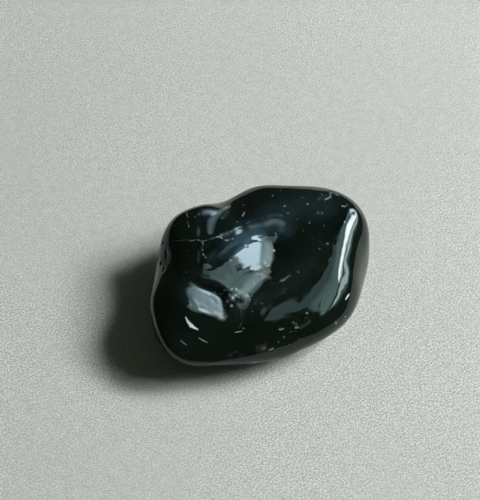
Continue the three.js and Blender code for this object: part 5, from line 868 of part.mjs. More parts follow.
  [11.45, -2.72, 0.54, -0.0388], [12.07, -2.72, 0.54, 0.0316], [12.69, -2.72, 0.54, 0.0707],
  [13.31, -2.72, 0.54, -0.0463], [13.93, -2.72, 0.54, -0.1207], [14.55, -2.72, 0.54, 0.1636],
  [15.17, -2.72, 0.54, -0.0202], [15.79, -2.72, 0.54, -0.0482], [16.41, -2.72, 0.54, 0.0902],
  [17.03, -2.72, 0.54, -0.0363], [11.76, -2.19, 0.54, -0.0121], [12.38, -2.19, 0.54, -0.0485],
  [13.00, -2.19, 0.54, -0.0161], [13.62, -2.19, 0.54, 0.1210], [14.24, -2.19, 0.54, -0.0424],
  [14.86, -2.19, 0.54, -0.0616], [15.48, -2.19, 0.54, 0.0638], [16.72, -2.19, 0.54, 0.0258],
  [17.34, -2.19, 0.54, 0.0118], [12.69, -1.65, 0.54, 0.0285], [13.31, -1.65, 0.54, -0.0376],
  [13.93, -1.65, 0.54, -0.0157], [14.55, -1.65, 0.54, 0.0537], [13.00, -1.11, 0.54, 0.0066],
  [13.62, -1.11, 0.54, 0.0335], [14.24, -1.11, 0.54, -0.0130], [-2.50, -6.48, 0.54, 0.0035],
  [-2.81, -5.95, 0.54, 0.0069], [-2.19, -5.95, 0.54, 0.0024], [-1.57, -5.95, 0.54, -0.0030],
  [-3.74, -5.41, 0.54, -0.0257], [-3.12, -5.41, 0.54, -0.0124], [-2.50, -5.41, 0.54, 0.0080],
  [-1.88, -5.41, 0.54, 0.0029], [-1.26, -5.41, 0.54, 0.0255], [-4.05, -4.87, 0.54, 0.0091],
  [-3.43, -4.87, 0.54, 0.0393], [-2.81, -4.87, 0.54, 0.0010], [-2.19, -4.87, 0.54, 0.0195],
  [-1.57, -4.87, 0.54, -0.0161], [-0.95, -4.87, 0.54, -0.0091], [-4.98, -4.34, 0.54, 0.0689],
  [-4.36, -4.34, 0.54, 0.0186], [-3.74, -4.34, 0.54, -0.0504], [-3.12, -4.34, 0.54, -0.0029],
  [-2.50, -4.34, 0.54, -0.0231], [-1.88, -4.34, 0.54, -0.0012], [-1.26, -4.34, 0.54, 0.0173],
  [-0.64, -4.34, 0.54, -0.0023], [-0.02, -4.34, 0.54, 0.0180], [-5.91, -3.80, 0.54, 0.0134],
  [-5.29, -3.80, 0.54, -0.0178], [-4.67, -3.80, 0.54, -0.0793], [-4.05, -3.80, 0.54, 0.0862],
  [-3.43, -3.80, 0.54, 0.0246], [-2.81, -3.80, 0.54, 0.0362], [-2.19, -3.80, 0.54, 0.0305],
  [-1.57, -3.80, 0.54, -0.0147], [-0.95, -3.80, 0.54, 0.0017], [-0.33, -3.80, 0.54, 0.0078],
  [0.29, -3.80, 0.54, -0.0088], [-6.22, -3.26, 0.54, -0.0365], [-5.60, -3.26, 0.54, 0.0605],
  [-4.98, -3.26, 0.54, 0.0746], [-4.36, -3.26, 0.54, -0.0553], [-3.74, -3.26, 0.54, -0.0789],
  [-3.12, -3.26, 0.54, -0.0227], [-2.50, -3.26, 0.54, -0.0523], [-1.88, -3.26, 0.54, 0.0082],
  [-1.26, -3.26, 0.54, 0.0201], [-0.64, -3.26, 0.54, -0.0074], [-0.02, -3.26, 0.54, 0.0151],
  [0.60, -3.26, 0.54, 0.0183], [-7.15, -2.72, 0.54, -0.0096], [-6.53, -2.72, 0.54, -0.0021],
  [-5.91, -2.72, 0.54, 0.0192], [-5.29, -2.72, 0.54, -0.0527], [-4.67, -2.72, 0.54, 0.0205],
  [-4.05, -2.72, 0.54, 0.0923], [-3.43, -2.72, 0.54, 0.0414], [-2.81, -2.72, 0.54, 0.0335],
  [-2.19, -2.72, 0.54, 0.0280], [-1.57, -2.72, 0.54, -0.0452], [-0.95, -2.72, 0.54, -0.0108],
  [-0.33, -2.72, 0.54, 0.0137], [0.29, -2.72, 0.54, -0.0237], [0.91, -2.72, 0.54, -0.0130],
  [-6.84, -2.19, 0.54, -0.0080], [-6.22, -2.19, 0.54, -0.0184], [-5.60, -2.19, 0.54, 0.0497],
  [-4.98, -2.19, 0.54, 0.0107], [-4.36, -2.19, 0.54, -0.0522], [-3.74, -2.19, 0.54, -0.0429],
  [-3.12, -2.19, 0.54, -0.0101], [-2.50, -2.19, 0.54, -0.0119], [-1.88, -2.19, 0.54, 0.0258],
  [-1.26, -2.19, 0.54, 0.0478], [-0.64, -2.19, 0.54, -0.0573], [-0.02, -2.19, 0.54, -0.0479],
  [0.60, -2.19, 0.54, 0.0509], [1.22, -2.19, 0.54, 0.0639], [1.84, -2.19, 0.54, 0.0312],
  [-6.53, -1.65, 0.54, -0.0325], [-5.91, -1.65, 0.54, 0.0465], [-5.29, -1.65, 0.54, -0.1073],
  [-4.67, -1.65, 0.54, 0.0563], [-4.05, -1.65, 0.54, 0.0307], [-3.43, -1.65, 0.54, 0.0229],
  [-2.81, -1.65, 0.54, 0.0149], [-2.19, -1.65, 0.54, 0.0175], [-1.57, -1.65, 0.54, -0.0242],
  [-0.95, -1.65, 0.54, 0.0025], [-0.33, -1.65, 0.54, 0.1134], [0.29, -1.65, 0.54, 0.0057],
  [0.91, -1.65, 0.54, -0.0720], [1.53, -1.65, 0.54, -0.0616], [2.15, -1.65, 0.54, 0.0735],
  [-5.60, -1.11, 0.54, 0.0155], [-4.98, -1.11, 0.54, 0.0198], [-4.36, -1.11, 0.54, -0.0707],
  [-3.74, -1.11, 0.54, 0.0044], [-3.12, -1.11, 0.54, -0.0150], [-2.50, -1.11, 0.54, -0.0118],
  [-1.88, -1.11, 0.54, 0.0115], [-1.26, -1.11, 0.54, 0.0434], [-0.64, -1.11, 0.54, -0.0521],
  [-0.02, -1.11, 0.54, -0.0845], [0.60, -1.11, 0.54, 0.0469], [1.22, -1.11, 0.54, 0.0913],
  [1.84, -1.11, 0.54, -0.0565], [2.46, -1.11, 0.54, 0.0300], [-5.29, -0.58, 0.54, -0.0201],
  [-4.67, -0.58, 0.54, 0.0174], [-4.05, -0.58, 0.54, 0.0281], [-3.43, -0.58, 0.54, -0.0238],
  [-2.81, -0.58, 0.54, 0.0213], [-2.19, -0.58, 0.54, 0.0085], [-1.57, -0.58, 0.54, -0.0251],
  [-0.95, -0.58, 0.54, -0.0055], [-0.33, -0.58, 0.54, 0.0508], [0.29, -0.58, 0.54, 0.0365],
  [0.91, -0.58, 0.54, -0.0497], [1.53, -0.58, 0.54, 0.0365], [2.15, -0.58, 0.54, 0.0109],
  [-4.98, -0.04, 0.54, -0.0053], [-4.36, -0.04, 0.54, 0.0043], [-3.74, -0.04, 0.54, 0.0202],
  [-3.12, -0.04, 0.54, 0.0286], [-2.50, -0.04, 0.54, -0.0233], [-1.88, -0.04, 0.54, 0.0233],
  [-1.26, -0.04, 0.54, 0.0232], [-0.64, -0.04, 0.54, -0.0082], [-0.02, -0.04, 0.54, -0.0513],
  [0.60, -0.04, 0.54, 0.0112], [-4.67, 0.50, 0.54, -0.0155], [-4.05, 0.50, 0.54, 0.0159],
  [-3.43, 0.50, 0.54, -0.0422], [-2.81, 0.50, 0.54, 0.0087], [-2.19, 0.50, 0.54, 0.0145],
  [-1.57, 0.50, 0.54, -0.0218], [-0.95, 0.50, 0.54, 0.0057], [-0.33, 0.50, 0.54, 0.0236],
  [-4.36, 1.03, 0.54, 0.0053], [-3.74, 1.03, 0.54, 0.0282], [-3.12, 1.03, 0.54, 0.0333],
  [-2.50, 1.03, 0.54, -0.0215], [-1.88, 1.03, 0.54, 0.0111], [-1.26, 1.03, 0.54, 0.0186],
  [-3.43, 1.57, 0.54, -0.0588], [-2.81, 1.57, 0.54, 0.0083], [-2.19, 1.57, 0.54, 0.0156],
  [-3.12, 2.11, 0.54, 0.0297],
];

// ---- the surface ----------------------------------------------------------------------------
const rad = THREE.MathUtils.degToRad;

const swells = SWELLS.map(([lon, lat, spread, percent]) => ({
  c: new THREE.Vector3(
    Math.cos(rad(lat)) * Math.cos(rad(lon)),
    Math.cos(rad(lat)) * Math.sin(rad(lon)),
    Math.sin(rad(lat)),
  ),
  k: 1 / rad(spread) ** 2,
  a: percent / 100,
}));

// Radius of the plain worn body in direction d.
function plainRadius(d) {
  const t = rad(BODY_TURN);
  const x = d.x * Math.cos(t) + d.y * Math.sin(t);
  const y = -d.x * Math.sin(t) + d.y * Math.cos(t);
  const h = (CROWN + BELLY) / 2 + ((CROWN - BELLY) / 2) * Math.tanh(2.5 * d.z);
  return (
    (Math.abs(x / HALF_LENGTH) ** SQUARENESS +
      Math.abs(y / HALF_WIDTH) ** SQUARENESS +
      Math.abs(d.z / h) ** SQUARENESS) **
    (-1 / SQUARENESS)
  );
}

// The point of the pebble's skin that lies in direction d from its heart.
function skinPoint(d) {
  let swell = 0;
  for (const s of swells) swell += s.a * Math.exp(s.k * (d.dot(s.c) - 1));
  const r = plainRadius(d) * Math.exp(swell);
  const p = new THREE.Vector3(...HEART).addScaledVector(d, r);
  const crown = THREE.MathUtils.smoothstep(p.z, CROWN_FROM, CROWN_FULL);
  if (crown > 0) {
    let lift = 0;
    for (const [x, y, spread, height] of CROWN_RELIEF)
      lift +=
        height *
        Math.exp(-((p.x - x) ** 2 + (p.y - y) ** 2) / (2 * spread ** 2));
    p.z += crown * lift;
  }
  // the belly runs out smoothly on to one flat rubbed patch at z = 0
  if (p.z < -REST_BLEND) p.z = 0;
  else if (p.z < REST_BLEND) p.z = (p.z + REST_BLEND) ** 2 / (4 * REST_BLEND);
  return p;
}

function pebbleGeometry() {
  let g = new THREE.IcosahedronGeometry(1, FACETS);
  g.deleteAttribute("normal");
  g.deleteAttribute("uv");
  g = mergeVertices(g, 1e-5);
  const pos = g.getAttribute("position");
  const d = new THREE.Vector3();
  for (let i = 0; i < pos.count; i++) {
    const p = skinPoint(d.fromBufferAttribute(pos, i).normalize());
    pos.setXYZ(i, p.x, p.y, p.z);
  }
  // bring the box to the stated length, width and height, with the origin under its middle
  g.computeBoundingBox();
  const { min, max } = g.boundingBox;
  g.translate(-(min.x + max.x) / 2, -(min.y + max.y) / 2, -min.z);
  g.scale(
    LENGTH / (max.x - min.x),
    WIDTH / (max.y - min.y),
    HEIGHT / (max.z - min.z),
  );
  g.computeVertexNormals();
  return g;
}

const stone = new THREE.Mesh(
  pebbleGeometry(),
  new THREE.MeshStandardMaterial({
    color: ONYX_BLACK,
    roughness: ONYX_ROUGHNESS,
    metalness: 0,
  }),
);
stone.name = "stone";

const tumbledOnyx = new THREE.Group();
tumbledOnyx.name = "tumbled_onyx";
tumbledOnyx.add(stone);

export default tumbledOnyx;
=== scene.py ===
"""Looks for the tumbled onyx: one barrel-polished black pebble with a worn hollow in its top.

Everything is in metres in the row frame; the shape functions work in millimetres.
"""

import math

import bpy
import numpy as np
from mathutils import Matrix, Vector
from mathutils.bvhtree import BVHTree


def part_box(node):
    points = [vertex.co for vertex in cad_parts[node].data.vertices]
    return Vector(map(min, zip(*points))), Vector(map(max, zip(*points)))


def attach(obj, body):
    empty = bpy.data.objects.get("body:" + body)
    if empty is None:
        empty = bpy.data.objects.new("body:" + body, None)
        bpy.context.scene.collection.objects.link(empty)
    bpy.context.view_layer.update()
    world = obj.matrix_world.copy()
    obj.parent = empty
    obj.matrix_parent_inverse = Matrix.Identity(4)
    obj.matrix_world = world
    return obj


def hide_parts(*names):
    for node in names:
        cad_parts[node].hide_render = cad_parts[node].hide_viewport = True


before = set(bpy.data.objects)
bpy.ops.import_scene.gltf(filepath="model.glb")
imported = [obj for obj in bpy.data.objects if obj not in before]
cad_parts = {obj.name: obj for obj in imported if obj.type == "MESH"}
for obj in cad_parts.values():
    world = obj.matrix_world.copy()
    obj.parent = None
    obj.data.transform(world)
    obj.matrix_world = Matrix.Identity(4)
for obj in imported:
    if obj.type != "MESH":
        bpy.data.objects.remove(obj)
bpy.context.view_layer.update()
MM = 0.001
rng = np.random.default_rng(41)

# ---- the camera, first, because small surface features are placed by where it sees them ------
CAM_MM = (-66.5844, -72.9030, 147.4663)
TARGET_MM = (-1.0287, 2.5102, 9.9334)
PX_FOCAL = 1235.0  # focal length in pixels of the 480 x 500 frame
W_PX, H_PX = 480, 500

cam_data = bpy.data.cameras.new("camera")
cam = bpy.data.objects.new("camera", cam_data)
bpy.context.scene.collection.objects.link(cam)
cam.location = Vector(CAM_MM) * MM
look = (Vector(TARGET_MM) - Vector(CAM_MM)).normalized()
cam.rotation_mode = "QUATERNION"
cam.rotation_quaternion = look.to_track_quat("-Z", "Y")
cam_data.sensor_width = 36.0
cam_data.lens = PX_FOCAL / H_PX * 36.0
cam_data.clip_start, cam_data.clip_end = 0.005, 10.0
bpy.context.scene.camera = cam

EYE = np.array(CAM_MM)
_back = -np.array(look)
_right = np.cross([0, 0, 1.0], _back)
_right /= np.linalg.norm(_right)
_up = np.cross(_back, _right)


def ray(px, py):
    """Unit direction, row frame, from the camera through a pixel."""
    d = (px + 0.5 - W_PX / 2) / PX_FOCAL * _right - (py + 0.5 - H_PX / 2) / PX_FOCAL * _up - _back
    return d / np.linalg.norm(d)


# ---- the pebble's skin -----------------------------------------------------------------------
HALF_LENGTH, HALF_WIDTH, CROWN, BELLY, SQUARENESS = 16.0, 12.4, 9.2, 5.0, 2.4
BODY_TURN = math.radians(-3.00)
HEART = np.array([-0.866, -1.247, 5.451])
CROWN_FROM, CROWN_FULL, REST_BLEND = 0.751, 10.151, 0.22
# [longitude deg, latitude deg, spread deg, percent]
SWELLS = np.array([
    [-109.8, 84.3, 14.4, -9.83], [112.7, 80.1, 14.4, -8.84], [-24.8, 77.2, 14.4, -10.74],
    [-162.3, 74.8, 14.4, -10.85], [60.2, 72.7, 14.4, -6.52], [-77.3, 70.9, 14.4, -9.83], [145.2, 69.2, 14.4, -6.47],
    [7.7, 67.7, 14.4, -16.26], [-129.8, 66.2, 14.4, -13.09], [92.7, 64.8, 14.4, -6.55], [-44.8, 63.5, 14.4, -9.85],
    [177.7, 62.3, 14.4, -7.15], [40.2, 61.0, 14.4, -6.35], [-97.4, 59.9, 14.4, -11.87], [125.1, 58.8, 14.4, -6.47],
    [-12.4, 57.7, 14.4, -9.75], [-149.9, 56.6, 14.4, -11.69], [72.6, 55.6, 14.4, -4.43], [-64.9, 54.6, 14.4, -16.30],
    [157.6, 53.6, 14.4, -5.61], [20.1, 52.7, 14.4, -11.49], [-117.4, 51.7, 14.4, -11.66], [105.1, 50.8, 14.4, -6.09],
    [-32.4, 49.9, 14.4, -10.15], [-169.9, 49.0, 14.4, -5.60], [52.6, 48.2, 14.4, -7.04], [-85.0, 47.3, 14.4, -13.55],
    [137.5, 46.5, 14.4, -2.78], [0.0, 45.6, 14.4, -15.61], [-137.5, 44.8, 14.4, -12.01], [85.0, 44.0, 14.4, 1.39],
    [-52.5, 43.2, 14.4, -12.61], [170.0, 42.5, 14.4, -2.91], [32.5, 41.7, 14.4, -6.78], [-105.0, 40.9, 14.4, -10.64],
    [117.5, 40.2, 14.4, -0.48], [-20.0, 39.4, 14.4, -10.45], [-157.5, 38.7, 14.4, -12.16], [65.0, 38.0, 14.4, -2.52],
    [-72.6, 37.2, 14.4, -7.47], [149.9, 36.5, 14.4, -0.44], [12.4, 35.8, 14.4, -12.84], [-125.1, 35.1, 14.4, -13.03],
    [97.4, 34.4, 14.4, 2.15], [-40.1, 33.7, 14.4, -14.48], [-177.6, 33.0, 14.4, -8.34], [44.9, 32.3, 14.4, 1.72],
    [-92.6, 31.7, 14.4, -12.29], [129.9, 31.0, 14.4, -6.05], [-7.6, 30.3, 14.4, -2.97], [-145.1, 29.7, 14.4, -5.28],
    [77.4, 29.0, 14.4, 2.46], [-60.2, 28.4, 14.4, -7.90], [162.3, 27.7, 14.4, -3.21], [24.8, 27.1, 14.4, 2.93],
    [-112.7, 26.4, 14.4, -11.82], [109.8, 25.8, 14.4, 13.20], [-27.7, 25.2, 14.4, -3.10],
    [-165.2, 24.5, 14.4, -14.01], [57.3, 23.9, 14.4, 1.51], [-80.2, 23.3, 14.4, -13.89], [142.3, 22.6, 14.4, -5.38],
    [4.8, 22.0, 14.4, 7.27], [-132.7, 21.4, 14.4, -11.32], [89.7, 20.8, 14.4, 2.59], [-47.8, 20.2, 14.4, -12.80],
    [174.7, 19.6, 14.4, 6.68], [37.2, 19.0, 14.4, -2.20], [-100.3, 18.4, 14.4, -12.53], [122.2, 17.8, 14.4, -7.41],
    [-15.3, 17.2, 14.4, 5.00], [-152.8, 16.6, 14.4, -14.46], [69.7, 16.0, 14.4, -8.75], [-67.8, 15.4, 14.4, -21.55],
    [154.7, 14.8, 14.4, 9.93], [17.2, 14.2, 14.4, 8.78], [-120.3, 13.6, 14.4, -3.73], [102.1, 13.0, 14.4, 2.76],
    [-35.4, 12.4, 14.4, 3.10], [-172.9, 11.8, 14.4, 12.93], [49.6, 11.2, 14.4, 9.59], [-87.9, 10.7, 14.4, -1.10],
    [134.6, 10.1, 14.4, 1.17], [-2.9, 9.5, 14.4, 6.65], [-140.4, 8.9, 14.4, -1.00], [82.1, 8.3, 14.4, 8.98],
    [-55.4, 7.8, 14.4, -1.89], [167.1, 7.2, 14.4, -2.00], [29.6, 6.6, 14.4, -1.26], [-107.9, 6.0, 14.4, -0.88],
    [114.5, 5.5, 14.4, 8.94], [-23.0, 4.9, 14.4, -2.73], [-160.5, 4.3, 14.4, 11.20], [62.0, 3.7, 14.4, 7.49],
    [-75.5, 3.2, 14.4, 5.71], [147.0, 2.6, 14.4, -2.00], [9.5, 2.0, 14.4, -2.29], [-128.0, 1.4, 14.4, -1.71],
    [94.5, 0.9, 14.4, 0.07], [-43.0, 0.3, 14.4, 3.27], [179.5, -0.3, 14.4, -3.04], [42.0, -0.9, 14.4, -1.47],
    [-95.5, -1.4, 14.4, 3.33], [126.9, -2.0, 14.4, 4.27], [-10.6, -2.6, 14.4, 14.55], [-148.1, -3.2, 14.4, 2.67],
    [74.4, -3.7, 14.4, 1.32], [-63.1, -4.3, 14.4, 12.99], [159.4, -4.9, 14.4, -9.52], [21.9, -5.5, 14.4, 2.81],
    [-115.6, -6.0, 14.4, 0.07], [106.9, -6.6, 14.4, -1.71], [-30.6, -7.2, 14.4, -13.37], [-168.1, -7.8, 14.4, -5.39],
    [54.4, -8.3, 14.4, 4.17], [-83.1, -8.9, 14.4, 1.24], [139.3, -9.5, 14.4, -5.94], [1.8, -10.1, 14.4, -12.16],
    [-135.7, -10.7, 14.4, -2.08], [86.8, -11.2, 14.4, -1.06], [-50.7, -11.8, 14.4, -8.63],
    [171.8, -12.4, 14.4, 5.00], [34.3, -13.0, 14.4, -2.77], [-103.2, -13.6, 14.4, -6.04],
    [119.3, -14.2, 14.4, -6.31], [-18.2, -14.8, 14.4, 9.88], [-155.7, -15.4, 14.4, -21.19],
    [66.8, -16.0, 14.4, -0.54], [-70.7, -16.6, 14.4, -6.52], [151.7, -17.2, 14.4, 5.43], [14.2, -17.8, 14.4, -2.25],
    [-123.3, -18.4, 14.4, -4.50], [99.2, -19.0, 14.4, -1.41], [-38.3, -19.6, 14.4, 11.07],
    [-175.8, -20.2, 14.4, 0.18], [46.7, -20.8, 14.4, -2.11], [-90.8, -21.4, 14.4, -1.94],
    [131.7, -22.0, 14.4, -4.64], [-5.8, -22.6, 14.4, -1.11], [-143.3, -23.3, 14.4, -4.38],
    [79.2, -23.9, 14.4, -0.21], [-58.3, -24.5, 14.4, -1.11], [164.1, -25.2, 14.4, 9.08], [26.6, -25.8, 14.4, 1.49],
    [-110.9, -26.4, 14.4, 3.12], [111.6, -27.1, 14.4, 0.89], [-25.9, -27.7, 14.4, 9.23],
    [-163.4, -28.4, 14.4, -3.42], [59.1, -29.0, 14.4, 1.12], [-78.4, -29.7, 14.4, -2.39], [144.1, -30.3, 14.4, 3.68],
    [6.6, -31.0, 14.4, 4.50], [91.6, -32.3, 14.4, 1.87], [-45.9, -33.0, 14.4, 8.58], [176.5, -33.7, 14.4, 3.08],
    [39.0, -34.4, 14.4, 2.38], [-98.5, -35.1, 14.4, 1.76], [124.0, -35.8, 14.4, 2.89], [-13.5, -36.5, 14.4, 0.28],
    [-151.0, -37.2, 14.4, 1.72], [71.5, -38.0, 14.4, 2.07], [-66.0, -38.7, 14.4, 2.22], [156.5, -39.4, 14.4, 0.29],
    [19.0, -40.2, 14.4, 1.89], [-118.5, -40.9, 14.4, 0.79], [104.0, -41.7, 14.4, 1.01], [-33.6, -42.5, 14.4, 1.18],
    [-171.1, -43.2, 14.4, 0.34], [51.4, -44.0, 14.4, 1.35], [-86.1, -44.8, 14.4, 1.49], [136.4, -45.6, 14.4, 0.91],
    [-1.1, -46.5, 14.4, 0.94], [-138.6, -47.3, 14.4, -0.07], [83.9, -48.2, 14.4, 0.15], [-53.6, -49.0, 14.4, -1.44],
    [168.9, -49.9, 14.4, -0.81], [31.4, -50.8, 14.4, -1.30], [-106.1, -51.7, 14.4, -0.46],
    [116.4, -52.7, 14.4, -1.04], [-21.2, -53.6, 14.4, -1.79], [-158.7, -54.6, 14.4, -0.52],
    [63.8, -55.6, 14.4, -0.64], [-73.7, -56.6, 14.4, -0.65], [148.8, -57.7, 14.4, -0.90], [11.3, -58.8, 14.4, -1.19],
    [-126.2, -59.9, 14.4, 0.14], [96.3, -61.0, 14.4, -0.45], [-41.2, -62.3, 14.4, -1.14],
    [-178.7, -63.5, 14.4, -0.10], [43.8, -64.8, 14.4, -0.43], [-93.7, -66.2, 14.4, -0.19],
    [128.8, -67.7, 14.4, -0.10], [-8.8, -69.2, 14.4, 0.44], [-146.3, -70.9, 14.4, 0.18], [76.2, -72.7, 14.4, 0.29],
    [-61.3, -74.8, 14.4, 0.63], [23.7, -80.1, 14.4, 0.37], [-113.8, -84.3, 14.4, -0.61], [-109.8, 85.3, 11.7, -0.61],
    [112.7, 81.9, 11.7, -1.10], [-24.8, 79.5, 11.7, -0.32], [-162.3, 77.6, 11.7, -0.92], [60.2, 75.9, 11.7, -0.46],
    [-77.3, 74.4, 11.7, -0.52], [145.2, 73.1, 11.7, -0.35], [7.7, 71.8, 11.7, -2.01], [-129.8, 70.6, 11.7, -1.43],
    [92.7, 69.5, 11.7, -0.63], [-44.8, 68.4, 11.7, -0.50], [177.7, 67.4, 11.7, -0.38], [40.2, 66.4, 11.7, 0.20],
    [-97.4, 65.5, 11.7, -0.99], [125.1, 64.6, 11.7, 0.30], [-12.4, 63.7, 11.7, -1.66], [-149.9, 62.9, 11.7, -1.01],
    [72.6, 62.0, 11.7, -0.75], [-64.9, 61.2, 11.7, -0.71], [157.6, 60.5, 11.7, -1.23], [20.1, 59.7, 11.7, -1.50],
    [-117.4, 58.9, 11.7, -0.79], [105.1, 58.2, 11.7, -0.48], [-32.4, 57.5, 11.7, 0.11], [52.6, 56.1, 11.7, 0.97],
    [-85.0, 55.4, 11.7, -0.71], [137.5, 54.8, 11.7, -0.52], [0.0, 54.1, 11.7, -0.25], [-137.5, 53.4, 11.7, -0.64],
    [85.0, 52.8, 11.7, -0.37], [-52.5, 52.2, 11.7, -1.93], [170.0, 51.6, 11.7, -0.22], [32.5, 51.0, 11.7, -2.30],
    [-105.0, 50.4, 11.7, -0.98], [117.5, 49.8, 11.7, -2.03], [-20.0, 49.2, 11.7, 0.37], [-157.5, 48.6, 11.7, -1.42],
    [65.0, 48.0, 11.7, -0.70], [-72.6, 47.4, 11.7, -2.18], [12.4, 46.3, 11.7, 0.56], [-125.1, 45.8, 11.7, -0.80],
    [97.4, 45.2, 11.7, 0.60], [-40.1, 44.7, 11.7, -1.76], [-177.6, 44.2, 11.7, 0.48], [44.9, 43.6, 11.7, -1.97],
    [-92.6, 43.1, 11.7, -0.47], [129.9, 42.6, 11.7, -0.18], [-7.6, 42.1, 11.7, -2.52], [-145.1, 41.6, 11.7, -1.34],
    [77.4, 41.0, 11.7, 0.26], [-60.2, 40.5, 11.7, 0.20], [162.3, 40.0, 11.7, 0.30], [24.8, 39.5, 11.7, 1.35],
    [-112.7, 39.1, 11.7, -1.23], [109.8, 38.6, 11.7, 0.41], [-27.7, 38.1, 11.7, -1.31], [-165.2, 37.6, 11.7, -1.46],
    [57.3, 37.1, 11.7, 0.09], [-80.2, 36.6, 11.7, -1.67], [142.3, 36.2, 11.7, 0.95], [4.8, 35.7, 11.7, -5.01],
    [-132.7, 35.2, 11.7, -0.78], [89.7, 34.8, 11.7, -0.39], [-47.8, 34.3, 11.7, -0.65], [174.7, 33.8, 11.7, -1.21],
    [-100.3, 32.9, 11.7, 0.23], [122.2, 32.5, 11.7, 0.89], [-15.3, 32.0, 11.7, 0.69], [-152.8, 31.6, 11.7, 0.62],
    [-67.8, 30.7, 11.7, 2.64], [154.7, 30.2, 11.7, -0.82], [17.2, 29.8, 11.7, -0.14], [-120.3, 29.3, 11.7, -1.33],
    [102.1, 28.9, 11.7, 0.81], [-35.4, 28.5, 11.7, -0.99], [-172.9, 28.0, 11.7, -0.79], [49.6, 27.6, 11.7, 2.22],
    [-87.9, 27.2, 11.7, -1.92], [134.6, 26.7, 11.7, -1.89], [-2.9, 26.3, 11.7, 1.64], [-140.4, 25.9, 11.7, 0.73],
    [82.1, 25.5, 11.7, 1.76], [-55.4, 25.0, 11.7, -2.41], [167.1, 24.6, 11.7, -1.41], [-107.9, 23.8, 11.7, -1.02],
    [114.5, 23.4, 11.7, 2.46], [-23.0, 23.0, 11.7, -0.06], [-160.5, 22.5, 11.7, -2.98], [62.0, 22.1, 11.7, -2.00],
    [-75.5, 21.7, 11.7, -1.02], [147.0, 21.3, 11.7, 0.36], [9.5, 20.9, 11.7, -0.89], [-128.0, 20.5, 11.7, -1.69],
    [94.5, 20.1, 11.7, -2.65], [-43.0, 19.7, 11.7, 0.20], [179.5, 19.3, 11.7, 1.76], [42.0, 18.9, 11.7, -0.67],
    [-95.5, 18.5, 11.7, -1.64], [126.9, 18.1, 11.7, -5.22], [-10.6, 17.7, 11.7, 1.91], [-148.1, 17.3, 11.7, -2.21],
    [74.4, 16.9, 11.7, -1.35], [-63.1, 16.5, 11.7, -5.42], [159.4, 16.1, 11.7, 2.35], [21.9, 15.7, 11.7, 0.84],
    [-115.6, 15.3, 11.7, 0.16], [106.9, 14.9, 11.7, 1.64], [-30.6, 14.5, 11.7, -1.01], [-83.1, 13.3, 11.7, -0.09],
    [139.3, 12.9, 11.7, 1.02], [1.8, 12.5, 11.7, 5.21], [-135.7, 12.1, 11.7, -1.07], [86.8, 11.7, 11.7, 3.63],
    [-50.7, 11.3, 11.7, 0.16], [171.8, 11.0, 11.7, 2.03], [-103.2, 10.2, 11.7, -1.51], [119.3, 9.8, 11.7, 1.33],
    [-18.2, 9.4, 11.7, -0.86], [-155.7, 9.0, 11.7, -0.87], [-70.7, 8.2, 11.7, -1.23], [151.7, 7.9, 11.7, 0.88],
    [-123.3, 7.1, 11.7, 0.35], [99.2, 6.7, 11.7, -1.75], [-38.3, 6.3, 11.7, 3.05], [-175.8, 5.9, 11.7, 1.59],
    [-90.8, 5.2, 11.7, 1.84], [131.7, 4.8, 11.7, 1.75], [-5.8, 4.4, 11.7, -4.43], [-143.3, 4.0, 11.7, 2.24],
    [-58.3, 3.2, 11.7, 1.43], [164.1, 2.9, 11.7, -2.95], [-110.9, 2.1, 11.7, 1.65], [111.6, 1.7, 11.7, 1.72],
    [-25.9, 1.3, 11.7, -2.89], [-163.4, 1.0, 11.7, 5.33], [-78.4, 0.2, 11.7, 0.84], [144.1, -0.2, 11.7, -0.34],
    [-130.9, -1.0, 11.7, -0.74], [-45.9, -1.7, 11.7, 1.70], [176.5, -2.1, 11.7, -2.52], [-98.5, -2.9, 11.7, -0.73],
    [124.0, -3.2, 11.7, 0.57], [-151.0, -4.0, 11.7, -1.07], [-66.0, -4.8, 11.7, 4.37], [156.5, -5.2, 11.7, -2.77],
    [-118.5, -5.9, 11.7, 0.25], [-33.6, -6.7, 11.7, -5.31], [-171.1, -7.1, 11.7, -1.14], [-86.1, -7.9, 11.7, 1.48],
    [136.4, -8.2, 11.7, -1.01], [-138.6, -9.0, 11.7, 2.67], [-53.6, -9.8, 11.7, -2.98], [168.9, -10.2, 11.7, 1.92],
    [-106.1, -11.0, 11.7, -1.88], [-158.7, -12.1, 11.7, -4.70], [-73.7, -12.9, 11.7, -2.42],
    [148.8, -13.3, 11.7, 0.65], [-126.2, -14.1, 11.7, -3.07], [-41.2, -14.9, 11.7, 0.57],
    [-178.7, -15.3, 11.7, 0.16], [-93.7, -16.1, 11.7, 0.30], [-146.3, -17.3, 11.7, -0.89],
    [-61.3, -18.1, 11.7, 0.08], [161.2, -18.5, 11.7, 2.11], [-113.8, -19.3, 11.7, 1.92],
    [-166.3, -20.5, 11.7, -1.24], [-81.3, -21.3, 11.7, -1.79], [141.2, -21.7, 11.7, 0.50],
    [-133.9, -22.5, 11.7, -0.91], [-48.9, -23.4, 11.7, -0.15], [173.6, -23.8, 11.7, 1.30],
    [-101.4, -24.6, 11.7, -0.81], [-153.9, -25.9, 11.7, -0.45], [-68.9, -26.7, 11.7, -0.35],
    [153.6, -27.2, 11.7, 0.11], [-121.5, -28.0, 11.7, 0.71], [-174.0, -29.3, 11.7, 0.76], [-89.0, -30.2, 11.7, 0.82],
    [-141.5, -31.6, 11.7, 0.62], [166.0, -32.9, 11.7, -0.45], [-109.1, -33.8, 11.7, 0.22],
    [-161.6, -35.2, 11.7, 0.55], [-76.6, -36.2, 11.7, 0.44], [178.4, -39.1, 11.7, -0.11], [-96.7, -40.0, 11.7, 0.13],
    [-149.2, -41.6, 11.7, 0.08], [-116.7, -44.2, 11.7, -0.11], [-169.2, -45.8, 11.7, -0.20],
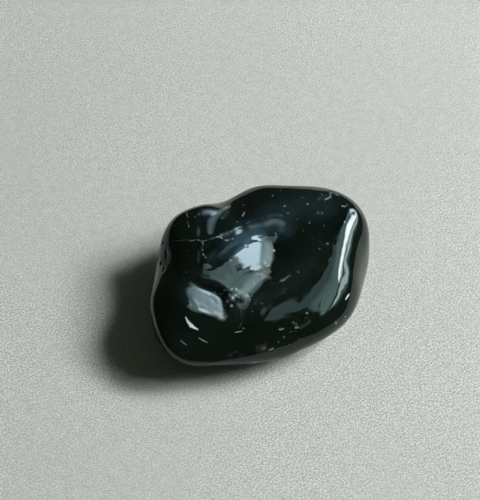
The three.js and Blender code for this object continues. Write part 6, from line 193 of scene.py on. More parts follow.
    [-136.8, -48.6, 11.7, -0.12], [105.0, -77.0, 27.0, 24.00],
])
# [x, y, spread, height] mm
CROWN_RELIEF = np.array([
    [-14.48, -5.93, 1.92, -0.3633], [-12.67, -7.51, 1.92, -0.2169], [-10.86, -9.08, 1.92, -0.0373],
    [-9.05, -10.66, 1.92, 0.0304], [-7.24, -12.23, 1.92, 0.1819], [-15.83, -2.00, 1.92, -0.7219],
    [-14.02, -3.58, 1.92, -0.3476], [-12.21, -5.15, 1.92, -0.2818], [-10.40, -6.73, 1.92, -0.1078],
    [-8.59, -8.30, 1.92, -0.0780], [-6.78, -9.88, 1.92, -0.0104], [-4.97, -11.45, 1.92, 0.0935],
    [-3.16, -13.03, 1.92, 0.2898], [-15.38, 0.35, 1.92, -0.4742], [-11.75, -2.80, 1.92, -0.0325],
    [-9.94, -4.37, 1.92, -0.1915], [-8.13, -5.95, 1.92, -0.0570], [-6.32, -7.52, 1.92, -0.0414],
    [-4.51, -9.10, 1.92, 0.0180], [-0.89, -12.24, 1.92, 0.3233], [-14.92, 2.71, 1.92, -0.4054],
    [-13.11, 1.13, 1.92, 0.0109], [-11.30, -0.44, 1.92, -0.0989], [-9.48, -2.02, 1.92, -0.2667],
    [-7.67, -3.59, 1.92, -0.2332], [-5.86, -5.17, 1.92, -0.1102], [-4.05, -6.74, 1.92, 0.0289],
    [-2.24, -8.31, 1.92, 0.1255], [-0.43, -9.89, 1.92, 0.1216], [1.38, -11.46, 1.92, 0.4093],
    [3.19, -13.04, 1.92, 0.5987], [-14.46, 5.06, 1.92, -0.0050], [-12.65, 3.49, 1.92, -0.2722],
    [-10.84, 1.91, 1.92, -0.1197], [-9.03, 0.34, 1.92, -0.4739], [-7.22, -1.23, 1.92, -0.3593],
    [-5.40, -2.81, 1.92, -0.2600], [-3.59, -4.38, 1.92, -0.1853], [-1.78, -5.96, 1.92, 0.0063],
    [0.03, -7.53, 1.92, 0.1653], [1.84, -9.11, 1.92, 0.3739], [3.65, -10.68, 1.92, 0.2665],
    [5.46, -12.26, 1.92, 0.5375], [-12.19, 5.84, 1.92, -0.3797], [-10.38, 4.27, 1.92, -0.1687],
    [-8.57, 2.70, 1.92, -0.1651], [-6.76, 1.12, 1.92, -0.2388], [-4.95, -0.45, 1.92, -0.2649],
    [-3.13, -2.03, 1.92, -0.2758], [-1.32, -3.60, 1.92, -0.1638], [0.49, -5.18, 1.92, -0.0230],
    [2.30, -6.75, 1.92, 0.1708], [4.11, -8.33, 1.92, 0.3117], [5.92, -9.90, 1.92, 0.1649],
    [7.73, -11.48, 1.92, 1.0661], [-9.92, 6.63, 1.92, -0.2309], [-8.11, 5.05, 1.92, -0.0154],
    [-6.30, 3.48, 1.92, -0.1382], [-4.49, 1.90, 1.92, -0.1475], [-2.68, 0.33, 1.92, -0.2535],
    [-0.87, -1.25, 1.92, -0.2737], [0.95, -2.82, 1.92, -0.1678], [2.76, -4.40, 1.92, -0.0490],
    [6.38, -7.54, 1.92, 0.0701], [8.19, -9.12, 1.92, 0.2499], [-9.46, 8.98, 1.92, -0.3603],
    [-7.65, 7.41, 1.92, 0.1603], [-5.84, 5.83, 1.92, -0.1778], [-4.03, 4.26, 1.92, -0.2617],
    [-2.22, 2.68, 1.92, -0.2287], [-0.41, 1.11, 1.92, -0.2497], [1.40, -0.47, 1.92, -0.2703],
    [3.21, -2.04, 1.92, -0.1897], [5.03, -3.61, 1.92, -0.1776], [6.84, -5.19, 1.92, -0.0922],
    [8.65, -6.76, 1.92, -0.0070], [10.46, -8.34, 1.92, 0.3574], [-7.20, 9.76, 1.92, -0.3560],
    [-5.38, 8.19, 1.92, -0.1215], [-3.57, 6.61, 1.92, -0.3145], [-1.76, 5.04, 1.92, -0.3810],
    [0.05, 3.47, 1.92, -0.3675], [1.86, 1.89, 1.92, -0.3400], [3.67, 0.32, 1.92, -0.2819],
    [5.48, -1.26, 1.92, -0.2929], [7.30, -2.83, 1.92, -0.2704], [9.11, -4.41, 1.92, -0.0908],
    [10.92, -5.98, 1.92, 0.1092], [12.73, -7.56, 1.92, -0.4636], [-4.93, 10.54, 1.92, -0.1829],
    [-3.11, 8.97, 1.92, -0.2891], [-1.30, 7.40, 1.92, -0.2188], [0.51, 5.82, 1.92, -0.4587],
    [2.32, 4.25, 1.92, -0.4459], [4.13, 2.67, 1.92, -0.3714], [5.94, 1.10, 1.92, -0.2863],
    [7.75, -0.48, 1.92, -0.3508], [9.56, -2.05, 1.92, -0.2837], [11.38, -3.63, 1.92, -0.3133],
    [13.19, -5.20, 1.92, -0.1324], [-0.85, 9.75, 1.92, -0.1023], [0.97, 8.18, 1.92, -0.3436],
    [2.78, 6.60, 1.92, -0.4321], [4.59, 5.03, 1.92, -0.3344], [6.40, 3.45, 1.92, -0.3862],
    [8.21, 1.88, 1.92, -0.3207], [10.02, 0.30, 1.92, -0.2943], [11.83, -1.27, 1.92, -0.5057],
    [13.65, -2.85, 1.92, 0.5766], [1.42, 10.53, 1.92, 0.0053], [3.24, 8.96, 1.92, -0.6653],
    [5.05, 7.38, 1.92, -0.1332], [6.86, 5.81, 1.92, -0.1330], [8.67, 4.23, 1.92, -0.1018],
    [10.48, 2.66, 1.92, -0.0551], [12.29, 1.09, 1.92, -0.2499], [14.10, -0.49, 1.92, -0.2430],
    [5.50, 9.74, 1.92, -0.6934], [7.32, 8.16, 1.92, -0.1490], [9.13, 6.59, 1.92, -0.2612],
    [10.94, 5.02, 1.92, -0.3305], [12.75, 3.44, 1.92, -0.1565], [-14.10, -6.95, 1.00, -0.0868],
    [-12.22, -8.59, 1.00, 0.0405], [-11.27, -9.41, 1.00, -0.0130], [-8.44, -11.87, 1.00, 0.0076],
    [-15.75, -4.08, 1.00, -0.0652], [-14.81, -4.90, 1.00, 0.0535], [-13.87, -5.72, 1.00, -0.0865],
    [-12.92, -6.54, 1.00, 0.0053], [-11.98, -7.36, 1.00, 0.0411], [-10.09, -9.00, 1.00, -0.0186],
    [-8.21, -10.64, 1.00, -0.0115], [-7.26, -11.46, 1.00, -0.0187], [-6.32, -12.28, 1.00, 0.0099],
    [-15.51, -2.86, 1.00, -0.0865], [-14.57, -3.68, 1.00, 0.0291], [-13.63, -4.50, 1.00, -0.0291],
    [-12.68, -5.32, 1.00, 0.0066], [-11.74, -6.14, 1.00, 0.0194], [-10.80, -6.96, 1.00, 0.0169],
    [-9.85, -7.78, 1.00, -0.0045], [-8.91, -8.60, 1.00, 0.0079], [-7.97, -9.42, 1.00, 0.0123],
    [-6.08, -11.06, 1.00, -0.0223], [-5.14, -11.88, 1.00, -0.0192], [-16.22, -0.81, 1.00, -0.0404],
    [-15.28, -1.63, 1.00, 0.0213], [-14.33, -2.45, 1.00, 0.0152], [-13.39, -3.27, 1.00, -0.0152],
    [-12.45, -4.09, 1.00, -0.0158], [-11.50, -4.91, 1.00, -0.0859], [-10.56, -5.73, 1.00, -0.0376],
    [-9.62, -6.55, 1.00, 0.0046], [-8.67, -7.37, 1.00, -0.0158], [-7.73, -8.19, 1.00, -0.0219],
    [-6.79, -9.01, 1.00, 0.0090], [-5.84, -9.83, 1.00, 0.0407], [-4.90, -10.65, 1.00, 0.0239],
    [-3.96, -11.47, 1.00, -0.0161], [-3.01, -12.29, 1.00, -0.0309], [-2.07, -13.11, 1.00, 0.0142],
    [-15.98, 0.42, 1.00, -0.0899], [-15.04, -0.40, 1.00, 0.0253], [-13.15, -2.04, 1.00, -0.0396],
    [-12.21, -2.86, 1.00, -0.0047], [-11.26, -3.68, 1.00, 0.0706], [-10.32, -4.50, 1.00, -0.1248],
    [-9.38, -5.32, 1.00, 0.0570], [-8.43, -6.14, 1.00, -0.0592], [-7.49, -6.96, 1.00, -0.0172],
    [-6.55, -7.78, 1.00, -0.0514], [-5.60, -8.60, 1.00, -0.0308], [-4.66, -9.42, 1.00, -0.0161],
    [-3.72, -10.24, 1.00, 0.0135], [-2.77, -11.06, 1.00, 0.0128], [-1.83, -11.88, 1.00, -0.0283],
    [-0.89, -12.70, 1.00, -0.0304], [0.06, -13.52, 1.00, 0.0558], [-15.74, 1.65, 1.00, -0.1006],
    [-14.80, 0.83, 1.00, 0.0115], [-13.86, 0.01, 1.00, 0.0098], [-12.91, -0.81, 1.00, 0.0299],
    [-11.97, -1.64, 1.00, 0.0537], [-11.03, -2.46, 1.00, 0.0462], [-10.08, -3.28, 1.00, 0.0734],
    [-9.14, -4.10, 1.00, -0.0426], [-8.20, -4.92, 1.00, 0.0982], [-7.25, -5.74, 1.00, 0.0520],
    [-6.31, -6.56, 1.00, 0.0310], [-5.37, -7.38, 1.00, 0.0326], [-4.42, -8.20, 1.00, 0.0084],
    [-3.48, -9.02, 1.00, -0.0624], [-2.54, -9.84, 1.00, 0.0096], [-1.59, -10.66, 1.00, 0.0182],
    [-0.65, -11.48, 1.00, 0.0068], [0.30, -12.30, 1.00, 0.0072], [1.24, -13.12, 1.00, 0.0795],
    [-15.50, 2.87, 1.00, -0.1166], [-14.56, 2.05, 1.00, -0.0341], [-13.62, 1.23, 1.00, 0.0185],
    [-12.67, 0.41, 1.00, 0.0642], [-11.73, -0.41, 1.00, 0.0112], [-10.79, -1.23, 1.00, -0.0615],
    [-9.84, -2.05, 1.00, -0.0297], [-8.90, -2.87, 1.00, -0.0268], [-7.96, -3.69, 1.00, -0.1152],
    [-7.01, -4.51, 1.00, 0.0297], [-6.07, -5.33, 1.00, -0.0402], [-5.13, -6.15, 1.00, -0.0151],
    [-4.18, -6.97, 1.00, 0.0216], [-3.24, -7.79, 1.00, 0.0539], [-2.30, -8.61, 1.00, 0.0123],
    [-1.35, -9.43, 1.00, -0.0384], [-0.41, -10.25, 1.00, -0.0576], [0.53, -11.07, 1.00, 0.0144],
    [1.48, -11.89, 1.00, 0.0884], [-14.32, 3.28, 1.00, -0.1180], [-13.38, 2.46, 1.00, 0.0197],
    [-12.44, 1.64, 1.00, 0.0581], [-11.49, 0.82, 1.00, -0.0210], [-10.55, 0, 1.00, -0.0568],
    [-9.61, -0.82, 1.00, 0.0250], [-8.66, -1.64, 1.00, 0.0325], [-7.72, -2.46, 1.00, -0.0278],
    [-6.78, -3.28, 1.00, -0.0196], [-5.83, -4.10, 1.00, -0.0100], [-4.89, -4.92, 1.00, -0.0199],
    [-3.94, -5.74, 1.00, -0.0138], [-3.00, -6.56, 1.00, -0.0110], [-2.06, -7.38, 1.00, 0.0364],
    [-1.11, -8.20, 1.00, 0.0442], [-0.17, -9.02, 1.00, 0.0258], [0.77, -9.84, 1.00, -0.0062],
    [1.72, -10.66, 1.00, -0.0346], [2.66, -11.48, 1.00, -0.0184], [3.60, -12.30, 1.00, -0.0858],
    [-14.08, 4.51, 1.00, -0.1048], [-13.14, 3.69, 1.00, -0.0183], [-12.20, 2.87, 1.00, 0.0446],
    [-11.25, 2.05, 1.00, 0.0227], [-10.31, 1.23, 1.00, -0.0734], [-9.37, 0.41, 1.00, -0.0978],
    [-8.42, -0.41, 1.00, -0.1365], [-7.48, -1.23, 1.00, -0.0189], [-5.59, -2.87, 1.00, -0.0463],
    [-4.65, -3.69, 1.00, -0.0352], [-3.71, -4.51, 1.00, -0.0058], [-2.76, -5.33, 1.00, -0.0074],
    [-1.82, -6.15, 1.00, -0.0102], [-0.88, -6.97, 1.00, 0.0074], [1.01, -8.61, 1.00, 0.0451],
    [1.95, -9.44, 1.00, 0.0701], [2.90, -10.26, 1.00, 0.0448], [3.84, -11.08, 1.00, 0.0098],
    [4.78, -11.90, 1.00, -0.0798], [-13.85, 5.73, 1.00, -0.0512], [-12.90, 4.91, 1.00, -0.1074],
    [-11.96, 4.09, 1.00, 0.0262], [-11.01, 3.27, 1.00, 0.0193], [-9.13, 1.63, 1.00, -0.0212],
    [-8.18, 0.81, 1.00, 0.0300], [-6.30, -0.83, 1.00, 0.0181], [-5.35, -1.65, 1.00, 0.0589],
    [-3.47, -3.29, 1.00, -0.0092], [-1.58, -4.93, 1.00, -0.0114], [-0.64, -5.75, 1.00, 0.0054],
    [0.31, -6.57, 1.00, -0.0513], [2.19, -8.21, 1.00, -0.0289], [3.14, -9.03, 1.00, 0.0700],
    [4.08, -9.85, 1.00, 0.0722], [5.02, -10.67, 1.00, -0.0050], [5.97, -11.49, 1.00, -0.0891],
    [-12.66, 6.14, 1.00, -0.1045], [-11.72, 5.32, 1.00, -0.0701], [-10.78, 4.50, 1.00, 0.0077],
    [-9.83, 3.68, 1.00, 0.0159], [-7.00, 1.22, 1.00, 0.0184], [-6.06, 0.40, 1.00, -0.0463],
    [-5.12, -0.42, 1.00, -0.0201], [-4.17, -1.24, 1.00, -0.0514], [-3.23, -2.06, 1.00, -0.0161],
    [-2.29, -2.88, 1.00, -0.0154], [-1.34, -3.70, 1.00, -0.0094], [-0.40, -4.52, 1.00, 0.0054],
    [0.54, -5.34, 1.00, -0.0192], [1.49, -6.16, 1.00, 0.0491], [2.43, -6.98, 1.00, 0.0336],
    [4.32, -8.62, 1.00, 0.0059], [5.26, -9.44, 1.00, 0.0766], [6.20, -10.26, 1.00, -0.0776],
    [7.15, -11.08, 1.00, 0.0196], [-11.48, 6.55, 1.00, -0.0674], [-10.54, 5.73, 1.00, -0.0697],
    [-9.59, 4.91, 1.00, 0.0203], [-8.65, 4.09, 1.00, -0.0065], [-7.71, 3.27, 1.00, -0.0371],
    [-6.76, 2.45, 1.00, -0.0342], [-5.82, 1.63, 1.00, -0.0098], [-4.88, 0.81, 1.00, 0.0135],
    [-3.93, -0.01, 1.00, -0.0749], [-1.10, -2.47, 1.00, -0.0165], [0.78, -4.11, 1.00, -0.0277],
    [1.73, -4.93, 1.00, 0.0110], [2.67, -5.75, 1.00, 0.0150], [3.61, -6.57, 1.00, -0.0197],
    [4.56, -7.39, 1.00, -0.0252], [5.50, -8.21, 1.00, 0.0113], [6.44, -9.03, 1.00, 0.0853],
    [7.39, -9.85, 1.00, -0.2125], [8.33, -10.67, 1.00, 0.1448], [-11.24, 7.77, 1.00, 0.0296],
    [-10.30, 6.95, 1.00, -0.0818], [-9.36, 6.13, 1.00, -0.0246], [-8.41, 5.31, 1.00, 0.0265],
    [-7.47, 4.49, 1.00, 0.0190], [-6.53, 3.67, 1.00, 0.0072], [-4.64, 2.03, 1.00, 0.0158],
    [-2.75, 0.39, 1.00, -0.0078], [-1.81, -0.43, 1.00, -0.0241], [-0.87, -1.25, 1.00, -0.0157],
    [0.08, -2.07, 1.00, -0.0067], [1.96, -3.71, 1.00, -0.0055], [2.91, -4.53, 1.00, -0.0081],
    [3.85, -5.35, 1.00, 0.0067], [5.74, -6.99, 1.00, -0.0307], [6.68, -7.81, 1.00, 0.0509],
    [7.62, -8.63, 1.00, -0.0305], [8.57, -9.45, 1.00, -0.0332], [9.51, -10.27, 1.00, 0.1705],
    [-10.06, 8.18, 1.00, -0.1066], [-9.12, 7.36, 1.00, 0.0761], [-8.17, 6.54, 1.00, 0.0145],
    [-7.23, 5.72, 1.00, 0.0079], [-6.29, 4.90, 1.00, -0.0213], [-4.40, 3.26, 1.00, 0.0043],
    [-3.46, 2.44, 1.00, -0.0094], [-2.51, 1.62, 1.00, 0.0160], [-1.57, 0.80, 1.00, -0.0044],
    [-0.63, -0.02, 1.00, -0.0358], [0.32, -0.84, 1.00, -0.0145], [1.26, -1.66, 1.00, -0.0399],
    [2.20, -2.48, 1.00, 0.0097], [3.15, -3.30, 1.00, -0.0041], [4.09, -4.12, 1.00, -0.0325],
    [5.98, -5.76, 1.00, 0.0123], [6.92, -6.58, 1.00, -0.0272], [7.86, -7.40, 1.00, 0.0832],
    [8.81, -8.22, 1.00, -0.1289], [9.75, -9.04, 1.00, 0.0091], [-8.88, 8.59, 1.00, -0.0444],
    [-7.94, 7.77, 1.00, 0.1602], [-6.99, 6.95, 1.00, -0.0060], [-6.05, 6.13, 1.00, -0.0358],
    [-5.11, 5.31, 1.00, -0.0280], [-4.16, 4.49, 1.00, 0.0088], [-3.22, 3.67, 1.00, 0.0093],
    [-2.28, 2.85, 1.00, -0.0114], [-1.33, 2.03, 1.00, 0.0296], [-0.39, 1.21, 1.00, -0.0211],
    [0.55, 0.39, 1.00, -0.0048], [1.50, -0.43, 1.00, -0.0191], [2.44, -1.25, 1.00, -0.0146],
    [3.38, -2.07, 1.00, -0.0099], [4.33, -2.89, 1.00, 0.0072], [5.27, -3.71, 1.00, -0.0128],
    [6.22, -4.53, 1.00, -0.0113], [7.16, -5.35, 1.00, 0.0126], [8.10, -6.17, 1.00, -0.0694],
    [9.05, -6.99, 1.00, 0.0402], [9.99, -7.81, 1.00, -0.1049], [10.93, -8.63, 1.00, 0.1507],
    [-7.70, 8.99, 1.00, 0.0852], [-6.75, 8.17, 1.00, 0.0750], [-5.81, 7.35, 1.00, -0.0157],
    [-4.87, 6.53, 1.00, -0.0257], [-3.92, 5.71, 1.00, -0.0166], [-2.98, 4.89, 1.00, -0.0490],
    [-2.04, 4.07, 1.00, -0.0342], [-1.09, 3.25, 1.00, -0.0209], [-0.15, 2.43, 1.00, -0.0211],
    [1.74, 0.79, 1.00, 0.0209], [2.68, -0.03, 1.00, -0.0359], [3.62, -0.85, 1.00, 0.0290],
    [4.57, -1.67, 1.00, -0.0265], [6.45, -3.31, 1.00, -0.0113], [7.40, -4.13, 1.00, -0.0090],
    [8.34, -4.95, 1.00, 0.0057], [9.28, -5.77, 1.00, 0.0379], [10.23, -6.59, 1.00, 0.0127],
    [11.17, -7.41, 1.00, 0.0753], [12.11, -8.23, 1.00, 0.0573], [-6.52, 9.40, 1.00, 0.0745],
    [-5.57, 8.58, 1.00, 0.0261], [-4.63, 7.76, 1.00, -0.0301], [-3.69, 6.94, 1.00, -0.0230],
    [-2.74, 6.12, 1.00, -0.0218], [-1.80, 5.30, 1.00, -0.0637], [-0.86, 4.48, 1.00, -0.0344],
    [0.09, 3.66, 1.00, -0.0084], [1.03, 2.84, 1.00, -0.0162], [1.98, 2.02, 1.00, 0.0081],
    [2.92, 1.20, 1.00, -0.0712], [3.86, 0.38, 1.00, 0.0197], [4.81, -0.44, 1.00, -0.0440],
    [5.75, -1.26, 1.00, -0.0219], [6.69, -2.08, 1.00, -0.0214], [7.64, -2.90, 1.00, -0.0104],
    [9.52, -4.54, 1.00, -0.0490], [10.47, -5.36, 1.00, 0.0282], [11.41, -6.18, 1.00, -0.0271],
    [12.35, -7.00, 1.00, 0.1753], [-5.33, 9.81, 1.00, -0.0204], [-4.39, 8.99, 1.00, -0.0316],
    [-3.45, 8.17, 1.00, -0.0284], [-2.50, 7.35, 1.00, 0.0125], [-1.56, 6.53, 1.00, 0.0893],
    [-0.62, 5.71, 1.00, -0.0053], [0.33, 4.89, 1.00, -0.0212], [1.27, 4.07, 1.00, 0.0249],
    [2.21, 3.25, 1.00, -0.0627], [4.10, 1.61, 1.00, -0.0382], [5.04, 0.79, 1.00, 0.0226],
    [5.99, -0.03, 1.00, -0.0197], [6.93, -0.85, 1.00, -0.0401], [7.87, -1.67, 1.00, -0.0319],
    [8.82, -2.49, 1.00, -0.0206], [9.76, -3.31, 1.00, 0.0264], [11.65, -4.95, 1.00, 0.0231],
    [12.59, -5.77, 1.00, -0.0139], [-4.15, 10.22, 1.00, 0.0522], [-3.21, 9.40, 1.00, -0.0512],
    [-2.26, 8.58, 1.00, 0.0166], [-1.32, 7.76, 1.00, -0.0439], [-0.38, 6.94, 1.00, -0.0396],
    [0.57, 6.12, 1.00, -0.0239], [1.51, 5.30, 1.00, -0.0270], [2.45, 4.48, 1.00, -0.0862],
    [3.40, 3.66, 1.00, -0.0397], [4.34, 2.84, 1.00, -0.0040], [5.28, 2.01, 1.00, 0.0079], [6.23, 1.19, 1.00, 0.0308],
    [8.11, -0.45, 1.00, -0.0295], [9.06, -1.27, 1.00, -0.0230], [10.00, -2.09, 1.00, -0.0084],
    [12.83, -4.55, 1.00, 0.0317], [13.77, -5.37, 1.00, -0.0097], [-2.97, 10.62, 1.00, 0.0715],
    [-2.03, 9.80, 1.00, 0.1364], [-1.08, 8.98, 1.00, 0.0070], [-0.14, 8.16, 1.00, -0.0515],
    [0.80, 7.34, 1.00, -0.0078], [1.75, 6.52, 1.00, -0.0199], [2.69, 5.70, 1.00, -0.0101],
    [3.63, 4.88, 1.00, 0.0650], [4.58, 4.06, 1.00, -0.0323], [5.52, 3.24, 1.00, -0.0322],
    [6.46, 2.42, 1.00, -0.0455], [9.29, -0.04, 1.00, -0.0222], [11.18, -1.68, 1.00, -0.0185],
    [12.12, -2.50, 1.00, -0.1136], [13.07, -3.32, 1.00, -0.0348], [14.01, -4.14, 1.00, -0.3557],
    [-1.79, 11.03, 1.00, -0.0274], [0.10, 9.39, 1.00, -0.0459], [1.04, 8.57, 1.00, -0.0057],
    [1.99, 7.75, 1.00, -0.0465], [2.93, 6.93, 1.00, -0.1026], [3.87, 6.11, 1.00, 0.0092],
    [4.82, 5.29, 1.00, -0.0297], [5.76, 4.47, 1.00, -0.0294], [6.70, 3.65, 1.00, -0.0167],
    [7.65, 2.83, 1.00, -0.0286], [8.59, 2.01, 1.00, -0.0335], [9.53, 1.19, 1.00, -0.0216],
    [10.48, 0.37, 1.00, -0.0310], [11.42, -0.45, 1.00, 0.0389], [12.36, -1.27, 1.00, 0.0260],
    [13.31, -2.09, 1.00, -0.2679], [14.25, -2.91, 1.00, -0.0092], [0.34, 10.62, 1.00, 0.0477],
    [2.22, 8.98, 1.00, 0.0183], [3.17, 8.16, 1.00, -0.0245], [4.11, 7.34, 1.00, 0.0120], [5.05, 6.52, 1.00, -0.0041],
    [6.00, 5.70, 1.00, -0.0180], [6.94, 4.88, 1.00, -0.0270], [8.83, 3.24, 1.00, -0.0080],
    [9.77, 2.42, 1.00, -0.0281], [10.71, 1.60, 1.00, -0.0127], [11.66, 0.78, 1.00, 0.0116],
    [12.60, -0.04, 1.00, -0.0606], [13.54, -0.86, 1.00, -0.0781], [14.49, -1.68, 1.00, -0.0612],
    [2.46, 10.20, 1.00, -0.1131], [3.41, 9.38, 1.00, -0.0051], [4.35, 8.56, 1.00, 0.1034],
    [5.29, 7.74, 1.00, -0.0332], [6.24, 6.92, 1.00, -0.0062], [7.18, 6.10, 1.00, -0.0553],
    [8.12, 5.28, 1.00, -0.0888], [9.07, 4.46, 1.00, -0.0672], [10.01, 3.64, 1.00, -0.0284],
    [10.95, 2.82, 1.00, -0.0343], [11.90, 2.00, 1.00, -0.0058], [12.84, 1.18, 1.00, -0.0049],
    [13.78, 0.36, 1.00, 0.0591], [4.59, 9.79, 1.00, -0.0302], [5.53, 8.97, 1.00, 0.0275], [6.47, 8.15, 1.00, 0.0593],
    [7.42, 7.33, 1.00, 0.0889], [8.36, 6.51, 1.00, 0.1600], [9.30, 5.69, 1.00, 0.2320], [10.25, 4.87, 1.00, 0.1992],
    [11.19, 4.05, 1.00, 0.1577], [12.14, 3.23, 1.00, 0.1095], [13.08, 2.41, 1.00, 0.1067],
    [14.02, 1.59, 1.00, 0.0472], [6.71, 9.38, 1.00, -0.0888], [7.66, 8.56, 1.00, -0.0373],
    [8.60, 7.74, 1.00, -0.0333], [9.54, 6.92, 1.00, -0.0539], [10.49, 6.10, 1.00, -0.0745],
    [11.43, 5.28, 1.00, -0.0665], [-6.92, -7.00, 0.64, -0.0043], [-5.72, -8.05, 0.64, -0.0106],
    [-6.17, -6.74, 0.64, 0.0102], [-5.56, -7.26, 0.64, 0.0116], [-4.96, -7.79, 0.64, 0.0117],
    [-4.36, -8.31, 0.64, 0.0062], [-3.75, -8.84, 0.64, -0.0148], [-6.01, -5.95, 0.64, -0.0054],
    [-4.81, -7.00, 0.64, -0.0045], [-4.20, -7.53, 0.64, 0.0057], [-3.60, -8.05, 0.64, 0.0205],
    [-2.39, -9.10, 0.64, -0.0086], [-1.79, -9.62, 0.64, -0.0066], [-0.58, -10.67, 0.64, 0.0043],
    [0.02, -11.20, 0.64, 0.0127], [0.63, -11.72, 0.64, 0.0163], [-4.05, -6.74, 0.64, -0.0046],
    [-3.45, -7.26, 0.64, -0.0040], [-2.84, -7.79, 0.64, 0.0050], [-2.24, -8.31, 0.64, 0.0050],
    [-1.03, -9.36, 0.64, -0.0077], [-0.43, -9.89, 0.64, -0.0146], [0.18, -10.41, 0.64, -0.0150],
    [0.78, -10.94, 0.64, -0.0044], [1.38, -11.46, 0.64, 0.0190], [1.99, -11.99, 0.64, 0.0048],
    [-8.73, -1.76, 0.64, 0.0229], [-2.69, -7.00, 0.64, -0.0060], [-2.09, -7.53, 0.64, 0.0042],
    [-1.48, -8.05, 0.64, 0.0092], [0.33, -9.63, 0.64, 0.0051], [0.93, -10.15, 0.64, -0.0161],
    [1.54, -10.68, 0.64, -0.0175], [2.74, -11.73, 0.64, -0.0041], [-10.39, 0.60, 0.64, 0.0183],
    [-9.78, 0.08, 0.64, 0.0305], [-9.18, -0.45, 0.64, 0.0204], [-8.58, -0.97, 0.64, -0.0207],
    [-7.97, -1.50, 0.64, -0.0385], [0.48, -8.84, 0.64, 0.0166], [1.08, -9.37, 0.64, 0.0213],
    [2.29, -10.42, 0.64, -0.0062], [2.90, -10.94, 0.64, 0.0040], [3.50, -11.47, 0.64, 0.0118],
    [-10.84, 1.91, 0.64, -0.0048], [-10.23, 1.39, 0.64, -0.0095], [-9.63, 0.86, 0.64, -0.0270],
    [-9.03, 0.34, 0.64, -0.0378], [-8.42, -0.19, 0.64, -0.0180], [-7.82, -0.71, 0.64, -0.0182],
    [-7.22, -1.23, 0.64, 0.0236], [2.44, -9.63, 0.64, 0.0116], [4.26, -11.21, 0.64, -0.0082],
    [-9.48, 1.65, 0.64, -0.0084], [-8.27, 0.60, 0.64, 0.0129], [-7.67, 0.08, 0.64, 0.0117],
    [-7.06, -0.45, 0.64, 0.0204], [-6.46, -0.97, 0.64, 0.0046], [-5.86, -1.50, 0.64, -0.0116],
    [3.20, -9.37, 0.64, 0.0096], [3.81, -9.90, 0.64, -0.0110], [4.41, -10.42, 0.64, 0.0268],
    [5.01, -10.95, 0.64, -0.0102], [-9.93, 2.96, 0.64, 0.0077], [-9.33, 2.44, 0.64, 0.0116],
    [-8.72, 1.91, 0.64, 0.0164], [-8.12, 1.39, 0.64, 0.0217], [-7.51, 0.86, 0.64, 0.0094],
    [-6.91, 0.34, 0.64, -0.0193], [-6.31, -0.19, 0.64, -0.0151], [-5.70, -0.71, 0.64, -0.0071],
    [3.96, -9.11, 0.64, 0.0178], [4.56, -9.64, 0.64, -0.0099], [5.17, -10.16, 0.64, 0.0264],
    [5.77, -10.69, 0.64, -0.0241], [-9.17, 3.22, 0.64, -0.0046], [-8.57, 2.70, 0.64, -0.0062],
    [-7.96, 2.17, 0.64, -0.0141], [-7.36, 1.65, 0.64, -0.0096], [-5.55, 0.07, 0.64, -0.0054],
    [5.32, -9.38, 0.64, -0.0278], [5.92, -9.90, 0.64, 0.0377], [6.53, -10.43, 0.64, -0.0365],
    [-7.21, 2.43, 0.64, -0.0076], [-6.60, 1.91, 0.64, 0.0078], [-6.00, 1.38, 0.64, 0.0043],
    [6.07, -9.12, 0.64, 0.0258], [7.28, -10.17, 0.64, -0.0259], [-5.24, 1.64, 0.64, -0.0172],
    [-3.43, 0.07, 0.64, 0.0073], [-2.83, -0.46, 0.64, -0.0050], [6.23, -8.33, 0.64, -0.0617],
    [6.83, -8.86, 0.64, 0.0466], [7.43, -9.38, 0.64, -0.0347], [-6.90, 4.00, 0.64, 0.0049],
    [-5.09, 2.43, 0.64, 0.0042], [-2.07, -0.20, 0.64, -0.0040], [-1.47, -0.72, 0.64, -0.0081],
    [6.98, -8.07, 0.64, -0.0140], [7.59, -8.59, 0.64, 0.0294], [8.19, -9.12, 0.64, -0.0181],
    [-3.13, 1.64, 0.64, 0.0105], [-0.71, -0.46, 0.64, -0.0082], [-0.11, -0.99, 0.64, 0.0077],
    [8.34, -8.33, 0.64, -0.0452], [8.95, -8.86, 0.64, 0.0379], [-3.58, 2.95, 0.64, -0.0105],
    [-2.98, 2.42, 0.64, 0.0042], [-1.16, 0.85, 0.64, -0.0068], [-0.56, 0.32, 0.64, -0.0041],
    [0.04, -0.20, 0.64, 0.0187], [0.65, -0.73, 0.64, -0.0124], [8.50, -7.55, 0.64, 0.0295],
    [9.10, -8.07, 0.64, -0.0312], [-3.43, 3.73, 0.64, 0.0057], [-1.62, 2.16, 0.64, -0.0043],
    [0.20, 0.58, 0.64, -0.0117], [0.80, 0.06, 0.64, -0.0142], [9.86, -7.81, 0.64, -0.0167],
    [-2.67, 3.99, 0.64, 0.0062], [-2.07, 3.47, 0.64, 0.0042], [-1.46, 2.94, 0.64, -0.0094],
    [9.41, -6.50, 0.64, 0.0334], [10.01, -7.03, 0.64, -0.0270], [10.61, -7.55, 0.64, -0.0157],
    [-1.31, 3.73, 0.64, 0.0068], [-0.10, 2.68, 0.64, -0.0047], [0.50, 2.15, 0.64, -0.0055],
    [9.56, -5.72, 0.64, -0.0085], [10.16, -6.24, 0.64, 0.0451], [10.77, -6.77, 0.64, -0.0297],
    [-0.55, 3.99, 0.64, 0.0091], [0.05, 3.47, 0.64, -0.0056], [10.31, -5.46, 0.64, -0.0226],
    [10.92, -5.98, 0.64, 0.0046], [11.52, -6.51, 0.64, -0.0190], [1.41, 3.20, 0.64, 0.0103],
    [2.01, 2.68, 0.64, -0.0217], [2.62, 2.15, 0.64, 0.0265], [11.07, -5.20, 0.64, 0.0267],
    [11.67, -5.72, 0.64, -0.0092], [1.56, 3.99, 0.64, 0.0231], [2.77, 2.94, 0.64, -0.0065],
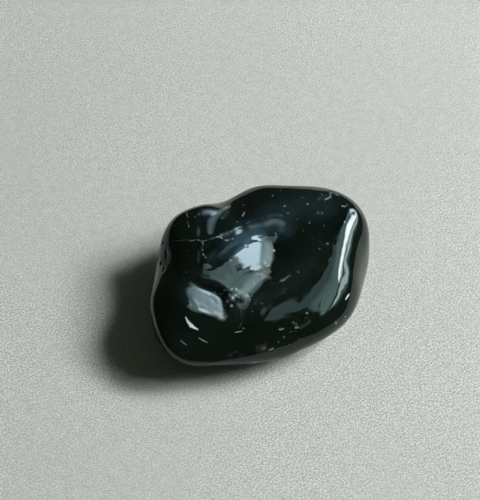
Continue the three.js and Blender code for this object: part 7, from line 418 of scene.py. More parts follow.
    [11.83, -4.94, 0.64, 0.0054], [12.43, -5.46, 0.64, -0.0241], [13.03, -5.99, 0.64, 0.0360],
    [2.92, 3.72, 0.64, -0.0107], [11.98, -4.15, 0.64, 0.0181], [12.58, -4.68, 0.64, -0.0125],
    [13.19, -5.20, 0.64, -0.0324], [12.74, -3.89, 0.64, 0.0171], [13.34, -4.42, 0.64, 0.0047],
    [13.94, -4.94, 0.64, 0.0540], [13.49, -3.63, 0.64, 0.0763], [14.10, -4.16, 0.64, -0.0107],
    [14.25, -3.37, 0.64, 0.0117], [14.40, -2.58, 0.64, 0.0477], [-1.50, -14.00, 0.95, 0.1391],
    [-0.40, -14.00, 0.95, 0.3943], [0.70, -14.00, 0.95, 0.7185], [1.80, -14.00, 0.95, 0.8950],
    [2.90, -14.00, 0.95, 0.9126], [4.00, -14.00, 0.95, 0.8643], [5.10, -14.00, 0.95, 1.0447],
    [-4.25, -13.05, 0.95, -0.0496], [-3.15, -13.05, 0.95, 0.0381], [-2.05, -13.05, 0.95, 0.1749],
    [-0.95, -13.05, 0.95, 0.2112], [0.15, -13.05, 0.95, -0.0070], [1.25, -13.05, 0.95, -0.2722],
    [2.35, -13.05, 0.95, -0.4346], [3.45, -13.05, 0.95, -0.3918], [4.55, -13.05, 0.95, -0.3560],
    [5.65, -13.05, 0.95, 0.2447], [6.75, -13.05, 0.95, 0.7191], [7.85, -13.05, 0.95, 0.7310],
    [-7.00, -12.09, 0.95, -0.0013], [-5.90, -12.09, 0.95, -0.0109], [-4.80, -12.09, 0.95, -0.1058],
    [-3.70, -12.09, 0.95, -0.0414], [-2.60, -12.09, 0.95, 0.1345], [-1.50, -12.09, 0.95, 0.0770],
    [-0.40, -12.09, 0.95, -0.0055], [0.70, -12.09, 0.95, 0.1627], [1.80, -12.09, 0.95, 0.2937],
    [2.90, -12.09, 0.95, 0.3870], [4.00, -12.09, 0.95, 0.3497], [5.10, -12.09, 0.95, -0.0276],
    [6.20, -12.09, 0.95, -0.3665], [7.30, -12.09, 0.95, -0.1842], [8.40, -12.09, 0.95, 0.3466],
    [9.50, -12.09, 0.95, 0.2504], [-8.65, -11.14, 0.95, 0.0574], [-7.55, -11.14, 0.95, -0.0912],
    [-6.45, -11.14, 0.95, 0.0691], [-5.35, -11.14, 0.95, -0.3139], [-4.25, -11.14, 0.95, -0.5110],
    [-3.15, -11.14, 0.95, 0.2991], [-2.05, -11.14, 0.95, -0.0081], [-0.95, -11.14, 0.95, 0.0503],
    [0.15, -11.14, 0.95, 0.1183], [1.25, -11.14, 0.95, -0.0788], [2.35, -11.14, 0.95, -0.0747],
    [3.45, -11.14, 0.95, -0.2131], [4.55, -11.14, 0.95, 0.1183], [5.65, -11.14, 0.95, 0.4094],
    [6.75, -11.14, 0.95, 0.3296], [7.85, -11.14, 0.95, -0.5370], [8.95, -11.14, 0.95, 0.8560],
    [10.05, -11.14, 0.95, 0.5409], [11.15, -11.14, 0.95, 0.5741], [-10.30, -10.19, 0.95, -0.0772],
    [-9.20, -10.19, 0.95, 0.0236], [-8.10, -10.19, 0.95, 0.0583], [-7.00, -10.19, 0.95, 0.0057],
    [-5.90, -10.19, 0.95, 0.1170], [-4.80, -10.19, 0.95, 0.2845], [-3.70, -10.19, 0.95, 0.3683],
    [-2.60, -10.19, 0.95, -0.1930], [-1.50, -10.19, 0.95, 0.1787], [-0.40, -10.19, 0.95, -0.0507],
    [0.70, -10.19, 0.95, 0.0456], [1.80, -10.19, 0.95, 0.1483], [2.90, -10.19, 0.95, 0.1690],
    [4.00, -10.19, 0.95, 0.2445], [5.10, -10.19, 0.95, -0.3637], [6.20, -10.19, 0.95, -0.0714],
    [7.30, -10.19, 0.95, 0.6026], [8.40, -10.19, 0.95, -0.1158], [9.50, -10.19, 0.95, -0.1976],
    [10.60, -10.19, 0.95, -0.1761], [11.70, -10.19, 0.95, 0.5962], [-11.95, -9.24, 0.95, -0.0796],
    [-10.85, -9.24, 0.95, -0.0636], [-9.75, -9.24, 0.95, -0.1048], [-8.65, -9.24, 0.95, -0.0719],
    [-7.55, -9.24, 0.95, -0.0055], [-6.45, -9.24, 0.95, 0.0593], [-5.35, -9.24, 0.95, -0.1252],
    [-4.25, -9.24, 0.95, 0.0650], [-3.15, -9.24, 0.95, 0.0174], [-2.05, -9.24, 0.95, 0.0659],
    [-0.95, -9.24, 0.95, -0.0066], [0.15, -9.24, 0.95, 0.1586], [1.25, -9.24, 0.95, -0.0025],
    [2.35, -9.24, 0.95, 0.0081], [3.45, -9.24, 0.95, -0.1159], [4.55, -9.24, 0.95, 0.2253],
    [5.65, -9.24, 0.95, 0.0768], [6.75, -9.24, 0.95, -0.1005], [7.85, -9.24, 0.95, -0.0180],
    [8.95, -9.24, 0.95, 0.0620], [10.05, -9.24, 0.95, -0.0304], [11.15, -9.24, 0.95, -0.1404],
    [12.25, -9.24, 0.95, 0.3117], [13.35, -9.24, 0.95, 0.7501], [-13.60, -8.28, 0.95, -0.0651],
    [-12.50, -8.28, 0.95, -0.0371], [-11.40, -8.28, 0.95, -0.1529], [-10.30, -8.28, 0.95, 0.1611],
    [-9.20, -8.28, 0.95, 0.0380], [-8.10, -8.28, 0.95, 0.0291], [-7.00, -8.28, 0.95, -0.1008],
    [-5.90, -8.28, 0.95, 0.0013], [-4.80, -8.28, 0.95, -0.0442], [-3.70, -8.28, 0.95, -0.0061],
    [-2.60, -8.28, 0.95, 0.0359], [-1.50, -8.28, 0.95, 0.0678], [-0.40, -8.28, 0.95, 0.0146],
    [0.70, -8.28, 0.95, -0.0904], [1.80, -8.28, 0.95, 0.0625], [2.90, -8.28, 0.95, 0.1541],
    [4.00, -8.28, 0.95, 0.0294], [5.10, -8.28, 0.95, 0.0115], [6.20, -8.28, 0.95, 0.0932],
    [7.30, -8.28, 0.95, 0.0317], [8.40, -8.28, 0.95, 0.0455], [9.50, -8.28, 0.95, 0.0998],
    [10.60, -8.28, 0.95, 0.0969], [11.70, -8.28, 0.95, -0.2038], [12.80, -8.28, 0.95, -0.2351],
    [13.90, -8.28, 0.95, 0.5099], [15.00, -8.28, 0.95, 0.6232], [-15.25, -7.33, 0.95, -0.0812],
    [-14.15, -7.33, 0.95, -0.0056], [-13.05, -7.33, 0.95, -0.0423], [-11.95, -7.33, 0.95, -0.2170],
    [-10.85, -7.33, 0.95, -0.2866], [-9.75, -7.33, 0.95, -0.1715], [-8.65, -7.33, 0.95, -0.1099],
    [-7.55, -7.33, 0.95, 0.0374], [-6.45, -7.33, 0.95, -0.0579], [-5.35, -7.33, 0.95, 0.0217],
    [-4.25, -7.33, 0.95, 0.0218], [-3.15, -7.33, 0.95, 0.0320], [-2.05, -7.33, 0.95, 0.0100],
    [-0.95, -7.33, 0.95, -0.0251], [0.15, -7.33, 0.95, 0.0581], [1.25, -7.33, 0.95, 0.1509],
    [2.35, -7.33, 0.95, -0.0042], [3.45, -7.33, 0.95, 0.0492], [4.55, -7.33, 0.95, 0.0456],
    [5.65, -7.33, 0.95, 0.0351], [6.75, -7.33, 0.95, 0.0344], [7.85, -7.33, 0.95, -0.0331],
    [8.95, -7.33, 0.95, 0.0278], [10.05, -7.33, 0.95, 0.0305], [11.15, -7.33, 0.95, 0.0871],
    [12.25, -7.33, 0.95, 0.1107], [13.35, -7.33, 0.95, -0.2835], [14.45, -7.33, 0.95, -0.1234],
    [15.55, -7.33, 0.95, 0.1423], [16.65, -7.33, 0.95, -0.0120], [-15.80, -6.38, 0.95, -0.0823],
    [-14.70, -6.38, 0.95, -0.0405], [-13.60, -6.38, 0.95, -0.2344], [-12.50, -6.38, 0.95, -0.2786],
    [-11.40, -6.38, 0.95, -0.0858], [-10.30, -6.38, 0.95, -0.0961], [-9.20, -6.38, 0.95, -0.2985],
    [-8.10, -6.38, 0.95, -0.1020], [-7.00, -6.38, 0.95, -0.0433], [-5.90, -6.38, 0.95, -0.0008],
    [-4.80, -6.38, 0.95, 0.0177], [-3.70, -6.38, 0.95, 0.0285], [-2.60, -6.38, 0.95, 0.0292],
    [-1.50, -6.38, 0.95, 0.0159], [-0.40, -6.38, 0.95, 0.1095], [0.70, -6.38, 0.95, -0.0188],
    [1.80, -6.38, 0.95, 0.0513], [2.90, -6.38, 0.95, -0.0046], [4.00, -6.38, 0.95, -0.0036],
    [5.10, -6.38, 0.95, 0.0302], [6.20, -6.38, 0.95, 0.0042], [7.30, -6.38, 0.95, 0.0817],
    [8.40, -6.38, 0.95, 0.2064], [9.50, -6.38, 0.95, -0.0303], [11.70, -6.38, 0.95, 0.0536],
    [12.80, -6.38, 0.95, 0.1128], [13.90, -6.38, 0.95, 0.1818], [15.00, -6.38, 0.95, 0.1174],
    [16.10, -6.38, 0.95, 0.0861], [17.20, -6.38, 0.95, -0.1381], [-17.45, -5.43, 0.95, -0.0304],
    [-16.35, -5.43, 0.95, 0.0024], [-15.25, -5.43, 0.95, -0.2410], [-14.15, -5.43, 0.95, -0.2030],
    [-13.05, -5.43, 0.95, 0.0357], [-11.95, -5.43, 0.95, -0.0636], [-10.85, -5.43, 0.95, -0.1975],
    [-9.75, -5.43, 0.95, -0.0104], [-8.65, -5.43, 0.95, -0.0749], [-7.55, -5.43, 0.95, -0.1400],
    [-6.45, -5.43, 0.95, -0.0508], [-5.35, -5.43, 0.95, 0.0263], [-4.25, -5.43, 0.95, 0.0281],
    [-3.15, -5.43, 0.95, 0.0337], [-2.05, -5.43, 0.95, 0.0203], [-0.95, -5.43, 0.95, 0.0139],
    [0.15, -5.43, 0.95, 0.0591], [1.25, -5.43, 0.95, -0.1232], [2.35, -5.43, 0.95, -0.0791],
    [3.45, -5.43, 0.95, -0.0012], [4.55, -5.43, 0.95, -0.0255], [5.65, -5.43, 0.95, 0.0303],
    [6.75, -5.43, 0.95, 0.0379], [7.85, -5.43, 0.95, -0.0878], [8.95, -5.43, 0.95, 0.0706],
    [10.05, -5.43, 0.95, 0.0899], [11.15, -5.43, 0.95, 0.0506], [12.25, -5.43, 0.95, 0.0170],
    [13.35, -5.43, 0.95, 0.0902], [15.55, -5.43, 0.95, 0.0914], [16.65, -5.43, 0.95, 0.2358],
    [17.75, -5.43, 0.95, -0.4134], [-18.00, -4.47, 0.95, -0.0342], [-16.90, -4.47, 0.95, -0.1302],
    [-15.80, -4.47, 0.95, -0.2269], [-14.70, -4.47, 0.95, -0.1267], [-13.60, -4.47, 0.95, -0.0438],
    [-12.50, -4.47, 0.95, -0.3800], [-11.40, -4.47, 0.95, -0.0576], [-10.30, -4.47, 0.95, -0.0625],
    [-9.20, -4.47, 0.95, -0.0700], [-8.10, -4.47, 0.95, -0.0720], [-7.00, -4.47, 0.95, -0.0492],
    [-5.90, -4.47, 0.95, -0.0091], [-4.80, -4.47, 0.95, -0.0009], [-3.70, -4.47, 0.95, 0.0118],
    [-2.60, -4.47, 0.95, 0.0244], [-1.50, -4.47, 0.95, 0.0055], [-0.40, -4.47, 0.95, 0.0215],
    [0.70, -4.47, 0.95, -0.0257], [1.80, -4.47, 0.95, 0.0635], [2.90, -4.47, 0.95, 0.0039],
    [4.00, -4.47, 0.95, 0.0260], [6.20, -4.47, 0.95, -0.0469], [7.30, -4.47, 0.95, 0.0780],
    [8.40, -4.47, 0.95, 0.1123], [9.50, -4.47, 0.95, -0.0487], [10.60, -4.47, 0.95, -0.0406],
    [11.70, -4.47, 0.95, 0.0751], [12.80, -4.47, 0.95, 0.0475], [13.90, -4.47, 0.95, 0.0563],
    [15.00, -4.47, 0.95, -0.1055], [16.10, -4.47, 0.95, 0.0688], [17.20, -4.47, 0.95, 0.1021],
    [18.30, -4.47, 0.95, -0.3203], [-17.45, -3.52, 0.95, 0.0058], [-16.35, -3.52, 0.95, -0.2851],
    [-15.25, -3.52, 0.95, 0.0473], [-14.15, -3.52, 0.95, -0.2380], [-13.05, -3.52, 0.95, -0.1234],
    [-11.95, -3.52, 0.95, 0.1605], [-10.85, -3.52, 0.95, -0.1099], [-9.75, -3.52, 0.95, -0.0497],
    [-8.65, -3.52, 0.95, -0.0152], [-7.55, -3.52, 0.95, 0.0760], [-6.45, -3.52, 0.95, 0.0557],
    [-5.35, -3.52, 0.95, 0.0266], [-4.25, -3.52, 0.95, 0.0160], [-3.15, -3.52, 0.95, 0.0169],
    [-2.05, -3.52, 0.95, 0.0146], [-0.95, -3.52, 0.95, 0.0175], [0.15, -3.52, 0.95, 0.0366],
    [1.25, -3.52, 0.95, 0.0447], [2.35, -3.52, 0.95, 0.0672], [3.45, -3.52, 0.95, -0.0753],
    [4.55, -3.52, 0.95, 0.0510], [5.65, -3.52, 0.95, 0.0709], [6.75, -3.52, 0.95, 0.1184],
    [7.85, -3.52, 0.95, -0.0309], [8.95, -3.52, 0.95, 0.0594], [10.05, -3.52, 0.95, 0.1378],
    [11.15, -3.52, 0.95, -0.0886], [12.25, -3.52, 0.95, 0.0622], [13.35, -3.52, 0.95, 0.0819],
    [14.45, -3.52, 0.95, 0.1132], [15.55, -3.52, 0.95, -0.0394], [16.65, -3.52, 0.95, 0.1704],
    [17.75, -3.52, 0.95, -0.1358], [-18.00, -2.57, 0.95, -0.1424], [-16.90, -2.57, 0.95, 0.1119],
    [-15.80, -2.57, 0.95, -0.1737], [-14.70, -2.57, 0.95, 0.0743], [-13.60, -2.57, 0.95, -0.1890],
    [-12.50, -2.57, 0.95, 0.0773], [-11.40, -2.57, 0.95, -0.1724], [-10.30, -2.57, 0.95, -0.0667],
    [-9.20, -2.57, 0.95, -0.0698], [-8.10, -2.57, 0.95, -0.0391], [-7.00, -2.57, 0.95, 0.1221],
    [-5.90, -2.57, 0.95, 0.0673], [-4.80, -2.57, 0.95, 0.0294], [-3.70, -2.57, 0.95, 0.0210],
    [-2.60, -2.57, 0.95, 0.0366], [-1.50, -2.57, 0.95, 0.0207], [-0.40, -2.57, 0.95, 0.0021],
    [0.70, -2.57, 0.95, 0.0084], [1.80, -2.57, 0.95, -0.0272], [2.90, -2.57, 0.95, -0.0131],
    [4.00, -2.57, 0.95, -0.0329], [5.10, -2.57, 0.95, -0.0562], [6.20, -2.57, 0.95, -0.0478],
    [7.30, -2.57, 0.95, 0.0322], [8.40, -2.57, 0.95, 0.0727], [9.50, -2.57, 0.95, -0.0009],
    [10.60, -2.57, 0.95, 0.0965], [11.70, -2.57, 0.95, 0.1071], [12.80, -2.57, 0.95, 0.0355],
    [13.90, -2.57, 0.95, 0.0668], [15.00, -2.57, 0.95, 0.0759], [16.10, -2.57, 0.95, 0.0020],
    [17.20, -2.57, 0.95, -0.0113], [18.30, -2.57, 0.95, -0.1344], [-17.45, -1.62, 0.95, -0.0888],
    [-16.35, -1.62, 0.95, 0.0334], [-15.25, -1.62, 0.95, -0.2292], [-14.15, -1.62, 0.95, -0.0781],
    [-13.05, -1.62, 0.95, -0.0850], [-11.95, -1.62, 0.95, -0.0740], [-10.85, -1.62, 0.95, -0.0353],
    [-9.75, -1.62, 0.95, -0.0418], [-8.65, -1.62, 0.95, -0.1100], [-7.55, -1.62, 0.95, -0.1025],
    [-6.45, -1.62, 0.95, 0.0927], [-5.35, -1.62, 0.95, -0.0014], [-3.15, -1.62, 0.95, 0.0288],
    [-2.05, -1.62, 0.95, 0.0377], [-0.95, -1.62, 0.95, 0.0269], [0.15, -1.62, 0.95, 0.0236],
    [1.25, -1.62, 0.95, 0.0280], [2.35, -1.62, 0.95, 0.0313], [3.45, -1.62, 0.95, 0.0601],
    [4.55, -1.62, 0.95, 0.0786], [5.65, -1.62, 0.95, 0.0844], [6.75, -1.62, 0.95, 0.0135],
    [7.85, -1.62, 0.95, 0.0526], [8.95, -1.62, 0.95, 0.0743], [10.05, -1.62, 0.95, 0.0043],
    [11.15, -1.62, 0.95, 0.0721], [12.25, -1.62, 0.95, 0.1015], [13.35, -1.62, 0.95, 0.0309],
    [14.45, -1.62, 0.95, 0.0798], [15.55, -1.62, 0.95, 0.0186], [16.65, -1.62, 0.95, 0.0677],
    [17.75, -1.62, 0.95, 0.0424], [-18.00, -0.66, 0.95, -0.0086], [-16.90, -0.66, 0.95, -0.0316],
    [-15.80, -0.66, 0.95, 0.0560], [-14.70, -0.66, 0.95, 0.0320], [-13.60, -0.66, 0.95, -0.0132],
    [-12.50, -0.66, 0.95, -0.0048], [-11.40, -0.66, 0.95, -0.0443], [-10.30, -0.66, 0.95, -0.0501],
    [-9.20, -0.66, 0.95, -0.0302], [-8.10, -0.66, 0.95, -0.1810], [-7.00, -0.66, 0.95, 0.0224],
    [-5.90, -0.66, 0.95, 0.0335], [-4.80, -0.66, 0.95, -0.0028], [-3.70, -0.66, 0.95, 0.0268],
    [-2.60, -0.66, 0.95, 0.0278], [-1.50, -0.66, 0.95, 0.0352], [-0.40, -0.66, 0.95, 0.0159],
    [0.70, -0.66, 0.95, 0.0418], [1.80, -0.66, 0.95, 0.0617], [2.90, -0.66, 0.95, 0.0439],
    [4.00, -0.66, 0.95, 0.0339], [5.10, -0.66, 0.95, 0.0759], [6.20, -0.66, 0.95, 0.0940],
    [7.30, -0.66, 0.95, 0.0731], [8.40, -0.66, 0.95, 0.0121], [9.50, -0.66, 0.95, 0.1438],
    [10.60, -0.66, 0.95, 0.0600], [11.70, -0.66, 0.95, -0.0080], [12.80, -0.66, 0.95, 0.0714],
    [13.90, -0.66, 0.95, 0.0791], [15.00, -0.66, 0.95, 0.0407], [16.10, -0.66, 0.95, 0.0915],
    [17.20, -0.66, 0.95, -0.0009], [18.30, -0.66, 0.95, -0.1035], [-17.45, 0.29, 0.95, 0.0053],
    [-16.35, 0.29, 0.95, -0.0419], [-15.25, 0.29, 0.95, -0.0331], [-14.15, 0.29, 0.95, -0.0391],
    [-13.05, 0.29, 0.95, -0.0191], [-11.95, 0.29, 0.95, -0.0510], [-10.85, 0.29, 0.95, -0.0526],
    [-9.75, 0.29, 0.95, -0.0445], [-8.65, 0.29, 0.95, -0.1522], [-7.55, 0.29, 0.95, 0.0216],
    [-6.45, 0.29, 0.95, 0.0726], [-5.35, 0.29, 0.95, 0.0023], [-4.25, 0.29, 0.95, 0.0211],
    [-3.15, 0.29, 0.95, 0.0349], [-2.05, 0.29, 0.95, 0.0349], [-0.95, 0.29, 0.95, 0.0262],
    [0.15, 0.29, 0.95, 0.0230], [1.25, 0.29, 0.95, 0.0428], [2.35, 0.29, 0.95, 0.0458], [3.45, 0.29, 0.95, 0.0086],
    [4.55, 0.29, 0.95, -0.0110], [5.65, 0.29, 0.95, 0.0237], [6.75, 0.29, 0.95, -0.0066], [7.85, 0.29, 0.95, 0.0512],
    [8.95, 0.29, 0.95, 0.0444], [10.05, 0.29, 0.95, 0.0356], [11.15, 0.29, 0.95, 0.1952],
    [12.25, 0.29, 0.95, 0.0380], [13.35, 0.29, 0.95, 0.0755], [14.45, 0.29, 0.95, 0.1172],
    [15.55, 0.29, 0.95, -0.0352], [16.65, 0.29, 0.95, 0.0947], [17.75, 0.29, 0.95, -0.1358],
    [-18.00, 1.24, 0.95, 0.0030], [-16.90, 1.24, 0.95, 0.0088], [-15.80, 1.24, 0.95, 0.0158],
    [-14.70, 1.24, 0.95, 0.0028], [-13.60, 1.24, 0.95, -0.0034], [-12.50, 1.24, 0.95, -0.0052],
    [-11.40, 1.24, 0.95, -0.0545], [-10.30, 1.24, 0.95, -0.0413], [-9.20, 1.24, 0.95, -0.1408],
    [-8.10, 1.24, 0.95, 0.0251], [-7.00, 1.24, 0.95, 0.0482], [-5.90, 1.24, 0.95, -0.0075],
    [-4.80, 1.24, 0.95, 0.0110], [-3.70, 1.24, 0.95, 0.0335], [-2.60, 1.24, 0.95, 0.0147],
    [-1.50, 1.24, 0.95, 0.0164], [-0.40, 1.24, 0.95, 0.0087], [0.70, 1.24, 0.95, -0.0125],
    [1.80, 1.24, 0.95, 0.0139], [2.90, 1.24, 0.95, 0.0194], [4.00, 1.24, 0.95, -0.0121], [5.10, 1.24, 0.95, -0.0026],
    [6.20, 1.24, 0.95, -0.0348], [7.30, 1.24, 0.95, 0.0628], [8.40, 1.24, 0.95, 0.0070], [9.50, 1.24, 0.95, 0.0499],
    [10.60, 1.24, 0.95, -0.1095], [11.70, 1.24, 0.95, 0.0954], [12.80, 1.24, 0.95, 0.1428],
    [13.90, 1.24, 0.95, -0.0794], [15.00, 1.24, 0.95, 0.1096], [16.10, 1.24, 0.95, 0.0385],
    [17.20, 1.24, 0.95, 0.0103], [18.30, 1.24, 0.95, -0.0370], [-17.45, 2.19, 0.95, -0.0061],
    [-16.35, 2.19, 0.95, -0.0008], [-15.25, 2.19, 0.95, 0.0060], [-14.15, 2.19, 0.95, -0.0203],
    [-11.95, 2.19, 0.95, -0.1036], [-10.85, 2.19, 0.95, -0.1145], [-9.75, 2.19, 0.95, -0.1332],
    [-8.65, 2.19, 0.95, 0.0190], [-7.55, 2.19, 0.95, 0.0521], [-6.45, 2.19, 0.95, -0.0186],
    [-5.35, 2.19, 0.95, -0.0238], [-4.25, 2.19, 0.95, 0.0049], [-3.15, 2.19, 0.95, 0.0175],
    [-2.05, 2.19, 0.95, 0.0130], [-0.95, 2.19, 0.95, 0.0164], [0.15, 2.19, 0.95, 0.0110], [1.25, 2.19, 0.95, 0.0009],
    [2.35, 2.19, 0.95, 0.0092], [3.45, 2.19, 0.95, -0.0104], [4.55, 2.19, 0.95, -0.0400], [5.65, 2.19, 0.95, 0.0489],
    [6.75, 2.19, 0.95, -0.1047], [7.85, 2.19, 0.95, -0.0039], [8.95, 2.19, 0.95, -0.0780],
    [10.05, 2.19, 0.95, 0.0607], [11.15, 2.19, 0.95, 0.0257], [12.25, 2.19, 0.95, -0.0479],
    [13.35, 2.19, 0.95, 0.1942], [14.45, 2.19, 0.95, 0.0692], [15.55, 2.19, 0.95, -0.0139],
    [16.65, 2.19, 0.95, -0.0012], [-16.90, 3.15, 0.95, 0.0051], [-14.70, 3.15, 0.95, 0.0083],
    [-13.60, 3.15, 0.95, -0.0055], [-12.50, 3.15, 0.95, 0.0063], [-11.40, 3.15, 0.95, -0.0943],
    [-10.30, 3.15, 0.95, -0.1044], [-9.20, 3.15, 0.95, -0.0397], [-8.10, 3.15, 0.95, 0.0268],
    [-7.00, 3.15, 0.95, 0.0291], [-5.90, 3.15, 0.95, 0.0024], [-4.80, 3.15, 0.95, -0.0162],
    [-3.70, 3.15, 0.95, -0.0128], [-1.50, 3.15, 0.95, 0.0038], [-0.40, 3.15, 0.95, 0.0043],
    [0.70, 3.15, 0.95, -0.0119], [1.80, 3.15, 0.95, 0.0262], [2.90, 3.15, 0.95, 0.0326], [4.00, 3.15, 0.95, -0.0855],
    [5.10, 3.15, 0.95, -0.0121], [6.20, 3.15, 0.95, 0.0026], [7.30, 3.15, 0.95, -0.0251],
    [8.40, 3.15, 0.95, -0.0560], [9.50, 3.15, 0.95, -0.0051], [10.60, 3.15, 0.95, -0.0361],
    [11.70, 3.15, 0.95, 0.0789], [12.80, 3.15, 0.95, -0.0633], [13.90, 3.15, 0.95, -0.0507],
    [15.00, 3.15, 0.95, -0.0054], [16.10, 3.15, 0.95, 0.0090], [17.20, 3.15, 0.95, 0.0073],
    [-16.35, 4.10, 0.95, 0.0117], [-15.25, 4.10, 0.95, 0.0040], [-14.15, 4.10, 0.95, 0.0044],
    [-13.05, 4.10, 0.95, -0.0099], [-11.95, 4.10, 0.95, 0.0203], [-10.85, 4.10, 0.95, 0.0207],
    [-9.75, 4.10, 0.95, -0.0093], [-8.65, 4.10, 0.95, -0.0144], [-7.55, 4.10, 0.95, 0.0066],
    [-6.45, 4.10, 0.95, 0.0459], [-5.35, 4.10, 0.95, 0.0214], [-4.25, 4.10, 0.95, 0.0040],
    [-3.15, 4.10, 0.95, 0.0151], [-2.05, 4.10, 0.95, 0.0215], [-0.95, 4.10, 0.95, 0.0081],
    [0.15, 4.10, 0.95, -0.0206], [1.25, 4.10, 0.95, 0.0043], [2.35, 4.10, 0.95, 0.0286], [3.45, 4.10, 0.95, 0.0110],
    [4.55, 4.10, 0.95, -0.0070], [5.65, 4.10, 0.95, -0.1301], [6.75, 4.10, 0.95, -0.1523],
    [7.85, 4.10, 0.95, -0.0604], [8.95, 4.10, 0.95, 0.0064], [10.05, 4.10, 0.95, -0.0540],
    [11.15, 4.10, 0.95, -0.0225], [12.25, 4.10, 0.95, 0.0030], [13.35, 4.10, 0.95, 0.0255],
    [14.45, 4.10, 0.95, -0.0032], [15.55, 4.10, 0.95, 0.0267], [16.65, 4.10, 0.95, 0.0095],
    [-15.80, 5.05, 0.95, 0.0043], [-14.70, 5.05, 0.95, 0.0029], [-13.60, 5.05, 0.95, 0.0034],
    [-12.50, 5.05, 0.95, -0.0178], [-11.40, 5.05, 0.95, -0.0247], [-10.30, 5.05, 0.95, -0.0200],
    [-9.20, 5.05, 0.95, -0.0054], [-8.10, 5.05, 0.95, -0.0044], [-7.00, 5.05, 0.95, -0.0037],
    [-5.90, 5.05, 0.95, 0.0068], [-4.80, 5.05, 0.95, -0.0133], [-3.70, 5.05, 0.95, -0.0116],
    [-2.60, 5.05, 0.95, -0.0064], [-1.50, 5.05, 0.95, -0.0134], [-0.40, 5.05, 0.95, -0.0211],
    [0.70, 5.05, 0.95, 0.0493], [1.80, 5.05, 0.95, 0.0029], [2.90, 5.05, 0.95, -0.1443], [4.00, 5.05, 0.95, -0.1913],
    [5.10, 5.05, 0.95, -0.0585], [6.20, 5.05, 0.95, -0.0195], [7.30, 5.05, 0.95, 0.0056],
    [8.40, 5.05, 0.95, -0.0822], [9.50, 5.05, 0.95, -0.0837], [10.60, 5.05, 0.95, 0.0314],
    [11.70, 5.05, 0.95, -0.0184], [12.80, 5.05, 0.95, -0.0112], [13.90, 5.05, 0.95, -0.0215],
    [15.00, 5.05, 0.95, -0.0022], [16.10, 5.05, 0.95, 0.0030], [-15.25, 6.00, 0.95, 0.0061],
    [-14.15, 6.00, 0.95, 0.0069], [-13.05, 6.00, 0.95, 0.0128], [-11.95, 6.00, 0.95, 0.0080],
    [-9.75, 6.00, 0.95, 0.0042], [-8.65, 6.00, 0.95, 0.0048], [-6.45, 6.00, 0.95, -0.0015],
    [-5.35, 6.00, 0.95, -0.0105], [-4.25, 6.00, 0.95, -0.0456], [-3.15, 6.00, 0.95, -0.0527],
    [-2.05, 6.00, 0.95, -0.0681], [-0.95, 6.00, 0.95, -0.0424], [0.15, 6.00, 0.95, 0.0217],
    [1.25, 6.00, 0.95, 0.1013], [2.35, 6.00, 0.95, -0.1924], [3.45, 6.00, 0.95, 0.0763], [4.55, 6.00, 0.95, -0.0486],
    [5.65, 6.00, 0.95, -0.2201], [6.75, 6.00, 0.95, -0.1024], [7.85, 6.00, 0.95, -0.1426],
    [8.95, 6.00, 0.95, -0.0550], [10.05, 6.00, 0.95, 0.0196], [11.15, 6.00, 0.95, -0.0480],
    [12.25, 6.00, 0.95, -0.0011], [13.35, 6.00, 0.95, -0.0054], [14.45, 6.00, 0.95, -0.0011],
    [15.55, 6.00, 0.95, -0.0040], [-14.70, 6.96, 0.95, 0.0013], [-13.60, 6.96, 0.95, -0.0024],
    [-11.40, 6.96, 0.95, 0.0047], [-9.20, 6.96, 0.95, -0.0043], [-8.10, 6.96, 0.95, -0.0012],
    [-4.80, 6.96, 0.95, -0.0314], [-3.70, 6.96, 0.95, -0.0668], [-2.60, 6.96, 0.95, -0.1300],
    [-1.50, 6.96, 0.95, -0.2037], [-0.40, 6.96, 0.95, -0.0258], [0.70, 6.96, 0.95, 0.0153],
    [1.80, 6.96, 0.95, 0.0443], [2.90, 6.96, 0.95, -0.0529], [4.00, 6.96, 0.95, -0.1497], [5.10, 6.96, 0.95, 0.0524],
    [6.20, 6.96, 0.95, -0.0046], [7.30, 6.96, 0.95, -0.1012], [8.40, 6.96, 0.95, 0.0091],
    [9.50, 6.96, 0.95, -0.0028], [10.60, 6.96, 0.95, -0.0550], [11.70, 6.96, 0.95, -0.0024],
    [12.80, 6.96, 0.95, -0.0116], [13.90, 6.96, 0.95, 0.0161], [15.00, 6.96, 0.95, 0.0008],
    [-14.15, 7.91, 0.95, 0.0009], [-13.05, 7.91, 0.95, 0.0018], [-10.85, 7.91, 0.95, -0.0014],
    [-9.75, 7.91, 0.95, 0.0026], [-8.65, 7.91, 0.95, 0.0028], [-7.55, 7.91, 0.95, 0.0014],
    [-6.45, 7.91, 0.95, -0.0037], [-5.35, 7.91, 0.95, -0.0134], [-4.25, 7.91, 0.95, -0.0492],
    [-3.15, 7.91, 0.95, -0.2091], [-2.05, 7.91, 0.95, -0.1492], [-0.95, 7.91, 0.95, -0.0414],
    [0.15, 7.91, 0.95, 0.0398], [1.25, 7.91, 0.95, -0.1484], [2.35, 7.91, 0.95, -0.0268],
    [3.45, 7.91, 0.95, -0.0105], [4.55, 7.91, 0.95, -0.0928], [5.65, 7.91, 0.95, -0.1133],
    [6.75, 7.91, 0.95, -0.0455], [7.85, 7.91, 0.95, -0.0214], [8.95, 7.91, 0.95, -0.0635],
    [10.05, 7.91, 0.95, -0.0540], [11.15, 7.91, 0.95, 0.0032], [12.25, 7.91, 0.95, -0.0133],
    [-12.50, 8.86, 0.95, 0.0048], [-11.40, 8.86, 0.95, 0.0022], [-10.30, 8.86, 0.95, 0.0034],
    [-9.20, 8.86, 0.95, 0.0015], [-8.10, 8.86, 0.95, 0.0026], [-7.00, 8.86, 0.95, 0.0016],
    [-5.90, 8.86, 0.95, -0.0119], [-4.80, 8.86, 0.95, -0.0509], [-3.70, 8.86, 0.95, -0.0454],
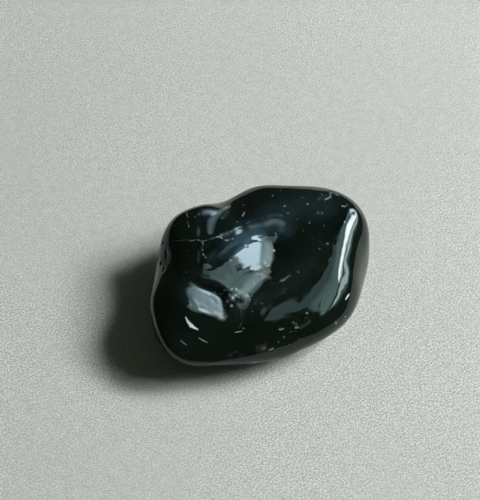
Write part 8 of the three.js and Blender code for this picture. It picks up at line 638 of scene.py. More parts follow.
    [-2.60, 8.86, 0.95, -0.1707], [-1.50, 8.86, 0.95, -0.0223], [-0.40, 8.86, 0.95, -0.1597],
    [0.70, 8.86, 0.95, -0.1704], [1.80, 8.86, 0.95, -0.0413], [2.90, 8.86, 0.95, -0.0956],
    [4.00, 8.86, 0.95, -0.0241], [5.10, 8.86, 0.95, 0.0054], [6.20, 8.86, 0.95, -0.0322],
    [7.30, 8.86, 0.95, -0.0371], [8.40, 8.86, 0.95, -0.0423], [9.50, 8.86, 0.95, -0.0158],
    [11.70, 8.86, 0.95, -0.0098], [12.80, 8.86, 0.95, -0.0061], [-11.95, 9.82, 0.95, 0.0011],
    [-10.85, 9.82, 0.95, 0.0013], [-9.75, 9.82, 0.95, 0.0031], [-8.65, 9.82, 0.95, -0.0029],
    [-7.55, 9.82, 0.95, 0.0104], [-6.45, 9.82, 0.95, -0.0101], [-5.35, 9.82, 0.95, -0.0068],
    [-4.25, 9.82, 0.95, -0.1985], [-3.15, 9.82, 0.95, -0.0386], [-2.05, 9.82, 0.95, -0.3466],
    [-0.95, 9.82, 0.95, -0.3045], [0.15, 9.82, 0.95, -0.0436], [1.25, 9.82, 0.95, 0.0620],
    [2.35, 9.82, 0.95, 0.0478], [3.45, 9.82, 0.95, -0.0468], [4.55, 9.82, 0.95, -0.0506],
    [5.65, 9.82, 0.95, -0.0542], [6.75, 9.82, 0.95, -0.0348], [7.85, 9.82, 0.95, -0.0448],
    [8.95, 9.82, 0.95, -0.0364], [10.05, 9.82, 0.95, -0.0173], [11.15, 9.82, 0.95, -0.0116],
    [12.25, 9.82, 0.95, -0.0055], [-10.30, 10.77, 0.95, 0.0053], [-9.20, 10.77, 0.95, 0.0023],
    [-8.10, 10.77, 0.95, 0.0072], [-7.00, 10.77, 0.95, -0.0035], [-5.90, 10.77, 0.95, 0.0152],
    [-4.80, 10.77, 0.95, 0.0312], [-3.70, 10.77, 0.95, -0.2830], [-2.60, 10.77, 0.95, -0.1047],
    [-1.50, 10.77, 0.95, 0.0096], [-0.40, 10.77, 0.95, 0.0843], [0.70, 10.77, 0.95, 0.0181],
    [1.80, 10.77, 0.95, -0.0622], [4.00, 10.77, 0.95, -0.0413], [5.10, 10.77, 0.95, -0.0324],
    [6.20, 10.77, 0.95, -0.0215], [7.30, 10.77, 0.95, -0.0553], [8.40, 10.77, 0.95, -0.0539],
    [9.50, 10.77, 0.95, 0.0356], [10.60, 10.77, 0.95, 0.0095], [-9.75, 11.72, 0.95, 0.0009],
    [-8.65, 11.72, 0.95, -0.0040], [-7.55, 11.72, 0.95, 0.0153], [-6.45, 11.72, 0.95, -0.0261],
    [-5.35, 11.72, 0.95, 0.0109], [-4.25, 11.72, 0.95, 0.0798], [-3.15, 11.72, 0.95, -0.0780],
    [-2.05, 11.72, 0.95, 0.0208], [-0.95, 11.72, 0.95, 0.0195], [0.15, 11.72, 0.95, -0.0380],
    [1.25, 11.72, 0.95, -0.0233], [2.35, 11.72, 0.95, 0.0025], [3.45, 11.72, 0.95, 0.0256],
    [4.55, 11.72, 0.95, -0.0201], [5.65, 11.72, 0.95, -0.0803], [6.75, 11.72, 0.95, -0.0883],
    [7.85, 11.72, 0.95, 0.0139], [8.95, 11.72, 0.95, 0.1639], [10.05, 11.72, 0.95, 0.0696],
    [-8.10, 12.67, 0.95, 0.0062], [-7.00, 12.67, 0.95, 0.0271], [-5.90, 12.67, 0.95, -0.0243],
    [-4.80, 12.67, 0.95, -0.0247], [-3.70, 12.67, 0.95, 0.0151], [-2.60, 12.67, 0.95, -0.0337],
    [-1.50, 12.67, 0.95, -0.0565], [-0.40, 12.67, 0.95, -0.0483], [0.70, 12.67, 0.95, 0.0093],
    [1.80, 12.67, 0.95, 0.0249], [2.90, 12.67, 0.95, -0.0086], [4.00, 12.67, 0.95, -0.0489],
    [5.10, 12.67, 0.95, 0.0096], [6.20, 12.67, 0.95, 0.1772], [7.30, 12.67, 0.95, 0.1445],
    [8.40, 12.67, 0.95, 0.1101], [-7.55, 13.63, 0.95, 0.0115], [-6.45, 13.63, 0.95, 0.0187],
    [-5.35, 13.63, 0.95, -0.0078], [-4.25, 13.63, 0.95, -0.0185], [-3.15, 13.63, 0.95, -0.0128],
    [-2.05, 13.63, 0.95, -0.0185], [-0.95, 13.63, 0.95, -0.0153], [0.15, 13.63, 0.95, 0.0015],
    [1.25, 13.63, 0.95, 0.0129], [2.35, 13.63, 0.95, 0.0015], [3.45, 13.63, 0.95, -0.0209],
    [4.55, 13.63, 0.95, -0.0105], [-3.43, -10.24, 0.54, -0.0174], [-4.36, -9.70, 0.54, -0.0454],
    [-3.74, -9.70, 0.54, -0.0945], [-3.12, -9.70, 0.54, -0.0842], [-4.67, -9.17, 0.54, -0.0620],
    [-4.05, -9.17, 0.54, -0.0475], [-3.43, -9.17, 0.54, 0.0158], [-2.81, -9.17, 0.54, 0.0401],
    [-4.98, -8.63, 0.54, 0.0423], [-4.36, -8.63, 0.54, 0.0374], [-3.74, -8.63, 0.54, -0.0204],
    [-3.12, -8.63, 0.54, -0.0464], [-2.50, -8.63, 0.54, -0.0196], [-1.88, -8.63, 0.54, -0.0160],
    [-5.91, -8.09, 0.54, 0.0586], [-5.29, -8.09, 0.54, 0.0084], [-4.67, -8.09, 0.54, -0.0164],
    [-4.05, -8.09, 0.54, 0.0031], [-3.43, -8.09, 0.54, 0.0399], [-2.81, -8.09, 0.54, 0.0263],
    [-2.19, -8.09, 0.54, 0.0143], [-1.57, -8.09, 0.54, 0.0080], [-6.84, -7.56, 0.54, 0.0077],
    [-6.22, -7.56, 0.54, -0.0331], [-5.60, -7.56, 0.54, -0.0224], [-4.98, -7.56, 0.54, 0.0420],
    [-4.36, -7.56, 0.54, 0.0186], [-3.74, -7.56, 0.54, -0.0121], [-3.12, -7.56, 0.54, -0.0365],
    [-2.50, -7.56, 0.54, -0.0089], [-1.88, -7.56, 0.54, -0.0079], [-1.26, -7.56, 0.54, -0.0060],
    [-7.77, -7.02, 0.54, -0.0956], [-7.15, -7.02, 0.54, -0.0387], [-6.53, -7.02, 0.54, 0.0402],
    [-5.91, -7.02, 0.54, 0.0474], [-5.29, -7.02, 0.54, -0.0128], [-4.67, -7.02, 0.54, -0.0251],
    [-3.43, -7.02, 0.54, 0.0393], [-2.81, -7.02, 0.54, 0.0294], [-2.19, -7.02, 0.54, 0.0070],
    [-1.57, -7.02, 0.54, 0.0161], [-0.95, -7.02, 0.54, 0.0041], [-0.33, -7.02, 0.54, 0.0011],
    [-8.08, -6.48, 0.54, 0.0864], [-7.46, -6.48, 0.54, 0.0775], [-6.84, -6.48, 0.54, -0.0451],
    [-6.22, -6.48, 0.54, -0.0700], [-5.60, -6.48, 0.54, -0.0044], [-4.98, -6.48, 0.54, -0.0075],
    [-4.36, -6.48, 0.54, 0.0216], [-3.74, -6.48, 0.54, -0.0226], [-3.12, -6.48, 0.54, -0.0473],
    [-2.50, -6.48, 0.54, 0.0035], [-1.88, -6.48, 0.54, 0.0028], [-1.26, -6.48, 0.54, 0.0165],
    [-0.64, -6.48, 0.54, 0.0017], [-0.02, -6.48, 0.54, -0.0023], [-9.01, -5.95, 0.54, 0.0410],
    [-8.39, -5.95, 0.54, -0.0300], [-7.77, -5.95, 0.54, -0.1666], [-7.15, -5.95, 0.54, 0.0387],
    [-6.53, -5.95, 0.54, 0.0970], [-5.29, -5.95, 0.54, 0.0378], [-4.67, -5.95, 0.54, -0.0091],
    [-4.05, -5.95, 0.54, -0.0188], [-3.43, -5.95, 0.54, 0.0625], [-2.81, -5.95, 0.54, 0.0069],
    [-2.19, -5.95, 0.54, 0.0024], [-1.57, -5.95, 0.54, -0.0030], [-0.95, -5.95, 0.54, -0.0319],
    [-0.33, -5.95, 0.54, -0.0207], [0.29, -5.95, 0.54, -0.0161], [-9.94, -5.41, 0.54, -0.0326],
    [-9.32, -5.41, 0.54, -0.0463], [-8.70, -5.41, 0.54, -0.0665], [-8.08, -5.41, 0.54, 0.0813],
    [-7.46, -5.41, 0.54, -0.0314], [-6.84, -5.41, 0.54, -0.1787], [-6.22, -5.41, 0.54, 0.0330],
    [-5.60, -5.41, 0.54, 0.0139], [-4.98, -5.41, 0.54, -0.0242], [-4.36, -5.41, 0.54, 0.0618],
    [-3.74, -5.41, 0.54, -0.0257], [-3.12, -5.41, 0.54, -0.0124], [-2.50, -5.41, 0.54, 0.0080],
    [-1.88, -5.41, 0.54, 0.0029], [-1.26, -5.41, 0.54, 0.0255], [-0.64, -5.41, 0.54, 0.0073],
    [-0.02, -5.41, 0.54, 0.0066], [0.60, -5.41, 0.54, 0.0106], [-10.25, -4.87, 0.54, -0.0054],
    [-9.63, -4.87, 0.54, -0.0094], [-9.01, -4.87, 0.54, 0.0207], [-8.39, -4.87, 0.54, -0.0539],
    [-7.77, -4.87, 0.54, -0.0975], [-7.15, -4.87, 0.54, 0.1159], [-6.53, -4.87, 0.54, -0.0472],
    [-5.91, -4.87, 0.54, 0.0419], [-5.29, -4.87, 0.54, 0.0193], [-4.67, -4.87, 0.54, -0.0742],
    [-4.05, -4.87, 0.54, 0.0091], [-3.43, -4.87, 0.54, 0.0393], [-2.81, -4.87, 0.54, 0.0010],
    [-2.19, -4.87, 0.54, 0.0195], [-1.57, -4.87, 0.54, -0.0161], [-0.95, -4.87, 0.54, -0.0091],
    [-0.33, -4.87, 0.54, -0.0059], [0.29, -4.87, 0.54, -0.0263], [0.91, -4.87, 0.54, -0.0083],
    [1.53, -4.87, 0.54, 0.0398], [-11.18, -4.34, 0.54, -0.0644], [-10.56, -4.34, 0.54, -0.0144],
    [-9.94, -4.34, 0.54, 0.0019], [-9.32, -4.34, 0.54, -0.0907], [-8.70, -4.34, 0.54, -0.0408],
    [-8.08, -4.34, 0.54, 0.0702], [-7.46, -4.34, 0.54, -0.0105], [-6.84, -4.34, 0.54, -0.1102],
    [-6.22, -4.34, 0.54, 0.0913], [-5.60, -4.34, 0.54, -0.1170], [-4.98, -4.34, 0.54, 0.0689],
    [-4.36, -4.34, 0.54, 0.0186], [-3.74, -4.34, 0.54, -0.0504], [-3.12, -4.34, 0.54, -0.0029],
    [-2.50, -4.34, 0.54, -0.0231], [-1.88, -4.34, 0.54, -0.0012], [-1.26, -4.34, 0.54, 0.0173],
    [-0.64, -4.34, 0.54, -0.0023], [-0.02, -4.34, 0.54, 0.0180], [0.60, -4.34, 0.54, 0.0358],
    [1.22, -4.34, 0.54, 0.0125], [1.84, -4.34, 0.54, -0.0086], [-12.11, -3.80, 0.54, -0.0771],
    [-11.49, -3.80, 0.54, -0.1793], [-10.87, -3.80, 0.54, 0.1085], [-10.25, -3.80, 0.54, -0.1408],
    [-9.63, -3.80, 0.54, 0.0349], [-9.01, -3.80, 0.54, 0.1327], [-8.39, -3.80, 0.54, -0.0483],
    [-7.77, -3.80, 0.54, -0.0974], [-7.15, -3.80, 0.54, 0.1686], [-6.53, -3.80, 0.54, -0.0545],
    [-5.91, -3.80, 0.54, 0.0134], [-5.29, -3.80, 0.54, -0.0178], [-4.67, -3.80, 0.54, -0.0793],
    [-4.05, -3.80, 0.54, 0.0862], [-3.43, -3.80, 0.54, 0.0246], [-2.81, -3.80, 0.54, 0.0362],
    [-2.19, -3.80, 0.54, 0.0305], [-1.57, -3.80, 0.54, -0.0147], [-0.95, -3.80, 0.54, 0.0017],
    [-0.33, -3.80, 0.54, 0.0078], [0.29, -3.80, 0.54, -0.0088], [0.91, -3.80, 0.54, 0.0226],
    [1.53, -3.80, 0.54, -0.0088], [2.15, -3.80, 0.54, -0.0361], [-12.42, -3.26, 0.54, -0.2377],
    [-11.80, -3.26, 0.54, 0.0560], [-11.18, -3.26, 0.54, -0.0395], [-10.56, -3.26, 0.54, -0.3211],
    [-9.94, -3.26, 0.54, 0.3450], [-9.32, -3.26, 0.54, -0.2077], [-8.70, -3.26, 0.54, -0.0669],
    [-8.08, -3.26, 0.54, 0.3638], [-7.46, -3.26, 0.54, -0.2713], [-6.84, -3.26, 0.54, 0.1058],
    [-6.22, -3.26, 0.54, -0.0365], [-5.60, -3.26, 0.54, 0.0605], [-4.98, -3.26, 0.54, 0.0746],
    [-4.36, -3.26, 0.54, -0.0553], [-3.74, -3.26, 0.54, -0.0789], [-3.12, -3.26, 0.54, -0.0227],
    [-2.50, -3.26, 0.54, -0.0523], [-1.88, -3.26, 0.54, 0.0082], [-1.26, -3.26, 0.54, 0.0201],
    [-0.64, -3.26, 0.54, -0.0074], [-0.02, -3.26, 0.54, 0.0151], [0.60, -3.26, 0.54, 0.0183],
    [1.22, -3.26, 0.54, 0.0198], [1.84, -3.26, 0.54, 0.0091], [2.46, -3.26, 0.54, -0.0187],
    [3.08, -3.26, 0.54, -0.0122], [-13.35, -2.72, 0.54, -0.0543], [-12.73, -2.72, 0.54, -0.0433],
    [-12.11, -2.72, 0.54, 0.1132], [-11.49, -2.72, 0.54, -0.5107], [-10.87, -2.72, 0.54, 0.1693],
    [-10.25, -2.72, 0.54, 0.1410], [-9.63, -2.72, 0.54, -0.2468], [-9.01, -2.72, 0.54, 0.3096],
    [-8.39, -2.72, 0.54, -0.4901], [-7.77, -2.72, 0.54, 0.3653], [-7.15, -2.72, 0.54, -0.0096],
    [-6.53, -2.72, 0.54, -0.0021], [-5.91, -2.72, 0.54, 0.0192], [-5.29, -2.72, 0.54, -0.0527],
    [-4.67, -2.72, 0.54, 0.0205], [-4.05, -2.72, 0.54, 0.0923], [-3.43, -2.72, 0.54, 0.0414],
    [-2.81, -2.72, 0.54, 0.0335], [-2.19, -2.72, 0.54, 0.0280], [-1.57, -2.72, 0.54, -0.0452],
    [-0.95, -2.72, 0.54, -0.0108], [-0.33, -2.72, 0.54, 0.0137], [0.29, -2.72, 0.54, -0.0237],
    [0.91, -2.72, 0.54, -0.0130], [1.53, -2.72, 0.54, -0.0916], [2.15, -2.72, 0.54, -0.0026],
    [2.77, -2.72, 0.54, 0.0175], [3.39, -2.72, 0.54, 0.0033], [-14.28, -2.19, 0.54, -0.0831],
    [-13.66, -2.19, 0.54, 0.0718], [-13.04, -2.19, 0.54, -0.0295], [-12.42, -2.19, 0.54, -0.2816],
    [-11.80, -2.19, 0.54, -0.2169], [-11.18, -2.19, 0.54, 0.4845], [-10.56, -2.19, 0.54, -0.2285],
    [-9.94, -2.19, 0.54, 0.0382], [-9.32, -2.19, 0.54, -0.0404], [-8.70, -2.19, 0.54, 0.1253],
    [-8.08, -2.19, 0.54, -0.2290], [-7.46, -2.19, 0.54, 0.0929], [-6.84, -2.19, 0.54, -0.0080],
    [-6.22, -2.19, 0.54, -0.0184], [-5.60, -2.19, 0.54, 0.0497], [-4.98, -2.19, 0.54, 0.0107],
    [-4.36, -2.19, 0.54, -0.0522], [-3.74, -2.19, 0.54, -0.0429], [-3.12, -2.19, 0.54, -0.0101],
    [-2.50, -2.19, 0.54, -0.0119], [-1.88, -2.19, 0.54, 0.0258], [-1.26, -2.19, 0.54, 0.0478],
    [-0.64, -2.19, 0.54, -0.0573], [-0.02, -2.19, 0.54, -0.0479], [0.60, -2.19, 0.54, 0.0509],
    [1.22, -2.19, 0.54, 0.0639], [1.84, -2.19, 0.54, 0.0312], [2.46, -2.19, 0.54, -0.0660],
    [3.08, -2.19, 0.54, 0.0329], [3.70, -2.19, 0.54, 0.0064], [-14.59, -1.65, 0.54, -0.0227],
    [-13.97, -1.65, 0.54, 0.0574], [-13.35, -1.65, 0.54, -0.0279], [-12.73, -1.65, 0.54, -0.0241],
    [-12.11, -1.65, 0.54, 0.2433], [-11.49, -1.65, 0.54, 0.0984], [-10.87, -1.65, 0.54, -0.2956],
    [-10.25, -1.65, 0.54, 0.1711], [-9.63, -1.65, 0.54, 0.0245], [-9.01, -1.65, 0.54, -0.2137],
    [-8.39, -1.65, 0.54, 0.2825], [-7.77, -1.65, 0.54, -0.4044], [-7.15, -1.65, 0.54, 0.2861],
    [-6.53, -1.65, 0.54, -0.0325], [-5.91, -1.65, 0.54, 0.0465], [-5.29, -1.65, 0.54, -0.1073],
    [-4.67, -1.65, 0.54, 0.0563], [-4.05, -1.65, 0.54, 0.0307], [-3.43, -1.65, 0.54, 0.0229],
    [-2.81, -1.65, 0.54, 0.0149], [-2.19, -1.65, 0.54, 0.0175], [-1.57, -1.65, 0.54, -0.0242],
    [-0.95, -1.65, 0.54, 0.0025], [-0.33, -1.65, 0.54, 0.1134], [0.29, -1.65, 0.54, 0.0057],
    [0.91, -1.65, 0.54, -0.0720], [1.53, -1.65, 0.54, -0.0616], [2.15, -1.65, 0.54, 0.0735],
    [2.77, -1.65, 0.54, -0.0271], [3.39, -1.65, 0.54, 0.0049], [4.01, -1.65, 0.54, 0.0017],
    [-14.28, -1.11, 0.54, 0.0493], [-13.66, -1.11, 0.54, -0.0332], [-13.04, -1.11, 0.54, 0.0149],
    [-12.42, -1.11, 0.54, -0.0466], [-11.80, -1.11, 0.54, -0.0812], [-11.18, -1.11, 0.54, -0.0592],
    [-10.56, -1.11, 0.54, 0.2702], [-9.94, -1.11, 0.54, -0.3661], [-9.32, -1.11, 0.54, 0.3402],
    [-8.70, -1.11, 0.54, -0.2715], [-8.08, -1.11, 0.54, 0.3134], [-7.46, -1.11, 0.54, -0.4055],
    [-6.84, -1.11, 0.54, 0.1901], [-6.22, -1.11, 0.54, -0.0839], [-5.60, -1.11, 0.54, 0.0155],
    [-4.98, -1.11, 0.54, 0.0198], [-4.36, -1.11, 0.54, -0.0707], [-3.74, -1.11, 0.54, 0.0044],
    [-3.12, -1.11, 0.54, -0.0150], [-2.50, -1.11, 0.54, -0.0118], [-1.88, -1.11, 0.54, 0.0115],
    [-1.26, -1.11, 0.54, 0.0434], [-0.64, -1.11, 0.54, -0.0521], [-0.02, -1.11, 0.54, -0.0845],
    [0.60, -1.11, 0.54, 0.0469], [1.22, -1.11, 0.54, 0.0913], [1.84, -1.11, 0.54, -0.0565],
    [2.46, -1.11, 0.54, 0.0300], [3.08, -1.11, 0.54, 0.0312], [3.70, -1.11, 0.54, -0.0126],
    [4.32, -1.11, 0.54, 0.0210], [4.94, -1.11, 0.54, -0.0186], [-13.97, -0.58, 0.54, -0.0182],
    [-13.35, -0.58, 0.54, 0.0085], [-12.73, -0.58, 0.54, 0.0185], [-12.11, -0.58, 0.54, 0.0283],
    [-11.49, -0.58, 0.54, 0.0731], [-10.87, -0.58, 0.54, -0.1163], [-10.25, -0.58, 0.54, -0.0175],
    [-9.63, -0.58, 0.54, 0.1028], [-9.01, -0.58, 0.54, -0.1641], [-8.39, -0.58, 0.54, 0.2445],
    [-7.77, -0.58, 0.54, -0.3772], [-7.15, -0.58, 0.54, 0.2618], [-6.53, -0.58, 0.54, -0.0512],
    [-5.91, -0.58, 0.54, 0.0196], [-5.29, -0.58, 0.54, -0.0201], [-4.67, -0.58, 0.54, 0.0174],
    [-4.05, -0.58, 0.54, 0.0281], [-3.43, -0.58, 0.54, -0.0238], [-2.81, -0.58, 0.54, 0.0213],
    [-2.19, -0.58, 0.54, 0.0085], [-1.57, -0.58, 0.54, -0.0251], [-0.95, -0.58, 0.54, -0.0055],
    [-0.33, -0.58, 0.54, 0.0508], [0.29, -0.58, 0.54, 0.0365], [0.91, -0.58, 0.54, -0.0497],
    [1.53, -0.58, 0.54, 0.0365], [2.15, -0.58, 0.54, 0.0109], [2.77, -0.58, 0.54, -0.0432],
    [3.39, -0.58, 0.54, 0.0490], [4.01, -0.58, 0.54, -0.0320], [4.63, -0.58, 0.54, 0.0085],
    [5.25, -0.58, 0.54, -0.0080], [-13.66, -0.04, 0.54, 0.0013], [-13.04, -0.04, 0.54, -0.0384],
    [-12.42, -0.04, 0.54, 0.1295], [-11.80, -0.04, 0.54, -0.2086], [-11.18, -0.04, 0.54, 0.1079],
    [-10.56, -0.04, 0.54, -0.0655], [-9.94, -0.04, 0.54, 0.1006], [-9.32, -0.04, 0.54, -0.1860],
    [-8.70, -0.04, 0.54, 0.2698], [-8.08, -0.04, 0.54, -0.3158], [-7.46, -0.04, 0.54, 0.1992],
    [-6.84, -0.04, 0.54, -0.0069], [-6.22, -0.04, 0.54, 0.0085], [-5.60, -0.04, 0.54, -0.0029],
    [-4.98, -0.04, 0.54, -0.0053], [-4.36, -0.04, 0.54, 0.0043], [-3.74, -0.04, 0.54, 0.0202],
    [-3.12, -0.04, 0.54, 0.0286], [-2.50, -0.04, 0.54, -0.0233], [-1.88, -0.04, 0.54, 0.0233],
    [-1.26, -0.04, 0.54, 0.0232], [-0.64, -0.04, 0.54, -0.0082], [-0.02, -0.04, 0.54, -0.0513],
    [0.60, -0.04, 0.54, 0.0112], [1.22, -0.04, 0.54, 0.0654], [1.84, -0.04, 0.54, -0.0153],
    [2.46, -0.04, 0.54, 0.0300], [3.08, -0.04, 0.54, -0.0246], [3.70, -0.04, 0.54, 0.0308],
    [4.32, -0.04, 0.54, 0.0070], [4.94, -0.04, 0.54, 0.0083], [5.56, -0.04, 0.54, -0.0120],
    [-12.73, 0.50, 0.54, -0.0276], [-12.11, 0.50, 0.54, -0.0039], [-11.49, 0.50, 0.54, 0.0407],
    [-10.87, 0.50, 0.54, -0.0889], [-10.25, 0.50, 0.54, 0.0451], [-9.63, 0.50, 0.54, -0.1079],
    [-9.01, 0.50, 0.54, 0.2735], [-8.39, 0.50, 0.54, -0.3834], [-7.77, 0.50, 0.54, 0.0396],
    [-7.15, 0.50, 0.54, 0.1267], [-6.53, 0.50, 0.54, -0.0721], [-5.91, 0.50, 0.54, 0.0142],
    [-5.29, 0.50, 0.54, 0.0247], [-4.67, 0.50, 0.54, -0.0155], [-4.05, 0.50, 0.54, 0.0159],
    [-3.43, 0.50, 0.54, -0.0422], [-2.81, 0.50, 0.54, 0.0087], [-2.19, 0.50, 0.54, 0.0145],
    [-1.57, 0.50, 0.54, -0.0218], [-0.95, 0.50, 0.54, 0.0057], [-0.33, 0.50, 0.54, 0.0236],
    [0.29, 0.50, 0.54, 0.0375], [0.91, 0.50, 0.54, -0.0294], [1.53, 0.50, 0.54, -0.0437], [2.15, 0.50, 0.54, 0.0579],
    [2.77, 0.50, 0.54, -0.0092], [3.39, 0.50, 0.54, -0.0350], [4.01, 0.50, 0.54, 0.0175],
    [4.63, 0.50, 0.54, -0.0260], [5.25, 0.50, 0.54, 0.0216], [5.87, 0.50, 0.54, -0.0465], [6.49, 0.50, 0.54, 0.0223],
    [-12.42, 1.03, 0.54, -0.0195], [-11.80, 1.03, 0.54, -0.0431], [-11.18, 1.03, 0.54, -0.0499],
    [-10.56, 1.03, 0.54, 0.1239], [-9.94, 1.03, 0.54, -0.1117], [-9.32, 1.03, 0.54, 0.2284],
    [-8.70, 1.03, 0.54, -0.5136], [-8.08, 1.03, 0.54, 0.3771], [-7.46, 1.03, 0.54, 0.0528],
    [-6.84, 1.03, 0.54, -0.1413], [-6.22, 1.03, 0.54, 0.1194], [-5.60, 1.03, 0.54, -0.0986],
    [-4.98, 1.03, 0.54, 0.0348], [-4.36, 1.03, 0.54, 0.0053], [-3.74, 1.03, 0.54, 0.0282],
    [-3.12, 1.03, 0.54, 0.0333], [-2.50, 1.03, 0.54, -0.0215], [-1.88, 1.03, 0.54, 0.0111],
    [-1.26, 1.03, 0.54, 0.0186], [-0.64, 1.03, 0.54, -0.0311], [-0.02, 1.03, 0.54, -0.0168],
    [0.60, 1.03, 0.54, -0.0366], [1.22, 1.03, 0.54, 0.0463], [1.84, 1.03, 0.54, 0.0323], [2.46, 1.03, 0.54, -0.0842],
    [3.08, 1.03, 0.54, 0.1290], [3.70, 1.03, 0.54, -0.0856], [4.32, 1.03, 0.54, 0.0269], [4.94, 1.03, 0.54, -0.1016],
    [5.56, 1.03, 0.54, 0.0760], [6.18, 1.03, 0.54, -0.0160], [6.80, 1.03, 0.54, 0.0064],
    [-12.11, 1.57, 0.54, 0.0327], [-11.49, 1.57, 0.54, 0.0568], [-10.87, 1.57, 0.54, -0.0514],
    [-10.25, 1.57, 0.54, -0.0578], [-9.63, 1.57, 0.54, 0.1639], [-9.01, 1.57, 0.54, -0.4027],
    [-8.39, 1.57, 0.54, 0.5423], [-7.77, 1.57, 0.54, -0.3032], [-7.15, 1.57, 0.54, 0.0570],
    [-6.53, 1.57, 0.54, 0.0204], [-5.91, 1.57, 0.54, -0.0676], [-5.29, 1.57, 0.54, 0.1066],
    [-4.67, 1.57, 0.54, -0.1126], [-4.05, 1.57, 0.54, 0.0239], [-3.43, 1.57, 0.54, -0.0588],
    [-2.81, 1.57, 0.54, 0.0083], [-2.19, 1.57, 0.54, 0.0156], [-1.57, 1.57, 0.54, -0.0224],
    [-0.95, 1.57, 0.54, 0.0135], [-0.33, 1.57, 0.54, 0.0354], [0.29, 1.57, 0.54, 0.0084], [0.91, 1.57, 0.54, 0.0233],
    [1.53, 1.57, 0.54, -0.0973], [2.15, 1.57, 0.54, 0.0459], [2.77, 1.57, 0.54, 0.0590], [3.39, 1.57, 0.54, -0.1405],
    [4.01, 1.57, 0.54, 0.1513], [4.63, 1.57, 0.54, -0.0316], [5.25, 1.57, 0.54, -0.0449],
    [5.87, 1.57, 0.54, -0.0070], [6.49, 1.57, 0.54, 0.0374], [-11.80, 2.11, 0.54, -0.1032],
    [-11.18, 2.11, 0.54, 0.0851], [-10.56, 2.11, 0.54, 0.0385], [-9.94, 2.11, 0.54, 0.0283],
    [-9.32, 2.11, 0.54, -0.2615], [-8.70, 2.11, 0.54, 0.2727], [-8.08, 2.11, 0.54, -0.2465],
    [-7.46, 2.11, 0.54, 0.1902], [-6.84, 2.11, 0.54, -0.0868], [-6.22, 2.11, 0.54, 0.0227],
    [-5.60, 2.11, 0.54, -0.0097], [-4.98, 2.11, 0.54, 0.0202], [-4.36, 2.11, 0.54, 0.0657],
    [-3.74, 2.11, 0.54, 0.0934], [-3.12, 2.11, 0.54, 0.0297], [-2.50, 2.11, 0.54, -0.0423],
    [-1.88, 2.11, 0.54, -0.0047], [-1.26, 2.11, 0.54, 0.0059], [-0.64, 2.11, 0.54, -0.0332],
    [-0.02, 2.11, 0.54, -0.0164], [0.60, 2.11, 0.54, -0.0124], [1.22, 2.11, 0.54, 0.0104],
    [1.84, 2.11, 0.54, 0.1028], [2.46, 2.11, 0.54, -0.1140], [3.08, 2.11, 0.54, -0.0139], [3.70, 2.11, 0.54, 0.1003],
    [4.32, 2.11, 0.54, -0.1037], [4.94, 2.11, 0.54, 0.0628], [5.56, 2.11, 0.54, -0.0051],
    [6.18, 2.11, 0.54, -0.0221], [-10.87, 2.64, 0.54, 0.0166], [-10.25, 2.64, 0.54, -0.0042],
    [-9.63, 2.64, 0.54, -0.0257], [-9.01, 2.64, 0.54, 0.0329], [-8.39, 2.64, 0.54, 0.0470],
    [-7.77, 2.64, 0.54, 0.0793], [-7.15, 2.64, 0.54, -0.1208], [-6.53, 2.64, 0.54, 0.0306],
    [-5.91, 2.64, 0.54, 0.0031], [-5.29, 2.64, 0.54, -0.0414], [-4.67, 2.64, 0.54, -0.0682],
    [-4.05, 2.64, 0.54, -0.0950], [-3.43, 2.64, 0.54, -0.0499], [-2.81, 2.64, 0.54, 0.0194],
    [-2.19, 2.64, 0.54, 0.0712], [-1.57, 2.64, 0.54, 0.0150], [-0.95, 2.64, 0.54, 0.0349],
    [-0.33, 2.64, 0.54, 0.0376], [0.29, 2.64, 0.54, 0.0258], [0.91, 2.64, 0.54, 0.0058], [1.53, 2.64, 0.54, -0.0500],
    [2.15, 2.64, 0.54, -0.0680], [2.77, 2.64, 0.54, 0.1247], [3.39, 2.64, 0.54, -0.0255], [4.01, 2.64, 0.54, 0.0027],
    [4.63, 2.64, 0.54, 0.0058], [5.25, 2.64, 0.54, -0.0718], [-10.56, 3.18, 0.54, -0.1403],
    [-9.94, 3.18, 0.54, -0.0571], [-9.32, 3.18, 0.54, 0.0352], [-8.70, 3.18, 0.54, -0.0344],
    [-8.08, 3.18, 0.54, -0.0326], [-7.46, 3.18, 0.54, -0.0077], [-6.84, 3.18, 0.54, 0.0837],
    [-6.22, 3.18, 0.54, -0.0415], [-5.60, 3.18, 0.54, 0.0282], [-4.98, 3.18, 0.54, 0.0484],
    [-4.36, 3.18, 0.54, 0.0658], [-3.74, 3.18, 0.54, 0.0466], [-3.12, 3.18, 0.54, -0.0215],
    [-2.50, 3.18, 0.54, -0.0755], [-1.88, 3.18, 0.54, -0.0547], [-1.26, 3.18, 0.54, -0.0330],
    [-0.64, 3.18, 0.54, -0.0423], [-0.02, 3.18, 0.54, -0.0237], [0.60, 3.18, 0.54, -0.0107],
    [1.22, 3.18, 0.54, 0.0170], [1.84, 3.18, 0.54, 0.0668], [2.46, 3.18, 0.54, 0.0220], [3.08, 3.18, 0.54, -0.0544],
    [3.70, 3.18, 0.54, 0.0455], [4.32, 3.18, 0.54, -0.0299], [-10.25, 3.72, 0.54, 0.0717],
    [-9.63, 3.72, 0.54, 0.0287], [-9.01, 3.72, 0.54, -0.0092], [-8.39, 3.72, 0.54, -0.0115],
    [-7.77, 3.72, 0.54, -0.0236], [-7.15, 3.72, 0.54, 0.0528], [-6.53, 3.72, 0.54, -0.0122],
    [-5.91, 3.72, 0.54, 0.0047], [-5.29, 3.72, 0.54, -0.0576], [-4.67, 3.72, 0.54, -0.0625],
    [-4.05, 3.72, 0.54, -0.0494], [-3.43, 3.72, 0.54, 0.0062], [-2.81, 3.72, 0.54, 0.0699],
    [-2.19, 3.72, 0.54, 0.0578], [-1.57, 3.72, 0.54, 0.0393], [-0.95, 3.72, 0.54, 0.0320],
